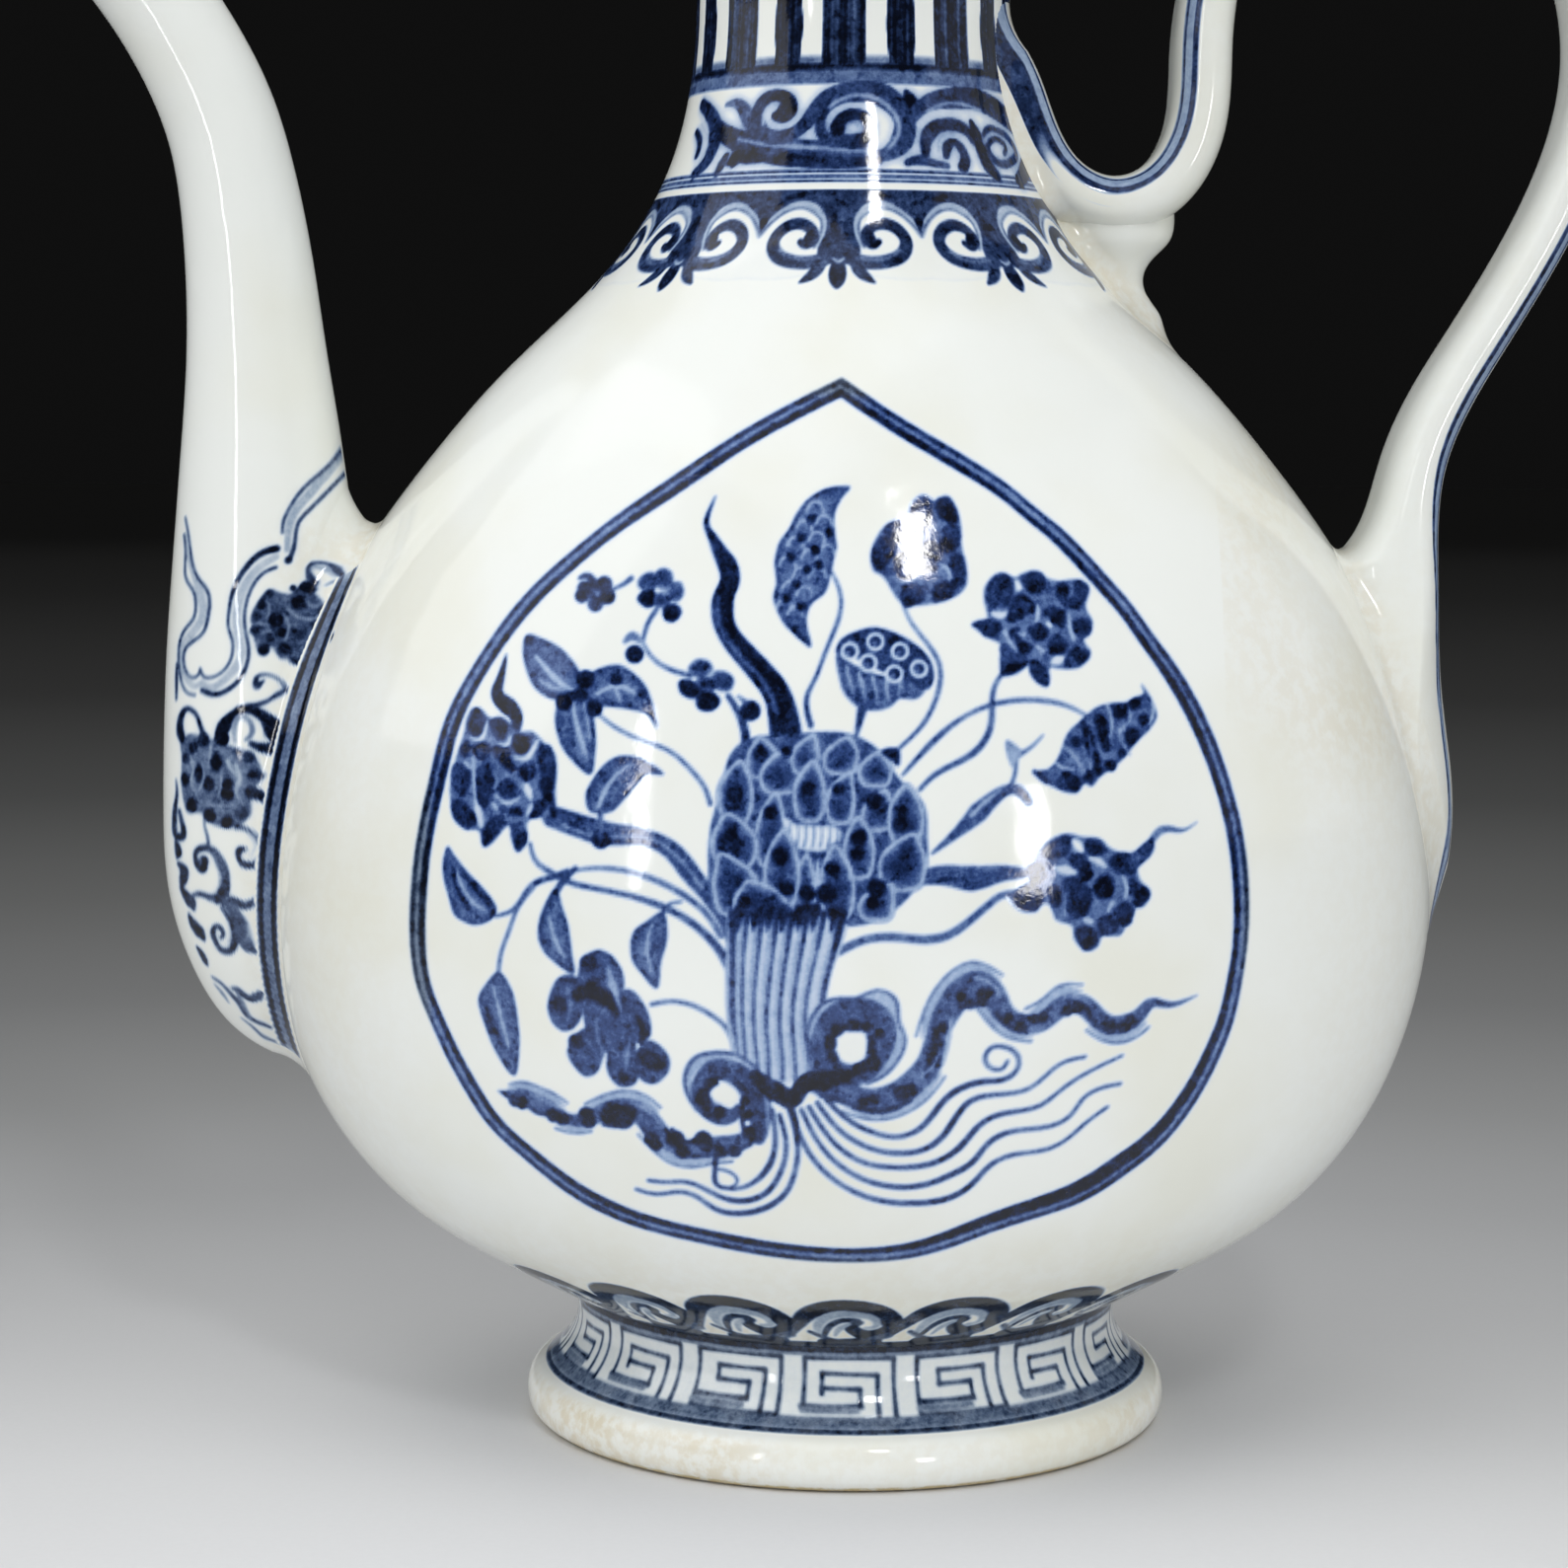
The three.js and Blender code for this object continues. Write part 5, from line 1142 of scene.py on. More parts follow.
# The scroll on the front of the neck, round from its middle.
scrollStrokes = [
    ((0.95, 0.85, 0.8), (2.2, 3.6, 2.1), (-339,2298, 65,-51, -6,-54, -19,-15)),
    (0.3, 0.6, (-326,2264, 38,-43, -11,-23)),
    (0.95, (1.3, 1.6, 1.3), (-338,2251, 24,-22, 2,-20)),
    ((0.9, 1, 0.8, 0.75, 0.7), (1.6, 2.5, 3.5, 4.2, 4.2, 4, 4.5, 2.1), (-316,2290, 32,-26, 81,-38, 205,-25, 38,-3)),
    (0.4, (0.55, 0.9, 0.7), (-213,2231, 57,-11, 63,-6, 114,-8)),
    ((1.05, 0.95, 0.9), (0.9, 2.4, 1.4, 2.1, 2.1, 2.1, 2.2, 1.8, 1.3), (-212,2186, 10,10, 30,2, 48,-5, 50,-5, 110,0)),
    (1.1, (1, 2.1, 1.3), (-221,2190, 12,13, 21,-1)),
    (0.95, (1.3, 1.9, 1.3), (-242,2174, 11,30)),
    ((0.6, 0.8, 0.85), (0.8, 2.9, 2.7, 2.4, 2.3), (-259,2292, 25,1, 22,-13, 15,-18, 18,-14, 22,-13, 54,4, 32,39)),
    ((0.85, 0.95, 1.05, 1.1), (2.6, 2.8, 2.3, 1.9, 3.2, 1.6), (-166,2241, -15,37, 10,16, 45,2, 8,-15, -8,-13, -18,0)),
    (0.3, 0.6, (-166,2254, -2,20, 12,13, 18,1)),
    (1.1, 2.6, (-129,2276)),
    ((0.85, 0.75, 0.8, 0.8, 0.75, 0.7), (2.6, 3.7, 3.6, 3.9, 4.2, 4.1, 4, 2.2), (-84,2255, 37,38, 61,14, 35,-7,
     37,-44, -19,-44, -19,-12)),
    (0.4, (0.6, 1, 0.6), (-53,2273, 20,16, 77,2, 31,-41, -7,-23, -13,-15)),
    ((0.9, 0.8, 0.85), (1.1, 2.1, 2.5, 1.8), (-50,2274, -9,-16, 1,-18, 17,-14, 46,2)),
    (0.3, 0.55, (-49,2251, 7,-12, 17,-6)),
    ((1.1, 1, 0.9), (2.3, 2, 2.1, 1.2), (-32,2246, 8,13, 39,4, 8,-15, -18,-29, -20,-3)),
    (1.1, 2.6, (-30,2244)),
    (0.5, (0.5, 0.7, 0.5), (-15,2249, 13,5, 8,-10)),
    (1.15, (1, 2.1, 2.4, 1), (92,2307, 18,-32)),
    ((0.75, 0.8, 0.95, 0.9, 0.9, 0.9, 1), (2.3, 3.9, 4.2, 4.1, 2.4), (101,2266, 18,16, 68,19, 46,2, 92,-22, 47,-23,
     18,-31, -32,-33, -46,-26)),
    (1.1, (1, 1.8, 1.5), (234,2308, 40,-6, 43,-13)),
    (0.4, (0.6, 0.7), (131,2277, 31,12, 90,-5)),
    ((0.9, 0.9, 0.85), (1.6, 2.7, 2.3, 2.3, 1.8), (117,2205, 3,19, 12,18, 51,13, 24,-9, 10,-14)),
    (0.4, 0.6, (141,2209, 3,16, 12,12, 20,4)),
    ((0.95, 0.9, 0.8), (1.3, 1.9, 1.2, 1.9, 2.1, 2.1), (154,2202, 7,17, 12,7, 18,-26, -9,-17)),
    (1.1, (1.1, 2.5, 2.3, 2.3, 2.7, 2.1), (221,2262, 7,-26, 13,-50, 11,-12)),
    ((0.8, 0.85, 0.9), (1, 1.3, 1.2, 1.5, 1.6, 1.5, 1.6, 1.5, 1.6, 1.3, 1.1, 1.2, 1.1), (244,2240, 17,13, 33,-1,
     32,-13, 12,-18, -25,-18, -58,1, -6,16, 13,13, 24,3, 17,-10, -10,-13)),
    (0.35, 0.5, (248,2230, 16,15, 31,-3, 22,-17, -21,-18, -26,0)),
    ((0.8, 0.7), (1.3, 1.9, 1.5, 1.3), (84,2188, 21,5, 21,-4, 26,-4)),
]


# The panel's frame is two lines with a wash between; the inner line is pressed hardest low on the right.
panelFrame = {
    "wash": {"out": (0.1, 0.0), "width": (1.9, 0.6), "drift": 0.0, "tone": 0.5},
    "outer": {"out": (1.0, 0.2), "width": (0.66, 0.0), "drift": 1.0, "tone": 0.98},
    "inner": {"out": (-0.72, -0.3), "width": (0.98, 1.15), "drift": 1.0, "tone": 1.08},
    "points": 300,
    "apexStretch": 1.17,
    "centre": (-2.4, 98.0),
    "heavyTurn": 42.0,
    "heavySpread": 26.0,
    "run": (1.15, 0.2, 3.0),
}


def panelSheet():
    sheet = makeSheet(-78.0, 34.0, 70.0, 190.0)
    f = panelFrame
    line = natural(panelOutline, f["points"])
    way = np.gradient(line, axis=0)
    way /= np.linalg.norm(way, axis=1, keepdims=True)
    out = np.stack([way[:, 1], -way[:, 0]], -1)
    turn = np.degrees(np.arctan2(line[:, 0] - f["centre"][0], f["centre"][1] - line[:, 1]))
    heavy = np.exp(-((turn - f["heavyTurn"]) / f["heavySpread"]) ** 2)
    along = np.arange(f["points"])
    drift = 0.14 * np.sin(along * 0.11) + 0.08 * np.sin(along * 0.31 + 1.0)
    for name in ("wash", "outer", "inner"):
        one = f[name]
        offset = one["out"][0] + one["out"][1] * heavy
        place = line + out * offset[:, None]
        place[0] = place[-1] = line[0] + (0.0, f["apexStretch"] * offset[0])
        width = one["width"][0] + one["width"][1] * heavy + one["drift"] * drift
        rows = np.column_stack([place, width])
        brush(sheet, one["tone"], np.concatenate([rows[::3], rows[-1:]]))
    paintRows(sheet, panelStrokes)
    return fired(sheet, *f["run"])


# A repeat of the ruyi band: half a head, from the drop at 0 to the cusp.
lappetSize = 15.0
lappetArc = [(15.6, 9.6), (15.0, 10.0), (14.0, 11.6), (12.3, 13.4), (9.8, 14.8), (6.9, 15.1), (4.3, 14.2), (2.9, 12.2),
             (2.7, 9.8), (3.6, 7.4)]
lappetCurl = [(0, 6.2, 2.6), (2.2, 4.9, 2.4), (5.1, 4.2, 2.3), (8.3, 4.5, 2.3), (10.9, 5.8, 2.3), (11.9, 8.0, 2.2),
              (10.7, 10.1, 2.1), (8.2, 11.1, 2.0), (5.7, 10.4, 1.9), (4.7, 8.8, 1.9), (5.8, 7.5, 1.8), (7.0, 7.9, 1.0)]
# Tones and points on one side of a head, painted again as its mirror.
lappetSide = [
    ((0.85, 0.8, 0.85, 0.9, 0.95, 0.85, 1.0), lappetCurl),
    ((0.6, 0.55), [(3.2, 5.1, 0.7), (5.6, 4.7, 0.7), (8.4, 5.1, 0.7), (10.4, 6.4, 0.7)]),
    (1.1, [(5.6, 8.4, 1.7), (5.3, 9.1, 1.6)]),
    ((1.08, 1.0), [(14.9, 11.6, 1.4), (15.1, 9.9, 0.5)]),
    ((0.75, 1.05), [(2.2, 4.6, 0.8), (3.4, 2.8, 1.9), (4.8, 1.4, 1.2), (5.8, 0.7, 0.3)]),
    (1.08, [(11.0, 15.6, 0.8), (8.0, 16.2, 1.0)]),
]
lappetMiddle = [
    ((0.8, 1.08, 1.0), [(0, 5.4, 1.4), (0, 3.2, 2.5), (0, 1.4, 2.5), (0, 0.0, 0.9)]),
    (0.3, [(-0.9, 4.9, 0.5), (0, 4.4, 0.6), (0.9, 4.9, 0.5)]),
    ((1.05, 0.9), [(-1.2, 12.5, 1.3), (-0.8, 9.5, 1.6), (0.2, 7.0, 1.2)]),
]


def lappetSheet():
    sheet = makeSheet(-lappetSize, -1.0, lappetSize, 18.0)
    flood(sheet, "ground", [(-16, 5.2), (16, 5.2), (16, 17.0), (-16, 17.0)], True)
    for side in (-1.0, 1.0):
        arch = [(side * x, z) for x, z in lappetArc[1:] + [(5.0, 2.0), (16.5, 2.0)]]
        flood(sheet, "white", arch)
        inner = [(side * (x + (0.55 if x < 4.5 else 0.0)), z - (0.75 if x > 4.0 else 0.0)) for x, z in lappetArc[1:]]
        brush(sheet, (0.3, 0.28), inner, 1.3)
        brush(sheet, (0.66, 0.6), [(x + side * 0.25, z - 0.55) for x, z in inner], 0.36)
        for tones, points in lappetSide:
            brush(sheet, tones, [(side * x, z, w) for x, z, w in points])
    for tones, points in lappetMiddle:
        brush(sheet, tones, points)
    return fired(sheet, 0.8)


# A repeat of the wave band over the foot, drawn from the base line up.
waveSize = 15.0
waveStrokes = [
    ((0.85, 1.0, 1.05, 1.0, 1.0, 1.08, 0.9),
     [(-1.2, 3.2, 0.8), (0.2, 5.6, 1.7), (2.4, 8.6, 2.2), (5.6, 10.2, 2.1), (9.2, 9.8, 2.2), (12.4, 7.4, 2.4),
      (13.4, 4.6, 2.4), (11.4, 3.0, 2.1), (8.8, 3.4, 1.8), (7.6, 5.0, 1.5), (8.8, 6.0, 0.8)]),
    ((0.3, 0.36, 0.3), [(2.6, 3.4, 0.8), (3.2, 6.0, 1.3), (5.6, 8.0, 1.3), (8.8, 7.9, 1.2), (11.0, 6.4, 1.0),
                        (11.0, 5.0, 0.8), (9.6, 4.7, 0.6)]),
    ((0.9, 0.85, 0.9), [(3.6, 3.0, 0.7), (4.6, 5.2, 0.9), (6.4, 6.6, 0.9), (8.4, 6.6, 0.7)]),
    ((0.35, 0.3), [(5.2, 2.8, 0.5), (6.0, 4.6, 0.9), (7.2, 5.6, 0.7)]),
    ((0.75, 0.7), [(1.4, 3.6, 0.6), (4.4, 1.7, 0.8), (9.0, 1.2, 0.8), (13.6, 2.6, 0.8)]),
    ((0.8, 0.7), [(6.0, 1.6, 0.5), (9.6, 2.0, 0.6), (13.4, 3.4, 0.5)]),
]
waveWeight = 1.22


def waveSheet():
    sheet = makeSheet(0.0, -1.0, waveSize, 12.5)
    for shift in (-waveSize, 0.0, waveSize):
        for tones, points in waveStrokes:
            brush(sheet, tones, [(x + shift, z, waveWeight * w) for x, z, w in points])
    brush(sheet, 1.0, [(-1.0, -0.2), (7.0, -0.2), (16.0, -0.2)], 2.4)
    brush(sheet, (1.05, 0.9), [(3.0, 1.0, 1.6), (8.0, 0.7, 2.2), (12.0, 1.2, 1.2)])
    return fired(sheet, 0.8)


# A repeat of the key fret: two units side by side, in shares of a unit across and of the band up.
fretWidth, fretHeight = 17.8, 9.3
fretUnits = [
    [[(0.1, 0.2), (0.1, 1.0), (0.888, 1.0), (0.888, 0.04)],
     [(0.744, 0.04), (0.744, 0.7), (0.256, 0.73), (0.256, 0.39)],
     [(0.256, 0.48), (0.59, 0.46), (0.59, 0.2)], [(0.08, 0.19), (0.6, 0.19)]],
    [[(0.1, 0.0), (0.1, 1.0), (0.888, 1.0), (0.888, 0.04), (0.1, 0.04)],
     [(0.1, 0.24), (0.6, 0.24), (0.6, 0.5), (0.3, 0.5), (0.3, 0.74), (0.74, 0.74), (0.74, 0.08)]],
]


def fretSheet():
    sheet = makeSheet(0.0, -2.0, 2 * fretWidth, 12.0)
    sheet["ink"][:] = 0.07
    for number, lines in enumerate(fretUnits):
        start = number * fretWidth
        for line in lines:
            for (a, b), (c, d) in zip(line, line[1:]):
                ends = np.array([(a, b), ((a + c) / 2, (b + d) / 2), (c, d)]) * (fretWidth, fretHeight)
                brush(sheet, (0.84, 0.76, 0.88), ends + (start, 0.0), (0.72, 0.55, 0.72))
        brush(sheet, (0.55, 0.5), [(start + 0.1 * fretWidth, 1.3), (start + 0.56 * fretWidth, 1.3)], 1.0)
    brush(sheet, 0.56, [(-1.0, 10.3), (2 * fretWidth + 1.0, 10.3)], 1.1)
    brush(sheet, 0.6, [(-1.0, -0.4), (2 * fretWidth + 1.0, -0.4)], 1.5)
    return fired(sheet, 0.8)


# Millimetres to a degree round the neck.
neckDegree = 0.54


def scrollSheet():
    sheet = makeSheet(-100.0 * neckDegree, 214.0, 100.0 * neckDegree, 236.0)
    paintRows(sheet, scrollStrokes)
    return fired(sheet, 0.9, 0.62, 5.0)


def spoutSheet():
    sheet = makeSheet(-142.0, 66.0, -74.0, 186.0)
    paintRows(sheet, spoutStrokes)
    return fired(sheet, 1.0, 0.25, 3.5)


panel, lappets, waves, fret = panelSheet(), lappetSheet(), waveSheet(), fretSheet()
scroll, spoutPicture = scrollSheet(), spoutSheet()
print("painting laid out")


def degreesOf(turn):
    return np.degrees(np.mod(turn + math.pi, 2 * math.pi) - math.pi)


# Degrees from the middle of the nearest of some repeats round the axis.
def degreesRound(turn, repeats, offset=0.0):
    size = 360.0 / repeats
    return np.mod(np.degrees(turn) - offset + size / 2, size) - size / 2


def band(value, centre, width, soft=0.18):
    return np.clip((width / 2 - np.abs(value - centre)) / soft + 0.5, 0.0, 1.0)


# Lines given by tone, middle and width.
def ruled(value, rows, soft=0.18):
    return sum(tone * band(value, middle, width, soft) for tone, middle, width in rows)


# Heads of the ruyi band round the axis, from their tips at height 0.
def headsRound(turn, repeats, offset, rise):
    across = degreesRound(turn, repeats, offset) / (180.0 / repeats) * lappetSize
    return readSheet(lappets, np.clip(across, 0.05 - lappetSize, lappetSize - 0.05), rise)


def wavesRound(turn, repeats, rise, start=0.0):
    return readSheet(waves, np.degrees(turn) * (repeats * waveSize / 360.0) + start, rise, waveSize)


# Painting round the wall: heights over the table, tones, and turns in degrees from the front.
wallPainting = {
    "panelTop": 190.0,
    "wavesCount": 21,
    "wavesLow": 22.9,
    "wavesStretch": 1.15,
    "headsCount": 9,
    "headsTurn": -3.8,
    "headsLow": 198.0,
    "headsHigh": 213.9,
    "headsStretch": 16.6 / 15.7,
    "neckLines": [(0.62, 216.4, 0.9), (0.82, 217.3, 0.5), (0.8, 215.6, 0.45), (0.8, 213.9, 0.5)],
    "mouthLines": [(0.85, 282.2, 0.9), (0.8, 285.4, 0.8), (0.5, 283.8, 1.6)],
    "leaves": {"count": 9, "turn": 16.0, "low": (234.6, 235.4), "high": (280.4, 279.9), "tip": 277.5, "taper": 24.0,
               "half": 12.6, "core": 0.42, "tone": 1.06, "edge": 0.35},
    "ring": {"tone": 0.6, "height": 233.6, "width": 3.4, "bloomTone": 0.42, "bloomHeight": 235.5, "bloomWidth": 2.2},
    # Dull over the bands and the neck, clear blue inside the panel.
    "dullHeights": [190.0, 214.0, 216.0, 232.0, 236.0],
    "dullShares": [0.55, 0.5, 0.3, 0.3, 0.6],
    "panelBox": (-70.0, 64.0, 40.0, 181.0),
    "panelDull": 0.12,
}
# Warm brown darkening of the wall, with painted shade round the handle's root, under the handle's stub and towards the
# sides.
wallStainsAndShade = {
    # Darker and warmer towards the bottom of the wall.
    # Amount and the heights between which it comes in.
    "foot": [(0.2, 36.0, 24.0), (0.12, 52.0, 30.0)],
    # Painted shade round the handle's root, under the stub and towards the sides.
    "handleRoot": {"amount": 0.16, "x": 88.0, "z": 150.0, "radius": 24.0, "spread": 9.0},
    "stub": {"amount": 0.16, "x": 47.0, "z": 193.0, "spread": 160.0},
    "sides": (0.08, 58.0, 92.0),
}


def leafPaint(turn, z):
    f = wallPainting["leaves"]
    degrees = np.degrees(turn)
    away = np.abs(degreesRound(turn, f["count"], f["turn"]))
    reach = f["half"] * np.sqrt(np.clip((f["tip"] - z) / f["taper"], 0.0, 1.0))
    core = np.maximum(reach * f["core"] - 0.4, 0.0) + 0.35 * np.sin(z * 0.5)
    inside = np.clip((core - away) / f["edge"] + 0.5, 0.0, 1.0)
    outside = np.clip((away - reach) / f["edge"] + 0.5, 0.0, 1.0)
    streak = 1.0 + 0.1 * np.sin(degrees * 3.3 + 0.6 * np.sin(z * 0.4)) + 0.08 * np.sin(degrees * 7.9 + 1.3)
    ink = (inside * f["tone"] + outside * (f["tone"] - 0.3 * band(away, 16.8, 2.4, 1.5))) * streak
    return ink * smooth(*f["low"], z) * smooth(*f["high"], z)


# Darker and warmer towards the bottom, with painted shade round the handle's root, under the stub and towards the
# sides.
def wallStainAndShade(points, z):
    x, y = points[..., 0], points[..., 1]
    s = wallStainsAndShade
    stain = sum(amount * smooth(low, high, z) for amount, low, high in s["foot"])
    root, stub = s["handleRoot"], s["stub"]
    joint = np.abs(np.hypot(x - root["x"], z - root["z"]) - root["radius"])
    stain = stain + root["amount"] * np.exp(-(joint / root["spread"]) ** 2) * (x > 60)
    far = (x - stub["x"]) ** 2 + (z - stub["z"]) ** 2 + y ** 2 * 0.3
    stain = stain + stub["amount"] * np.exp(-far / stub["spread"])
    amount, low, high = s["sides"]
    return stain + amount * smooth(low, high, np.abs(x))


def wallPaint(turn, z, points):
    p = wallPainting
    # The back shows the same panel, turned half round.
    x = points[..., 0] * np.where(points[..., 1] < 0, 1.0, -1.0)
    ink = readSheet(panel, x, z) * (z < p["panelTop"])
    ink = np.maximum(ink, wavesRound(turn, p["wavesCount"], p["wavesStretch"] * (z - p["wavesLow"]), waveSize / 2))
    heads = headsRound(turn, p["headsCount"], p["headsTurn"], (z - p["headsLow"]) * p["headsStretch"])
    ink = np.maximum(ink, heads * (z < p["headsHigh"]))
    ink = np.maximum(ink, ruled(z, p["neckLines"]))
    degrees = degreesOf(turn)
    for place in (degrees, np.where(degrees < 0, degrees + 180.0, degrees - 180.0)):
        ink = np.maximum(ink, readSheet(scroll, place * neckDegree, z))
    # Stiff leaves stand on a blue ring.
    ink = np.maximum(ink, leafPaint(turn, z))
    ring, leaves = p["ring"], p["leaves"]
    leaf = degreesRound(turn, leaves["count"], leaves["turn"])
    bloom = ring["bloomTone"] + 0.1 * (1.0 + np.cos(np.radians(leaf * 9.0)))
    bloom = bloom * band(z, ring["bloomHeight"], ring["bloomWidth"], 0.9)
    ink = np.maximum(ink, ring["tone"] * band(z, ring["height"], ring["width"], 0.4) + bloom)
    ink = np.maximum(ink, ruled(z, p["mouthLines"]))
    left, right, low, high = p["panelBox"]
    inside = smooth(0.0, 2.0, np.minimum(np.minimum(x - left, right - x), np.minimum(z - low, high - z)))
    dull = 1.0 - (1.0 - p["panelDull"]) * inside
    dull = np.where(z > p["panelTop"], np.interp(z, p["dullHeights"], p["dullShares"]), dull)
    return ink, wallStainAndShade(points, z), dull


# Heights up the wall at equal steps along its slope.
def wallHeights(low, high, step):
    inside = (wideWall[:, 1] >= low - 0.5) & (wideWall[:, 1] <= high + 0.5)
    z = wideWall[inside, 1]
    length = lengths(np.stack([0.5 * (halfWidth(z) + halfDepth(z)), z], -1))
    first, last = np.interp([low, high], z, length)
    count = max(int(math.ceil((last - first) / step)), 1)
    heights = np.interp(np.linspace(first, last, count + 1), length, z)
    heights[0], heights[-1] = low, high
    return heights


# Turns over half the body, fine in front and wider at the sides.
def turnSteps(step):
    radius = vessel["halfWidth"]
    fine = math.radians(vessel["frontReach"])
    side = np.linspace(-math.pi / 2, -fine, int((math.pi / 2 - fine) * radius / (vessel["sideStep"] * coarse)) + 1)
    middle = np.linspace(-fine, fine, int(2.0 * fine * radius / step) + 1)
    return np.concatenate([side, middle[1:-1], -side[::-1]])


def halfShell(name, node, low, high, middle, closedBelow=False):
    v = vessel
    step = coarse * (v["frontStep"] if middle == 0.0 else v["backStep"])
    turn = turnSteps(step) + middle
    points, turns, z = wallGrid(wallHeights(low, high, step), turn)
    ink, stain, dull = wallPaint(turns, z, points)
    few = turn[::12] if (len(turn) - 1) % 12 == 0 else np.append(turn[::12], turn[-1])
    levels = np.linspace(high, low + (v["floor"] if closedBelow else 0.0), 26)
    inner, _, _ = wallGrid(levels, few, v["wall"])
    cuts = [np.stack([onWall(turn[end], levels), inner[:, end]]) for end in (0, -1)]
    foot = onWall(few, low)
    under = np.stack([foot, inner[-1]])
    rimTop = np.stack([onWall(few, high), inner[0]])
    if closedBelow:
        floor = [inner[-1] * (share, share, 1.0) for share in (0.97, 0.9, 0.6, 0.3, 0.0)]
        inner = np.concatenate([inner, floor])
        under = np.stack([foot * (share, share, 1.0) for share in (1.0, 0.7, 0.35, 0.0)])
    makePiece(name, node, [
        patch(points, uv=(0.0, 0.0, 1.0, 0.9), ink=ink, stain=stain, dull=dull),
        patch(inner, uv=(0.0, 0.915, 0.6, 1.0)),
        patch(rimTop, uv=(0.62, 0.915, 0.72, 1.0)),
        patch(under, flip=True, uv=(0.74, 0.915, 0.84, 1.0)),
        patch(cuts[0], uv=(0.86, 0.915, 0.92, 1.0)),
        patch(cuts[1], flip=True, uv=(0.94, 0.915, 1.0, 1.0)),
    ])


def neckPiece():
    v = vessel
    step = coarse * v["neckStep"]
    columns = int(2.0 * math.pi * v["neckBaseRadius"] / step)
    turn = np.arange(columns) * (2.0 * math.pi / columns) + math.pi / 2
    points, turns, z = wallGrid(wallHeights(v["shoulderJoint"], v["mouthJoint"], step), turn)
    ink, stain, dull = wallPaint(turns, z, points)
    few = turn[::6]
    inner, _, _ = wallGrid(np.linspace(v["mouthJoint"], v["shoulderJoint"], 40), few, v["wall"])
    makePiece("neck_wall", "neck", [
        patch(points, True, uv=(0.0, 0.0, 1.0, 0.8), ink=ink, stain=stain, dull=dull),
        patch(inner, True, uv=(0.0, 0.82, 0.8, 1.0)),
        patch(np.stack([onWall(few, v["shoulderJoint"]), inner[-1]]), True, True, uv=(0.82, 0.82, 0.9, 1.0)),
        patch(np.stack([onWall(few, v["mouthJoint"]), inner[0]]), True, uv=(0.92, 0.82, 1.0, 1.0)),
    ])


# A profile of radius and height turned round the axis.
def turned(profile, columns, step):
    line = spaced(np.array(profile, float), step)
    turn = np.arange(columns) * (2.0 * math.pi / columns)
    r, z = line[:, :1], line[:, 1:]
    points = np.stack([r * np.sin(turn), -r * np.cos(turn), z + 0.0 * turn], -1)
    return points, turn + 0.0 * r, z + 0.0 * turn, r + 0.0 * turn


def arc(centreR, centreZ, radius, start, end, count):
    a = np.radians(np.linspace(start, end, count + 1))
    return np.stack([centreR + radius * np.cos(a), centreZ + radius * np.sin(a)], -1)


mouth = {
    "step": 0.35,
    "columns": 520,
    "flareStart": 3.4,
    "wavesCount": 15,
    "wavesLow": 289.2,
    "wavesStretch": 1.45,
    "wavesHigh": 296.3,
    "innerRadius": 32.5,
    "line": [(0.8, 296.9, 0.7)],
    "lineRadius": 34.0,
}


def mouthPiece():
    v, m = vessel, mouth
    start, bore, lip = v["mouthJointRadius"], v["mouthJointRadius"] - v["wall"], v["lipRound"]
    side = natural([(start, v["mouthJoint"]), (mix(start, v["lipRadius"], 0.32), v["mouthJoint"] + m["flareStart"]),
                    (mix(start, v["lipRadius"], 0.9), v["mouthTop"] - 3.0), (v["lipRadius"], v["mouthTop"] - 1.9)], 60)
    profile = np.vstack([side, arc(v["lipRadius"] - lip, v["mouthTop"] - lip, lip, 0, 90, 12),
                         arc(bore + lip, v["mouthTop"] - lip, lip, 90, 180, 12), [(bore, v["mouthJoint"])]])
    points, turn, z, radius = turned(profile, m["columns"] // coarse, m["step"] * coarse)
    ink = wavesRound(turn, m["wavesCount"], m["wavesStretch"] * (z - m["wavesLow"]))
    ink = ink * ((z < m["wavesHigh"]) & (radius > m["innerRadius"]))
    ink = np.maximum(ink, ruled(z, m["line"]) * (radius > m["lineRadius"]))
    makePiece("mouth_lip", "mouth_rim", [patch(points, True, ink=ink)])


foot = {
    "waistRadius": 47.8,
    "discRadius": 57.0,
    "discHeight": 9.0,
    "edgeBevel": 2.2,
    "recessRadius": 41.0,
    "recessFlare": 2.0,
    "step": 0.34,
    "fretCount": 16,
    "fretLow": 11.1,
    "fretHigh": 20.6,
    "lines": [(0.98, 22.4, 1.5), (0.84, 9.55, 0.75)],
    "paintedRadius": 46.0,
    # Patches of warm stain on the disc: amount, degrees from the front, spread.
    "stains": [(0.42, -55.0, 20.0), (0.3, -24.0, 9.0), (0.2, 62.0, 16.0), (0.5, 150.0, 24.0)],
    "stainAll": 0.14,
    "bareEdge": 1.6,
}


def footPaint(turn, z, radius):
    f = foot
    painted = (radius > f["paintedRadius"]) & (z > 8.6)
    share = (z - f["fretLow"]) / (f["fretHigh"] - f["fretLow"])
    across = np.degrees(turn) * (f["fretCount"] * fretWidth / 360.0) + fretWidth / 2
    ink = readSheet(fret, across, share * fretHeight, 2 * fretWidth) * smooth(9.0, 9.4, z)
    ink = np.maximum(ink, ruled(z, f["lines"], 0.3)) * painted
    degrees = degreesOf(turn)
    patches = sum(amount * np.exp(-((degrees - place) / spread) ** 2) for amount, place, spread in f["stains"])
    stain = (radius > 50.0) * smooth(9.2, 7.0, z) * (f["stainAll"] + patches)
    stain = stain + f["bareEdge"] * smooth(1.1, 0.3, z) * (radius > f["recessRadius"])
    # The underside is bare.
    return ink, np.where(radius < 44.5, 0.35 + 0.4 * smooth(20.0, 2.0, z), stain)


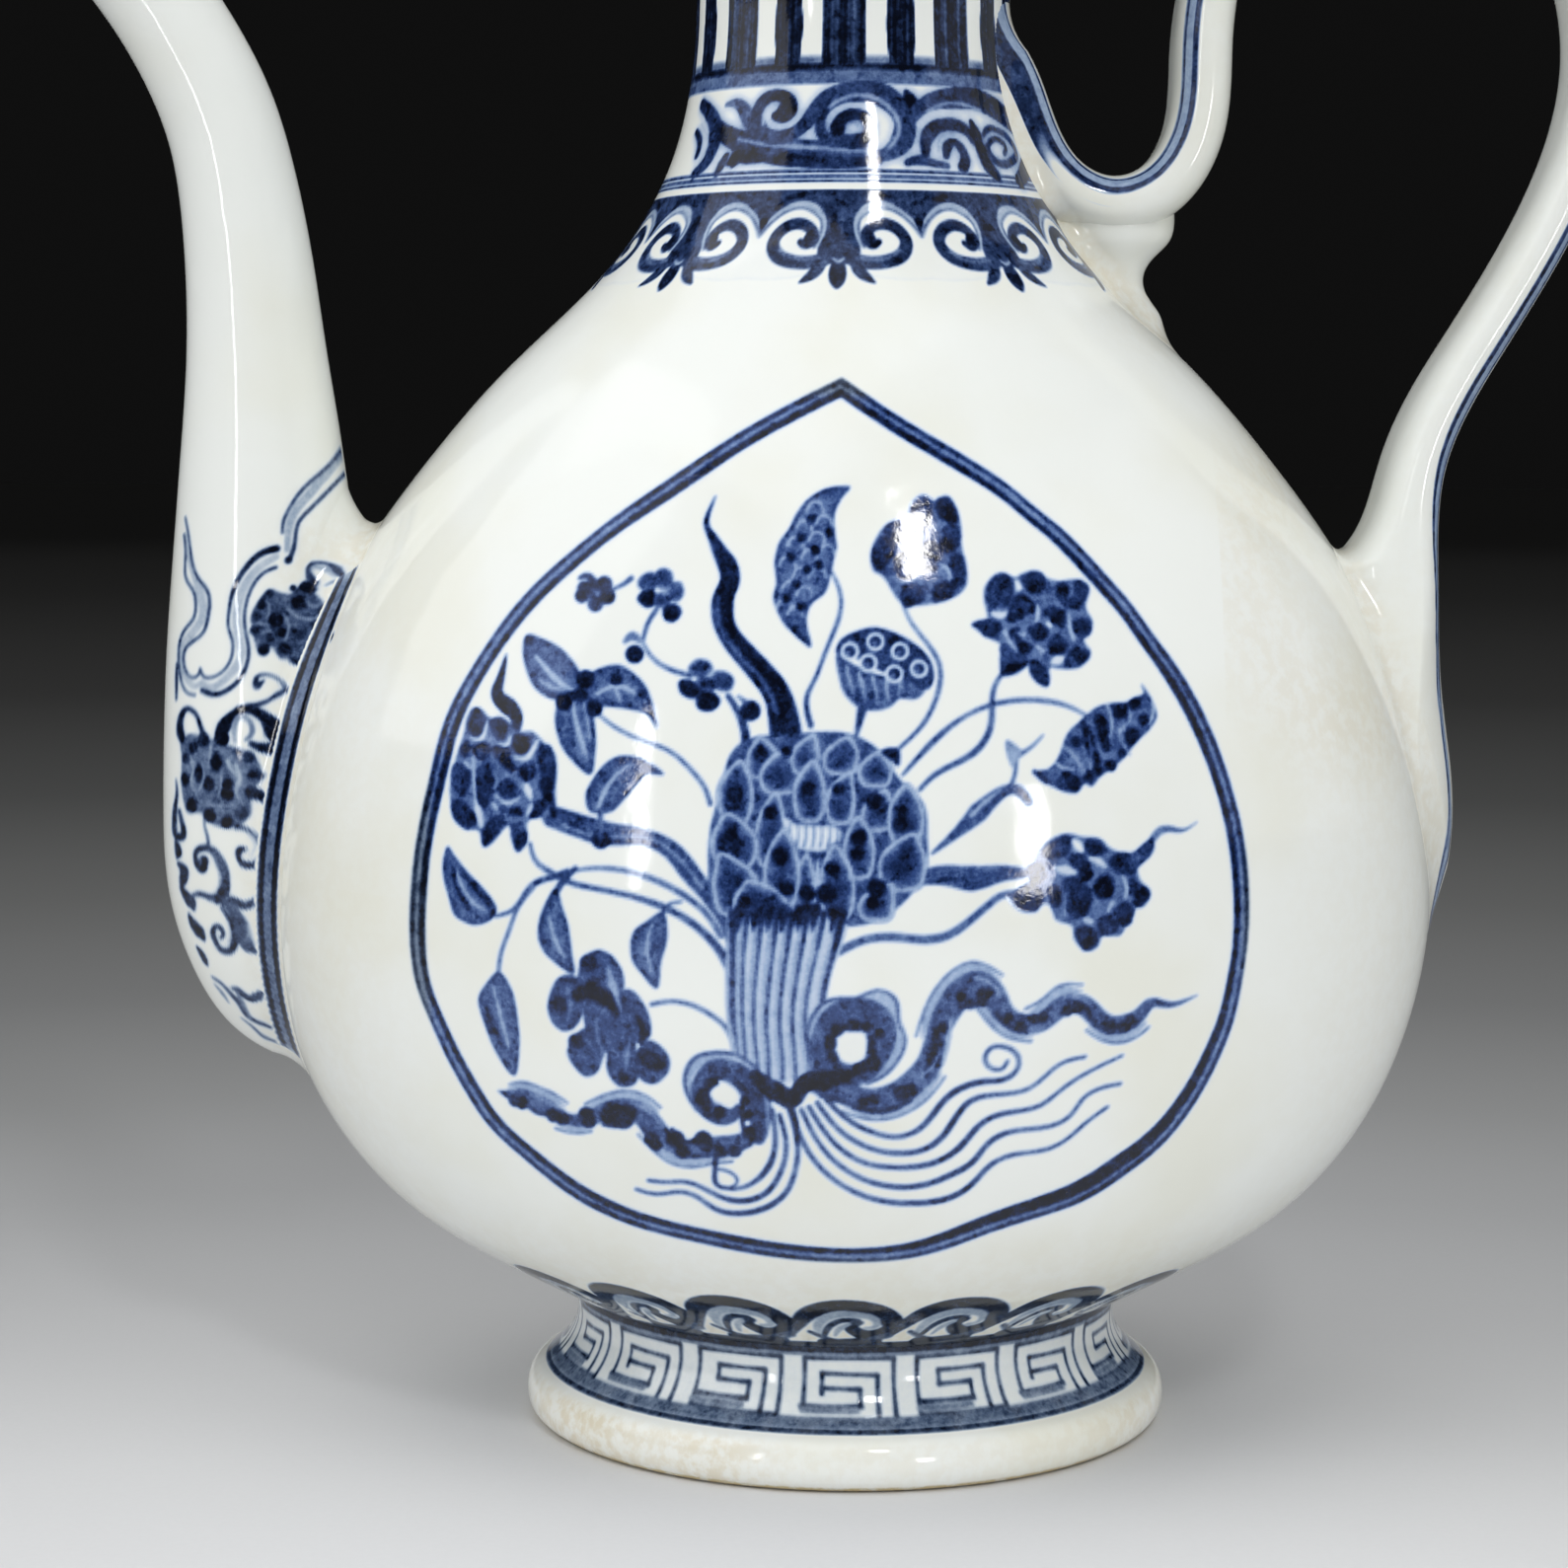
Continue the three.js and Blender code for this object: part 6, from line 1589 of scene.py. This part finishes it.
def footPiece():
    f, v = foot, vessel
    radius, high, top = f["discRadius"], f["discHeight"], v["footTop"]
    shoulder = radius - high / 2.6 * 0.9
    collar = natural([(shoulder, high), (mix(f["waistRadius"], radius, 0.28), mix(high, top, 0.26)),
                      (mix(f["waistRadius"], v["collarTopRadius"], 0.43), mix(high, top, 0.62)),
                      (v["collarTopRadius"], top)], 80)
    disc = natural([(shoulder, high), (radius - 1.7, high - 0.75), (radius - 0.5, high - 2.3), (radius, 4.4),
                    (radius - 0.15, 2.6), (radius - 0.9, 0.95), (radius - f["edgeBevel"], 0.0)], 80)
    recess = f["recessRadius"] + f["recessFlare"]
    inside = [(recess + 1.2, 0.0), (recess + 0.3, 0.5), (recess, 1.4), (f["recessRadius"], top),
              (v["collarTopRadius"] - 0.02, top)]
    step = f["step"] * coarse
    profile = np.vstack([collar[::-1], disc[1:], inside])
    points, turn, z, radius = turned(profile, int(2.0 * math.pi * 50.0 / step), step)
    ink, stain = footPaint(turn, z, radius)
    makePiece("foot_turned", "foot_ring", [patch(points, True, True, ink=ink, stain=stain, dull=1.0)])


lid = {
    "overhang": 0.6,
    "rise": 17.0,
    "edgeThickness": 2.6,
    "wall": 3.6,
    "seatRadius": 7.0,
    "seatThickness": 4.0,
    "ringOutside": 28.0,
    "ringWall": 3.0,
    "ringDepth": 8.0,
    "ringRound": 0.9,
    "knobHeight": 19.0,
    "knobRadius": 8.5,
    "stemRadius": 4.6,
    # Radius as a share of the stem's or the bud's, and share of the knob's height.
    "stem": [(1.25, 0.0), (1.14, 0.03), (1.02, 0.08), (0.96, 0.14), (0.97, 0.2)],
    "bud": [(0.72, 0.26), (0.97, 0.38), (1.0, 0.5), (0.86, 0.68), (0.52, 0.84), (0.2, 0.95), (0.004, 1.0)],
    "petals": 4.0,
    "petalStep": 0.55,
    "petalDepth": 0.45,
    "step": 0.4,
    "columns": 500,
    "knobStep": 0.25,
    "knobColumns": 260,
    "headsCount": 8,
    "headsSpan": ([14.0, 36.0], [17.2, -1.0]),
    "lines": [(0.84, 13.2, 0.8), (0.5, 11.6, 1.8), (0.84, 10.0, 0.7)],
    "edgeLine": [(0.84, 1.5, 0.8)],
    "knobLines": [(0.85, 0.235, 0.05), (0.8, 0.03, 0.04)],
}


def lidPaint(turn, rise, radius):
    top = rise > 0.4
    across = np.interp(radius, *lid["headsSpan"])
    ink = top * headsRound(turn, lid["headsCount"], 0.0, across)
    ink = np.maximum(ink, top * ruled(radius, lid["lines"]))
    return np.maximum(ink, ruled(rise, lid["edgeLine"]) * (radius > 37.0))


# Petals round the bud, the upper ones half a petal on.
def petalRound(turn, share):
    return np.abs(np.sin(turn * lid["petals"] + np.where(share > lid["petalStep"], math.pi / 4, 0.0)))


def knobPaint(turn, share):
    petal = petalRound(turn, share)
    bud = np.clip((share - 0.27) * 12.0, 0.0, 1.0)
    ink = bud * (0.86 - 0.62 * smooth(0.28, 0.5, petal) + 0.5 * smooth(0.75, 1.0, petal))
    ink = ink * np.where(share < 0.985, 1.0, 0.4)
    return np.maximum(ink, ruled(share, lid["knobLines"], 0.02))


def lidDome(edge, base, top):
    inside = lid["ringOutside"] - lid["ringWall"]
    skin = natural([(edge - 0.35, base + lid["edgeThickness"]), (edge * 0.82, mix(base, top, 0.5)),
                    (edge * 0.5, mix(base, top, 0.86)), (lid["seatRadius"], top - 0.05), (0.02, top)], 120)
    hollow = natural([(inside, base + 1.2), (edge * 0.42, mix(base, top, 0.86) - lid["wall"]),
                      (0.02, top - lid["seatThickness"])], 40)
    profile = np.vstack([hollow[::-1], [(inside, base)], arc(edge - 0.8, base + 0.85, 0.8, -90, 0, 6),
                         [(edge, base + 2.0)], arc(edge - 0.5, base + 2.1, 0.5, 0, 70, 4), skin])
    points, turn, z, radius = turned(profile, lid["columns"] // coarse, lid["step"] * coarse)
    makePiece("lid_dome", "lid", [patch(points, True, ink=lidPaint(turn, z - base, radius))], "lid")


def lidRing(base):
    low, edge, outside = base - lid["ringDepth"], lid["ringRound"], lid["ringOutside"]
    inside = outside - lid["ringWall"]
    profile = np.vstack([[(inside, base), (inside, low + edge)], arc(inside + edge, low + edge, edge, 180, 270, 5),
                         arc(outside - edge, low + edge, edge, 270, 360, 5), [(outside, base), (inside, base)]])
    points = turned(profile, 180, 0.8)[0]
    makePiece("lid_locating_ring", "lid_ring", [patch(points, True)], "lid")


def lidKnob(top):
    stem, bud = np.array(lid["stem"]), np.array(lid["bud"])
    line = np.vstack([stem * (lid["stemRadius"], lid["knobHeight"]), bud * (lid["knobRadius"], lid["knobHeight"])])
    line = natural(line + (0.0, top), 200)
    line[:, 0] = np.maximum(line[:, 0], 0.02)
    points, turn, z, radius = turned(line, lid["knobColumns"] // coarse, lid["knobStep"] * coarse)
    share = (z - top) / lid["knobHeight"]
    depth = lid["petalDepth"] * smooth(0.24, 0.36, share) * smooth(0.98, 0.8, share)
    points[..., :2] *= (1.0 - depth * (1.0 - petalRound(turn, share)) ** 3 / lid["knobRadius"])[..., None]
    makePiece("lid_bud_knob", "lid_knob", [patch(points, True, ink=knobPaint(turn, share))], "lid")


def lidPieces():
    base = vessel["mouthTop"]
    lidDome(vessel["lipRadius"] + lid["overhang"], base, base + lid["rise"])
    lidRing(base)
    lidKnob(base + lid["rise"])


def outwardNormals(points):
    out = np.cross(np.roll(points, -1, 1) - np.roll(points, 1, 1), np.gradient(points, axis=0))
    out /= np.maximum(np.linalg.norm(out, axis=-1, keepdims=True), 1e-9)
    middle = len(points) // 2
    inward = np.sum(out[middle] * (points[middle] - points[middle].mean(axis=0))) < 0
    return -out if inward else out


# Share of the fillet's height, and rise over the wall, where a form goes down into the wall.
sinkShares, sinkRises = [-0.4, -0.04, 0.05], [-1.6, -0.35, 0.035]


# Draws the foot of a form out over the vessel's wall in an elliptical fillet.
def flare(points, height, reach):
    normals = outwardNormals(points)
    distance, away = fromWall(points)
    share = distance / height
    across = normals - away * np.sum(normals * away, -1, keepdims=True)
    across /= np.maximum(np.linalg.norm(across, axis=-1, keepdims=True), 1e-6)
    near = np.clip(share, 0.0, 1.0) * math.pi / 2
    rise = height * (1.0 - np.cos(near)) + 0.03
    rise = np.where(share < sinkShares[-1], np.interp(share, sinkShares, sinkRises), rise)
    rise = np.where((share < sinkShares[0]) | (share > 1.0), distance, rise)
    out = reach * (1.0 - np.sin(near)) * (share <= 1.0)
    moved = points + away * (rise - distance)[..., None] + across * out[..., None]
    for again in range(2):
        now, away = fromWall(moved)
        moved = moved + away * np.where(share > 1.0, 0.0, rise - now)[..., None]
    return moved, distance


spout = {
    "wall": 3.2,
    "filletHeight": 5.0,
    "filletReach": 5.5,
    # More fillet on the side that faces the body.
    "crotchHeight": 3.0,
    "crotchReach": 1.5,
    "lipForward": 0.9,
    "step": 0.42,
    "columns": 480,
    "keepAbove": -1.2,
    # Reach past the belly, rise over the belly, lean of the cut, half height, half depth.
    "stations": [
        (-19.0, 10.0, 84.0, 44.0, 18.0), (-10.2, 13.0, 79.5, 45.2, 20.0),
        (-5.6, 16.3, 74.9, 44.5, 20.0), (-1.5, 22.4, 68.3, 40.8, 19.5),
        (0.8, 29.6, 61.9, 35.8, 19.0), (1.4, 38.2, 54.8, 29.6, 18.2),
        (1.4, 47.5, 44.7, 23.4, 17.2), (1.1, 59.0, 29.7, 18.2, 16.0),
        (1.0, 76.0, 15.9, 14.6, 14.4), (1.4, 93.5, 6.0, 12.2, 12.6),
        (2.7, 110.6, 7.0, 11.0, 11.4), (4.9, 125.0, 14.0, 10.2, 10.6),
        (8.3, 136.7, 24.0, 9.8, 10.1), (16.8, 152.5, 33.0, 9.3, 9.6),
        (28.0, 166.7, 41.0, 9.0, 9.2), (40.6, 179.4, 47.0, 8.7, 8.9),
        (52.0, 189.2, 50.0, 9.0, 9.1),
    ],
    # A double line follows the joint with the body: tone, distance from the wall, width.
    "jointLines": [(0.95, 1.35, 0.7), (0.95, 3.1, 0.55), (0.55, 2.2, 1.6)],
    "jointTop": (152.0, 146.0),
    "jointLow": (64.0, 68.0),
    # Painted shade near the joint with the body: amount, and the distances where it starts and where it is full.
    "jointPaintedShade": (0.25, 7.0, 0.5),
    # Painted shade in the crotch over the spout: amount, across, up and spread.
    "crotchPaintedShade": (0.2, -92.0, 152.0, 60.0),
}


def spoutPaint(skin, distance):
    x, y, z = skin[..., 0], skin[..., 1], skin[..., 2]
    s = spout
    ink = readSheet(spoutPicture, x, z) * (np.abs(y) > 1.0)
    low = smooth(*s["jointTop"], z) * smooth(*s["jointLow"], z)
    beside = (distance > 0.6) & (distance < 3.7) & (low > 0.5)
    ink = np.where(beside, low * ruled(distance, s["jointLines"], 0.25), ink)
    # Painted shade darkens the fillet near the body and the crotch over the spout.
    amount, far, near = s["jointPaintedShade"]
    spot, spotX, spotZ, spread = s["crotchPaintedShade"]
    stain = amount * smooth(far, near, distance)
    return ink, stain + spot * np.exp(-((x - spotX) ** 2 + (z - spotZ) ** 2) / spread)


# Points of the spout's fanned cuts, moved in by an inset.
def spoutSkin(stations, turn, inset=0.0):
    reach, rise, lean, high, deep = stations.T[:, :, None]
    angle = np.radians(lean)
    swing = np.cos(turn) * (high - inset)
    return np.stack([-vessel["halfWidth"] - reach + np.cos(angle) * swing, np.sin(turn) * (deep - inset),
                     vessel["belly"] + rise + np.sin(angle) * swing], -1)


def spoutPiece():
    s = spout
    step = s["step"] * coarse
    # Rows are spaced by the longest side of the fanned cuts.
    rows = natural(s["stations"], 1200, 5)
    sides = np.linalg.norm(np.diff(spoutSkin(rows, np.linspace(0, math.pi, 13)), axis=0), axis=-1).max(axis=1)
    length = np.concatenate([[0.0], np.cumsum(sides)])
    rows = sampled(rows, length, np.linspace(0.0, length[-1], int(length[-1] / step * 0.8)))
    even = np.linspace(0.0, 2.0 * math.pi, s["columns"] // coarse + 1)[:-1] + math.pi
    skin = spoutSkin(rows, even)
    crotch = smooth(0.2, 1.0, np.cos(even))
    moved, distance = flare(skin, s["filletHeight"] + s["crotchHeight"] * crotch,
                            s["filletReach"] + s["crotchReach"] * crotch)
    ink, stain = spoutPaint(skin, distance)
    # The rounded lip, then the bore back down to the body.
    lean = math.radians(rows[-1, 2])
    forward = np.array([-math.sin(lean), 0.0, math.cos(lean)]) * s["lipForward"]
    lip = [spoutSkin(rows[-1:], even, s["wall"] / 2.0 * (1.0 - math.cos(a)))[0] + forward * math.sin(a)
           for a in np.radians(np.linspace(15, 180, 12))]
    bore = spoutSkin(rows[::-1][::4], even, s["wall"])[1:]
    inside = np.concatenate([moved[-1:], lip, bore])
    keep = np.concatenate([np.ones((len(lip) + 1, len(even)), bool), fromWall(bore)[0] > -2.0])
    makePiece("spout_curved", "spout", [
        patch(moved, True, uv=(0.0, 0.0, 1.0, 0.86), ink=ink, stain=stain, dull=0.75, keep=distance > s["keepAbove"]),
        patch(inside, True, uv=(0.0, 0.88, 1.0, 1.0), keep=keep),
    ])


handle = {
    "filletHeight": 3.2,
    "filletReach": 3.4,
    # The inner face swells toward the body and fills the crotch over the root.
    "crotchHeight": 167.0,
    "crotchSwell": 0.7,
    "crotchFade": 5.7,
    "crotchMost": 9.0,
    # How square the section's sides and faces are, and the section that spaces the columns.
    "sideRound": 0.6,
    "faceRound": 0.85,
    "usual": (4.5, 13.0, 12.5),
    # The root bends round the belly between these heights.
    "rootFade": (152.0, 120.0),
    "rootX": 60.0,
    "step": 0.45,
    "keepAbove": -1.4,
    # Up from the belly, out from the wall, half thickness, half width inside and outside.
    "rootRows": [
        (-14.0, -3.5, 3.0, 6.0, 3.0), (0.0, -1.5, 4.0, 15.0, 8.0), (16.0, 1.2, 4.0, 24.0, 11.0),
        (34.0, 3.3, 4.0, 24.0, 11.5), (54.0, 10.3, 4.4, 17.0, 12.0),
    ],
    # Out from the belly, up from the neck's base, half thickness, half width inside and outside.
    "loopRows": [
        (-3.7, -53.3, 4.7, 13.5, 12.5), (6.1, -32.6, 4.5, 13.0, 12.5), (18.2, -11.4, 4.5, 13.0, 12.5),
        (26.0, 15.5, 4.5, 13.0, 12.5), (22.5, 35.5, 4.5, 13.0, 12.5), (9.0, 52.5, 4.5, 13.0, 12.5),
        (-9.0, 59.0, 4.5, 13.0, 12.5), (-27.0, 53.0, 4.5, 13.0, 12.5), (-38.5, 38.0, 4.7, 13.0, 12.5),
        (-42.4, 19.0, 5.0, 13.0, 12.5), (-43.6, 4.0, 5.0, 13.0, 12.5), (-50.0, -6.2, 5.0, 13.0, 12.5),
    ],
    # Up from the neck's base, out from the wall, half thickness, half width inside and outside.
    "neckRows": [
        (-8.6, 9.6, 5.0, 12.5, 12.5), (-4.8, 3.6, 4.8, 12.0, 12.0), (3.3, 1.4, 4.5, 11.5, 12.0),
        (12.0, -0.1, 4.5, 11.0, 11.5), (20.0, -3.6, 4.2, 10.0, 10.5), (27.0, -8.0, 4.0, 9.0, 9.5),
    ],
    # Lines along the outer face: tone, distance in from its edge, width.
    "lines": [(0.86, 0.45, 0.55), (0.86, 2.6, 0.55), (0.36, 1.5, 1.7)],
    # Painted shade near the joint with the body: amount, and the distances where it starts and where it is full.
    "jointPaintedShade": (0.24, 5.0, 0.4),
    "stainAll": 0.04,
}


# The strap's path: across, up, half thickness, half width inside and outside.
def strapRows():
    def byWall(rows, base):
        return [(halfWidth(base + up) + out, base + up, *size) for up, out, *size in rows]
    loop = [(vessel["halfWidth"] + out, vessel["neckBase"] + up, *size) for out, up, *size in handle["loopRows"]]
    return byWall(handle["rootRows"], vessel["belly"]) + loop + byWall(handle["neckRows"], vessel["neckBase"])


def strapSection(turn, thick, inner, outer):
    c, s = np.cos(turn), np.sin(turn)
    across = np.sign(c) * np.abs(c) ** handle["sideRound"] * (inner + (outer - inner) * (1.0 + s) / 2.0)
    return across, np.sign(s) * np.abs(s) ** handle["faceRound"] * thick


def handlePiece():
    h = handle
    step = h["step"] * coarse
    path = spaced(natural(strapRows(), 4000), step)
    tangent = np.gradient(path[:, :2], axis=0)
    tangent /= np.linalg.norm(tangent, axis=1, keepdims=True)
    pathX, pathZ, thick, inner, outer = path.T[:, :, None]
    # Columns are even along the usual section.
    dense = np.linspace(0.0, 2.0 * math.pi, 1441)
    length = lengths(np.stack(strapSection(dense, *h["usual"]), -1))
    columns = int(length[-1] / step)
    turn = np.interp(np.arange(columns) * (length[-1] / columns), length, dense) - math.pi / 2
    across, lift = strapSection(turn, thick, inner, outer)
    swell = h["crotchSwell"] * np.exp((h["crotchHeight"] - pathZ) / h["crotchFade"])
    swell = np.minimum(swell, h["crotchMost"]) * (pathX > h["rootX"])
    lift = np.where(lift < 0.0, lift * (1.0 + swell / thick), lift)
    x, z = pathX + tangent[:, 1:] * lift, pathZ - tangent[:, :1] * lift
    fade = smooth(*h["rootFade"], z) * (x > h["rootX"])
    ratio = np.clip(across / halfDepth(z), -0.95, 0.95)
    x = x - fade * halfWidth(z) * (1.0 - np.sqrt(1.0 - ratio ** 2))
    moved, distance = flare(np.stack([x, across, z], -1), h["filletHeight"], h["filletReach"])
    outerFace = lift > -0.2 * thick
    ink = ruled(outer - np.abs(across), h["lines"], 0.2) * outerFace
    # Painted shade darkens the strap towards its joints with the body, over an even warm tint.
    amount, far, near = h["jointPaintedShade"]
    stain = amount * smooth(far, near, distance) + h["stainAll"]
    makePiece("handle_strap", "handle", [patch(moved, True, ink=ink, stain=stain, keep=distance > h["keepAbove"])])


post = {
    "centreX": 44.5,
    "turnHeight": 213.9,
    "filletHeight": 3.5,
    "filletReach": 4.5,
    "keepAbove": -1.4,
    # Painted shade near the joint with the shoulder: amount, and the distances where it starts and where it is full.
    "jointPaintedShade": (0.35, 6.0, 0.5),
    # Height from the handle's turn, shift outward, half width, half depth.
    "rows": [
        (-30.0, 0.2, 9.0, 8.0), (-23.5, 0.3, 10.0, 9.4), (-19.5, 0.3, 9.8, 9.2), (-15.5, 0.0, 7.3, 7.0),
        (-12.6, 0.0, 6.6, 6.4), (-9.5, 0.4, 7.6, 7.4), (-6.0, 1.2, 10.0, 9.6), (0.0, 1.4, 10.4, 10.0),
    ],
}


def postPiece():
    up, shift, wide, deep = natural(post["rows"], 110, 4).T[:, :, None]
    turn = np.linspace(0.0, 2.0 * math.pi, 141)[:-1]
    skin = np.stack([post["centreX"] + shift + np.sin(turn) * wide, -np.cos(turn) * deep,
                     post["turnHeight"] + up + 0.0 * turn], -1)
    moved, distance = flare(skin, post["filletHeight"], post["filletReach"])
    # Painted shade darkens the stub towards its joint with the shoulder.
    amount, far, near = post["jointPaintedShade"]
    stain = amount * smooth(far, near, distance)
    makePiece("handle_post_stub", "handle_post", [patch(moved, True, stain=stain, keep=distance > post["keepAbove"])])


print("building pieces")
footPiece()
for name, middle in (("front", 0.0), ("back", math.pi)):
    halfShell("lower_body_" + name, "lower_body", vessel["footTop"], vessel["seam"], middle, True)
for name, middle in (("front", 0.0), ("back", math.pi)):
    halfShell("upper_body_" + name, "upper_body", vessel["seam"], vessel["shoulderJoint"], middle)
neckPiece()
mouthPiece()
spoutPiece()
handlePiece()
postPiece()
lidPieces()
print("pieces made")


# Millimetres from the vessel's axis, degrees, and pixels of the photograph.
camera = {"x": -11.4, "y": -622.0, "z": 172.4, "pitch": 5.54, "roll": 0.25, "focalPixels": 3564.0,
          "imagePixels": 1589.0, "sensor": 36.0}


def placed(name, data):
    item = bpy.data.objects.new(name, data)
    bpy.context.scene.collection.objects.link(item)
    return item


def makeCamera():
    c = camera
    data = bpy.data.cameras.new("photo_camera")
    data.sensor_width = c["sensor"]
    data.lens = c["sensor"] * c["focalPixels"] / c["imagePixels"]
    data.clip_start, data.clip_end = 0.05, 60.0
    item = placed("photo_camera", data)
    item.location = ((c["x"] + axisX) * millimetre, c["y"] * millimetre, c["z"] * millimetre)
    item.rotation_mode = "QUATERNION"
    tilt = Quaternion((1, 0, 0), math.radians(90.0 - c["pitch"]))
    item.rotation_quaternion = tilt @ Quaternion((0, 0, 1), math.radians(c["roll"]))
    bpy.context.scene.camera = item
    bpy.context.scene.view_settings.view_transform = "Standard"


lamps = {
    # Turn from the front, elevation, distance, width, height, watts, spread in degrees.
    "left_strip": (-31.0, 6.9, 1.5, 0.07, 0.55, 0.125, 50.0),
    "right_window": (27.0, 2.3, 1.5, 0.12, 0.3, 0.14, 50.0),
    "top_box": (14.0, 40.0, 1.5, 0.13, 0.26, 3.5, 180.0),
    "left_fill": (-72.0, 34.0, 2.0, 1.6, 1.6, 8.5, 180.0),
    "right_fill": (78.0, 24.0, 2.0, 1.6, 1.6, 3.2, 180.0),
    "overhead": (-50.0, 74.0, 2.2, 2.4, 2.0, 10.5, 180.0),
}
lampTarget = Vector((0.0, 0.0, 0.13))


def makeLamps():
    for name, (turn, lift, distance, width, height, power, spread) in lamps.items():
        data = bpy.data.lights.new(name, "AREA")
        data.shape = "RECTANGLE"
        data.size, data.size_y = width, height
        data.energy = power
        data.spread = math.radians(spread)
        item = placed(name, data)
        a, e = math.radians(turn), math.radians(lift)
        way = Vector((math.sin(a) * math.cos(e), -math.cos(a) * math.cos(e), math.sin(e)))
        item.location = lampTarget + distance * way
        item.rotation_mode = "QUATERNION"
        item.rotation_quaternion = (lampTarget - item.location).to_track_quat("-Z", "Y")


floor = {
    "radius": 14.0,
    "rings": 40,
    "sides": 96,
    # The pale sheet's colour is painted darker away from this place, a painted falloff of light into the dark, in
    # metres.
    "centre": (0.0, -0.25, 0.0),
    "span": 6.0,
    "tones": [
        (0.0, (222, 223, 225)), (0.028, (219, 220, 222)), (0.0385, (211, 212, 214)), (0.057, (183, 184, 186)),
        (0.073, (160, 161, 163)), (0.0945, (139, 140, 141)), (0.123, (117, 118, 119)), (0.164, (100, 101, 101)),
        (0.23, (78, 79, 79)), (0.347, (60, 60, 60)), (0.618, (46, 46, 46)), (0.8, (42, 42, 42)), (1.0, (31, 31, 31)),
    ],
    "grain": 0.04,
    "roughness": 0.7,
    "specular": 0.15,
}


def makeFloor():
    radius, rings, sides = floor["radius"], floor["rings"], floor["sides"]
    r = np.linspace(0.0, 1.0, rings) ** 2 * radius + 1e-4
    turn = np.arange(sides) * (2.0 * math.pi / sides)
    x, y = r[:, None] * np.cos(turn), r[:, None] * np.sin(turn)
    points = np.stack([x, y, 0.0 * x - 0.0002], -1).reshape(-1, 3)
    index = np.arange(rings * sides).reshape(rings, sides)
    index = np.concatenate([index, index[:, :1]], 1)
    quads = np.stack([index[:-1, :-1], index[1:, :-1], index[1:, 1:], index[:-1, 1:]], -1).reshape(-1, 4)
    mesh = bpy.data.meshes.new("studio_floor")
    mesh.from_pydata(points.tolist(), [], quads.tolist())
    placed("studio_floor", mesh)
    material = bpy.data.materials.new("pale_floor")
    material.use_nodes = True
    tree = material.node_tree
    shader = tree.nodes["Principled BSDF"]
    place = tree.nodes.new("ShaderNodeTexCoord").outputs["Object"]
    span = tree.nodes.new("ShaderNodeVectorMath")
    span.operation = "DISTANCE"
    link(tree, place, span.inputs[0])
    span.inputs[1].default_value = floor["centre"]
    share = calculated(tree, "DIVIDE", span.outputs["Value"], floor["span"], clamp=True)
    # Painted falloff: the floor's colour darkens with distance, standing in for the light dying away.
    paintedFalloff = ramp(tree, share, [(stop, linear(*colour)) for stop, colour in floor["tones"]])
    colour = mixed(tree, floor["grain"], paintedFalloff, noise(tree, place, 900.0, 3.0), "MULTIPLY")
    link(tree, colour, shader.inputs["Base Color"])
    shader.inputs["Roughness"].default_value = floor["roughness"]
    shader.inputs["Specular IOR Level"].default_value = floor["specular"]
    mesh.materials.append(material)


# The room's light, and the dark that the camera and mirrored rays see.
world = {"light": (0.71, 0.71, 0.7, 1.0), "seen": (0.005, 0.005, 0.005, 1.0)}


def makeWorld():
    data = bpy.data.worlds.new("studio")
    bpy.context.scene.world = data
    data.use_nodes = True
    tree = data.node_tree
    back = tree.nodes["Background"]
    path = tree.nodes.new("ShaderNodeLightPath").outputs
    seen = calculated(tree, "MAXIMUM", path["Is Camera Ray"], path["Is Transmission Ray"])
    seen = calculated(tree, "MAXIMUM", seen, path["Is Glossy Ray"])
    link(tree, mixed(tree, seen, world["light"], world["seen"]), back.inputs["Color"])
    back.inputs["Strength"].default_value = 1.0


makeCamera()
makeLamps()
makeFloor()
makeWorld()
print("stage made")
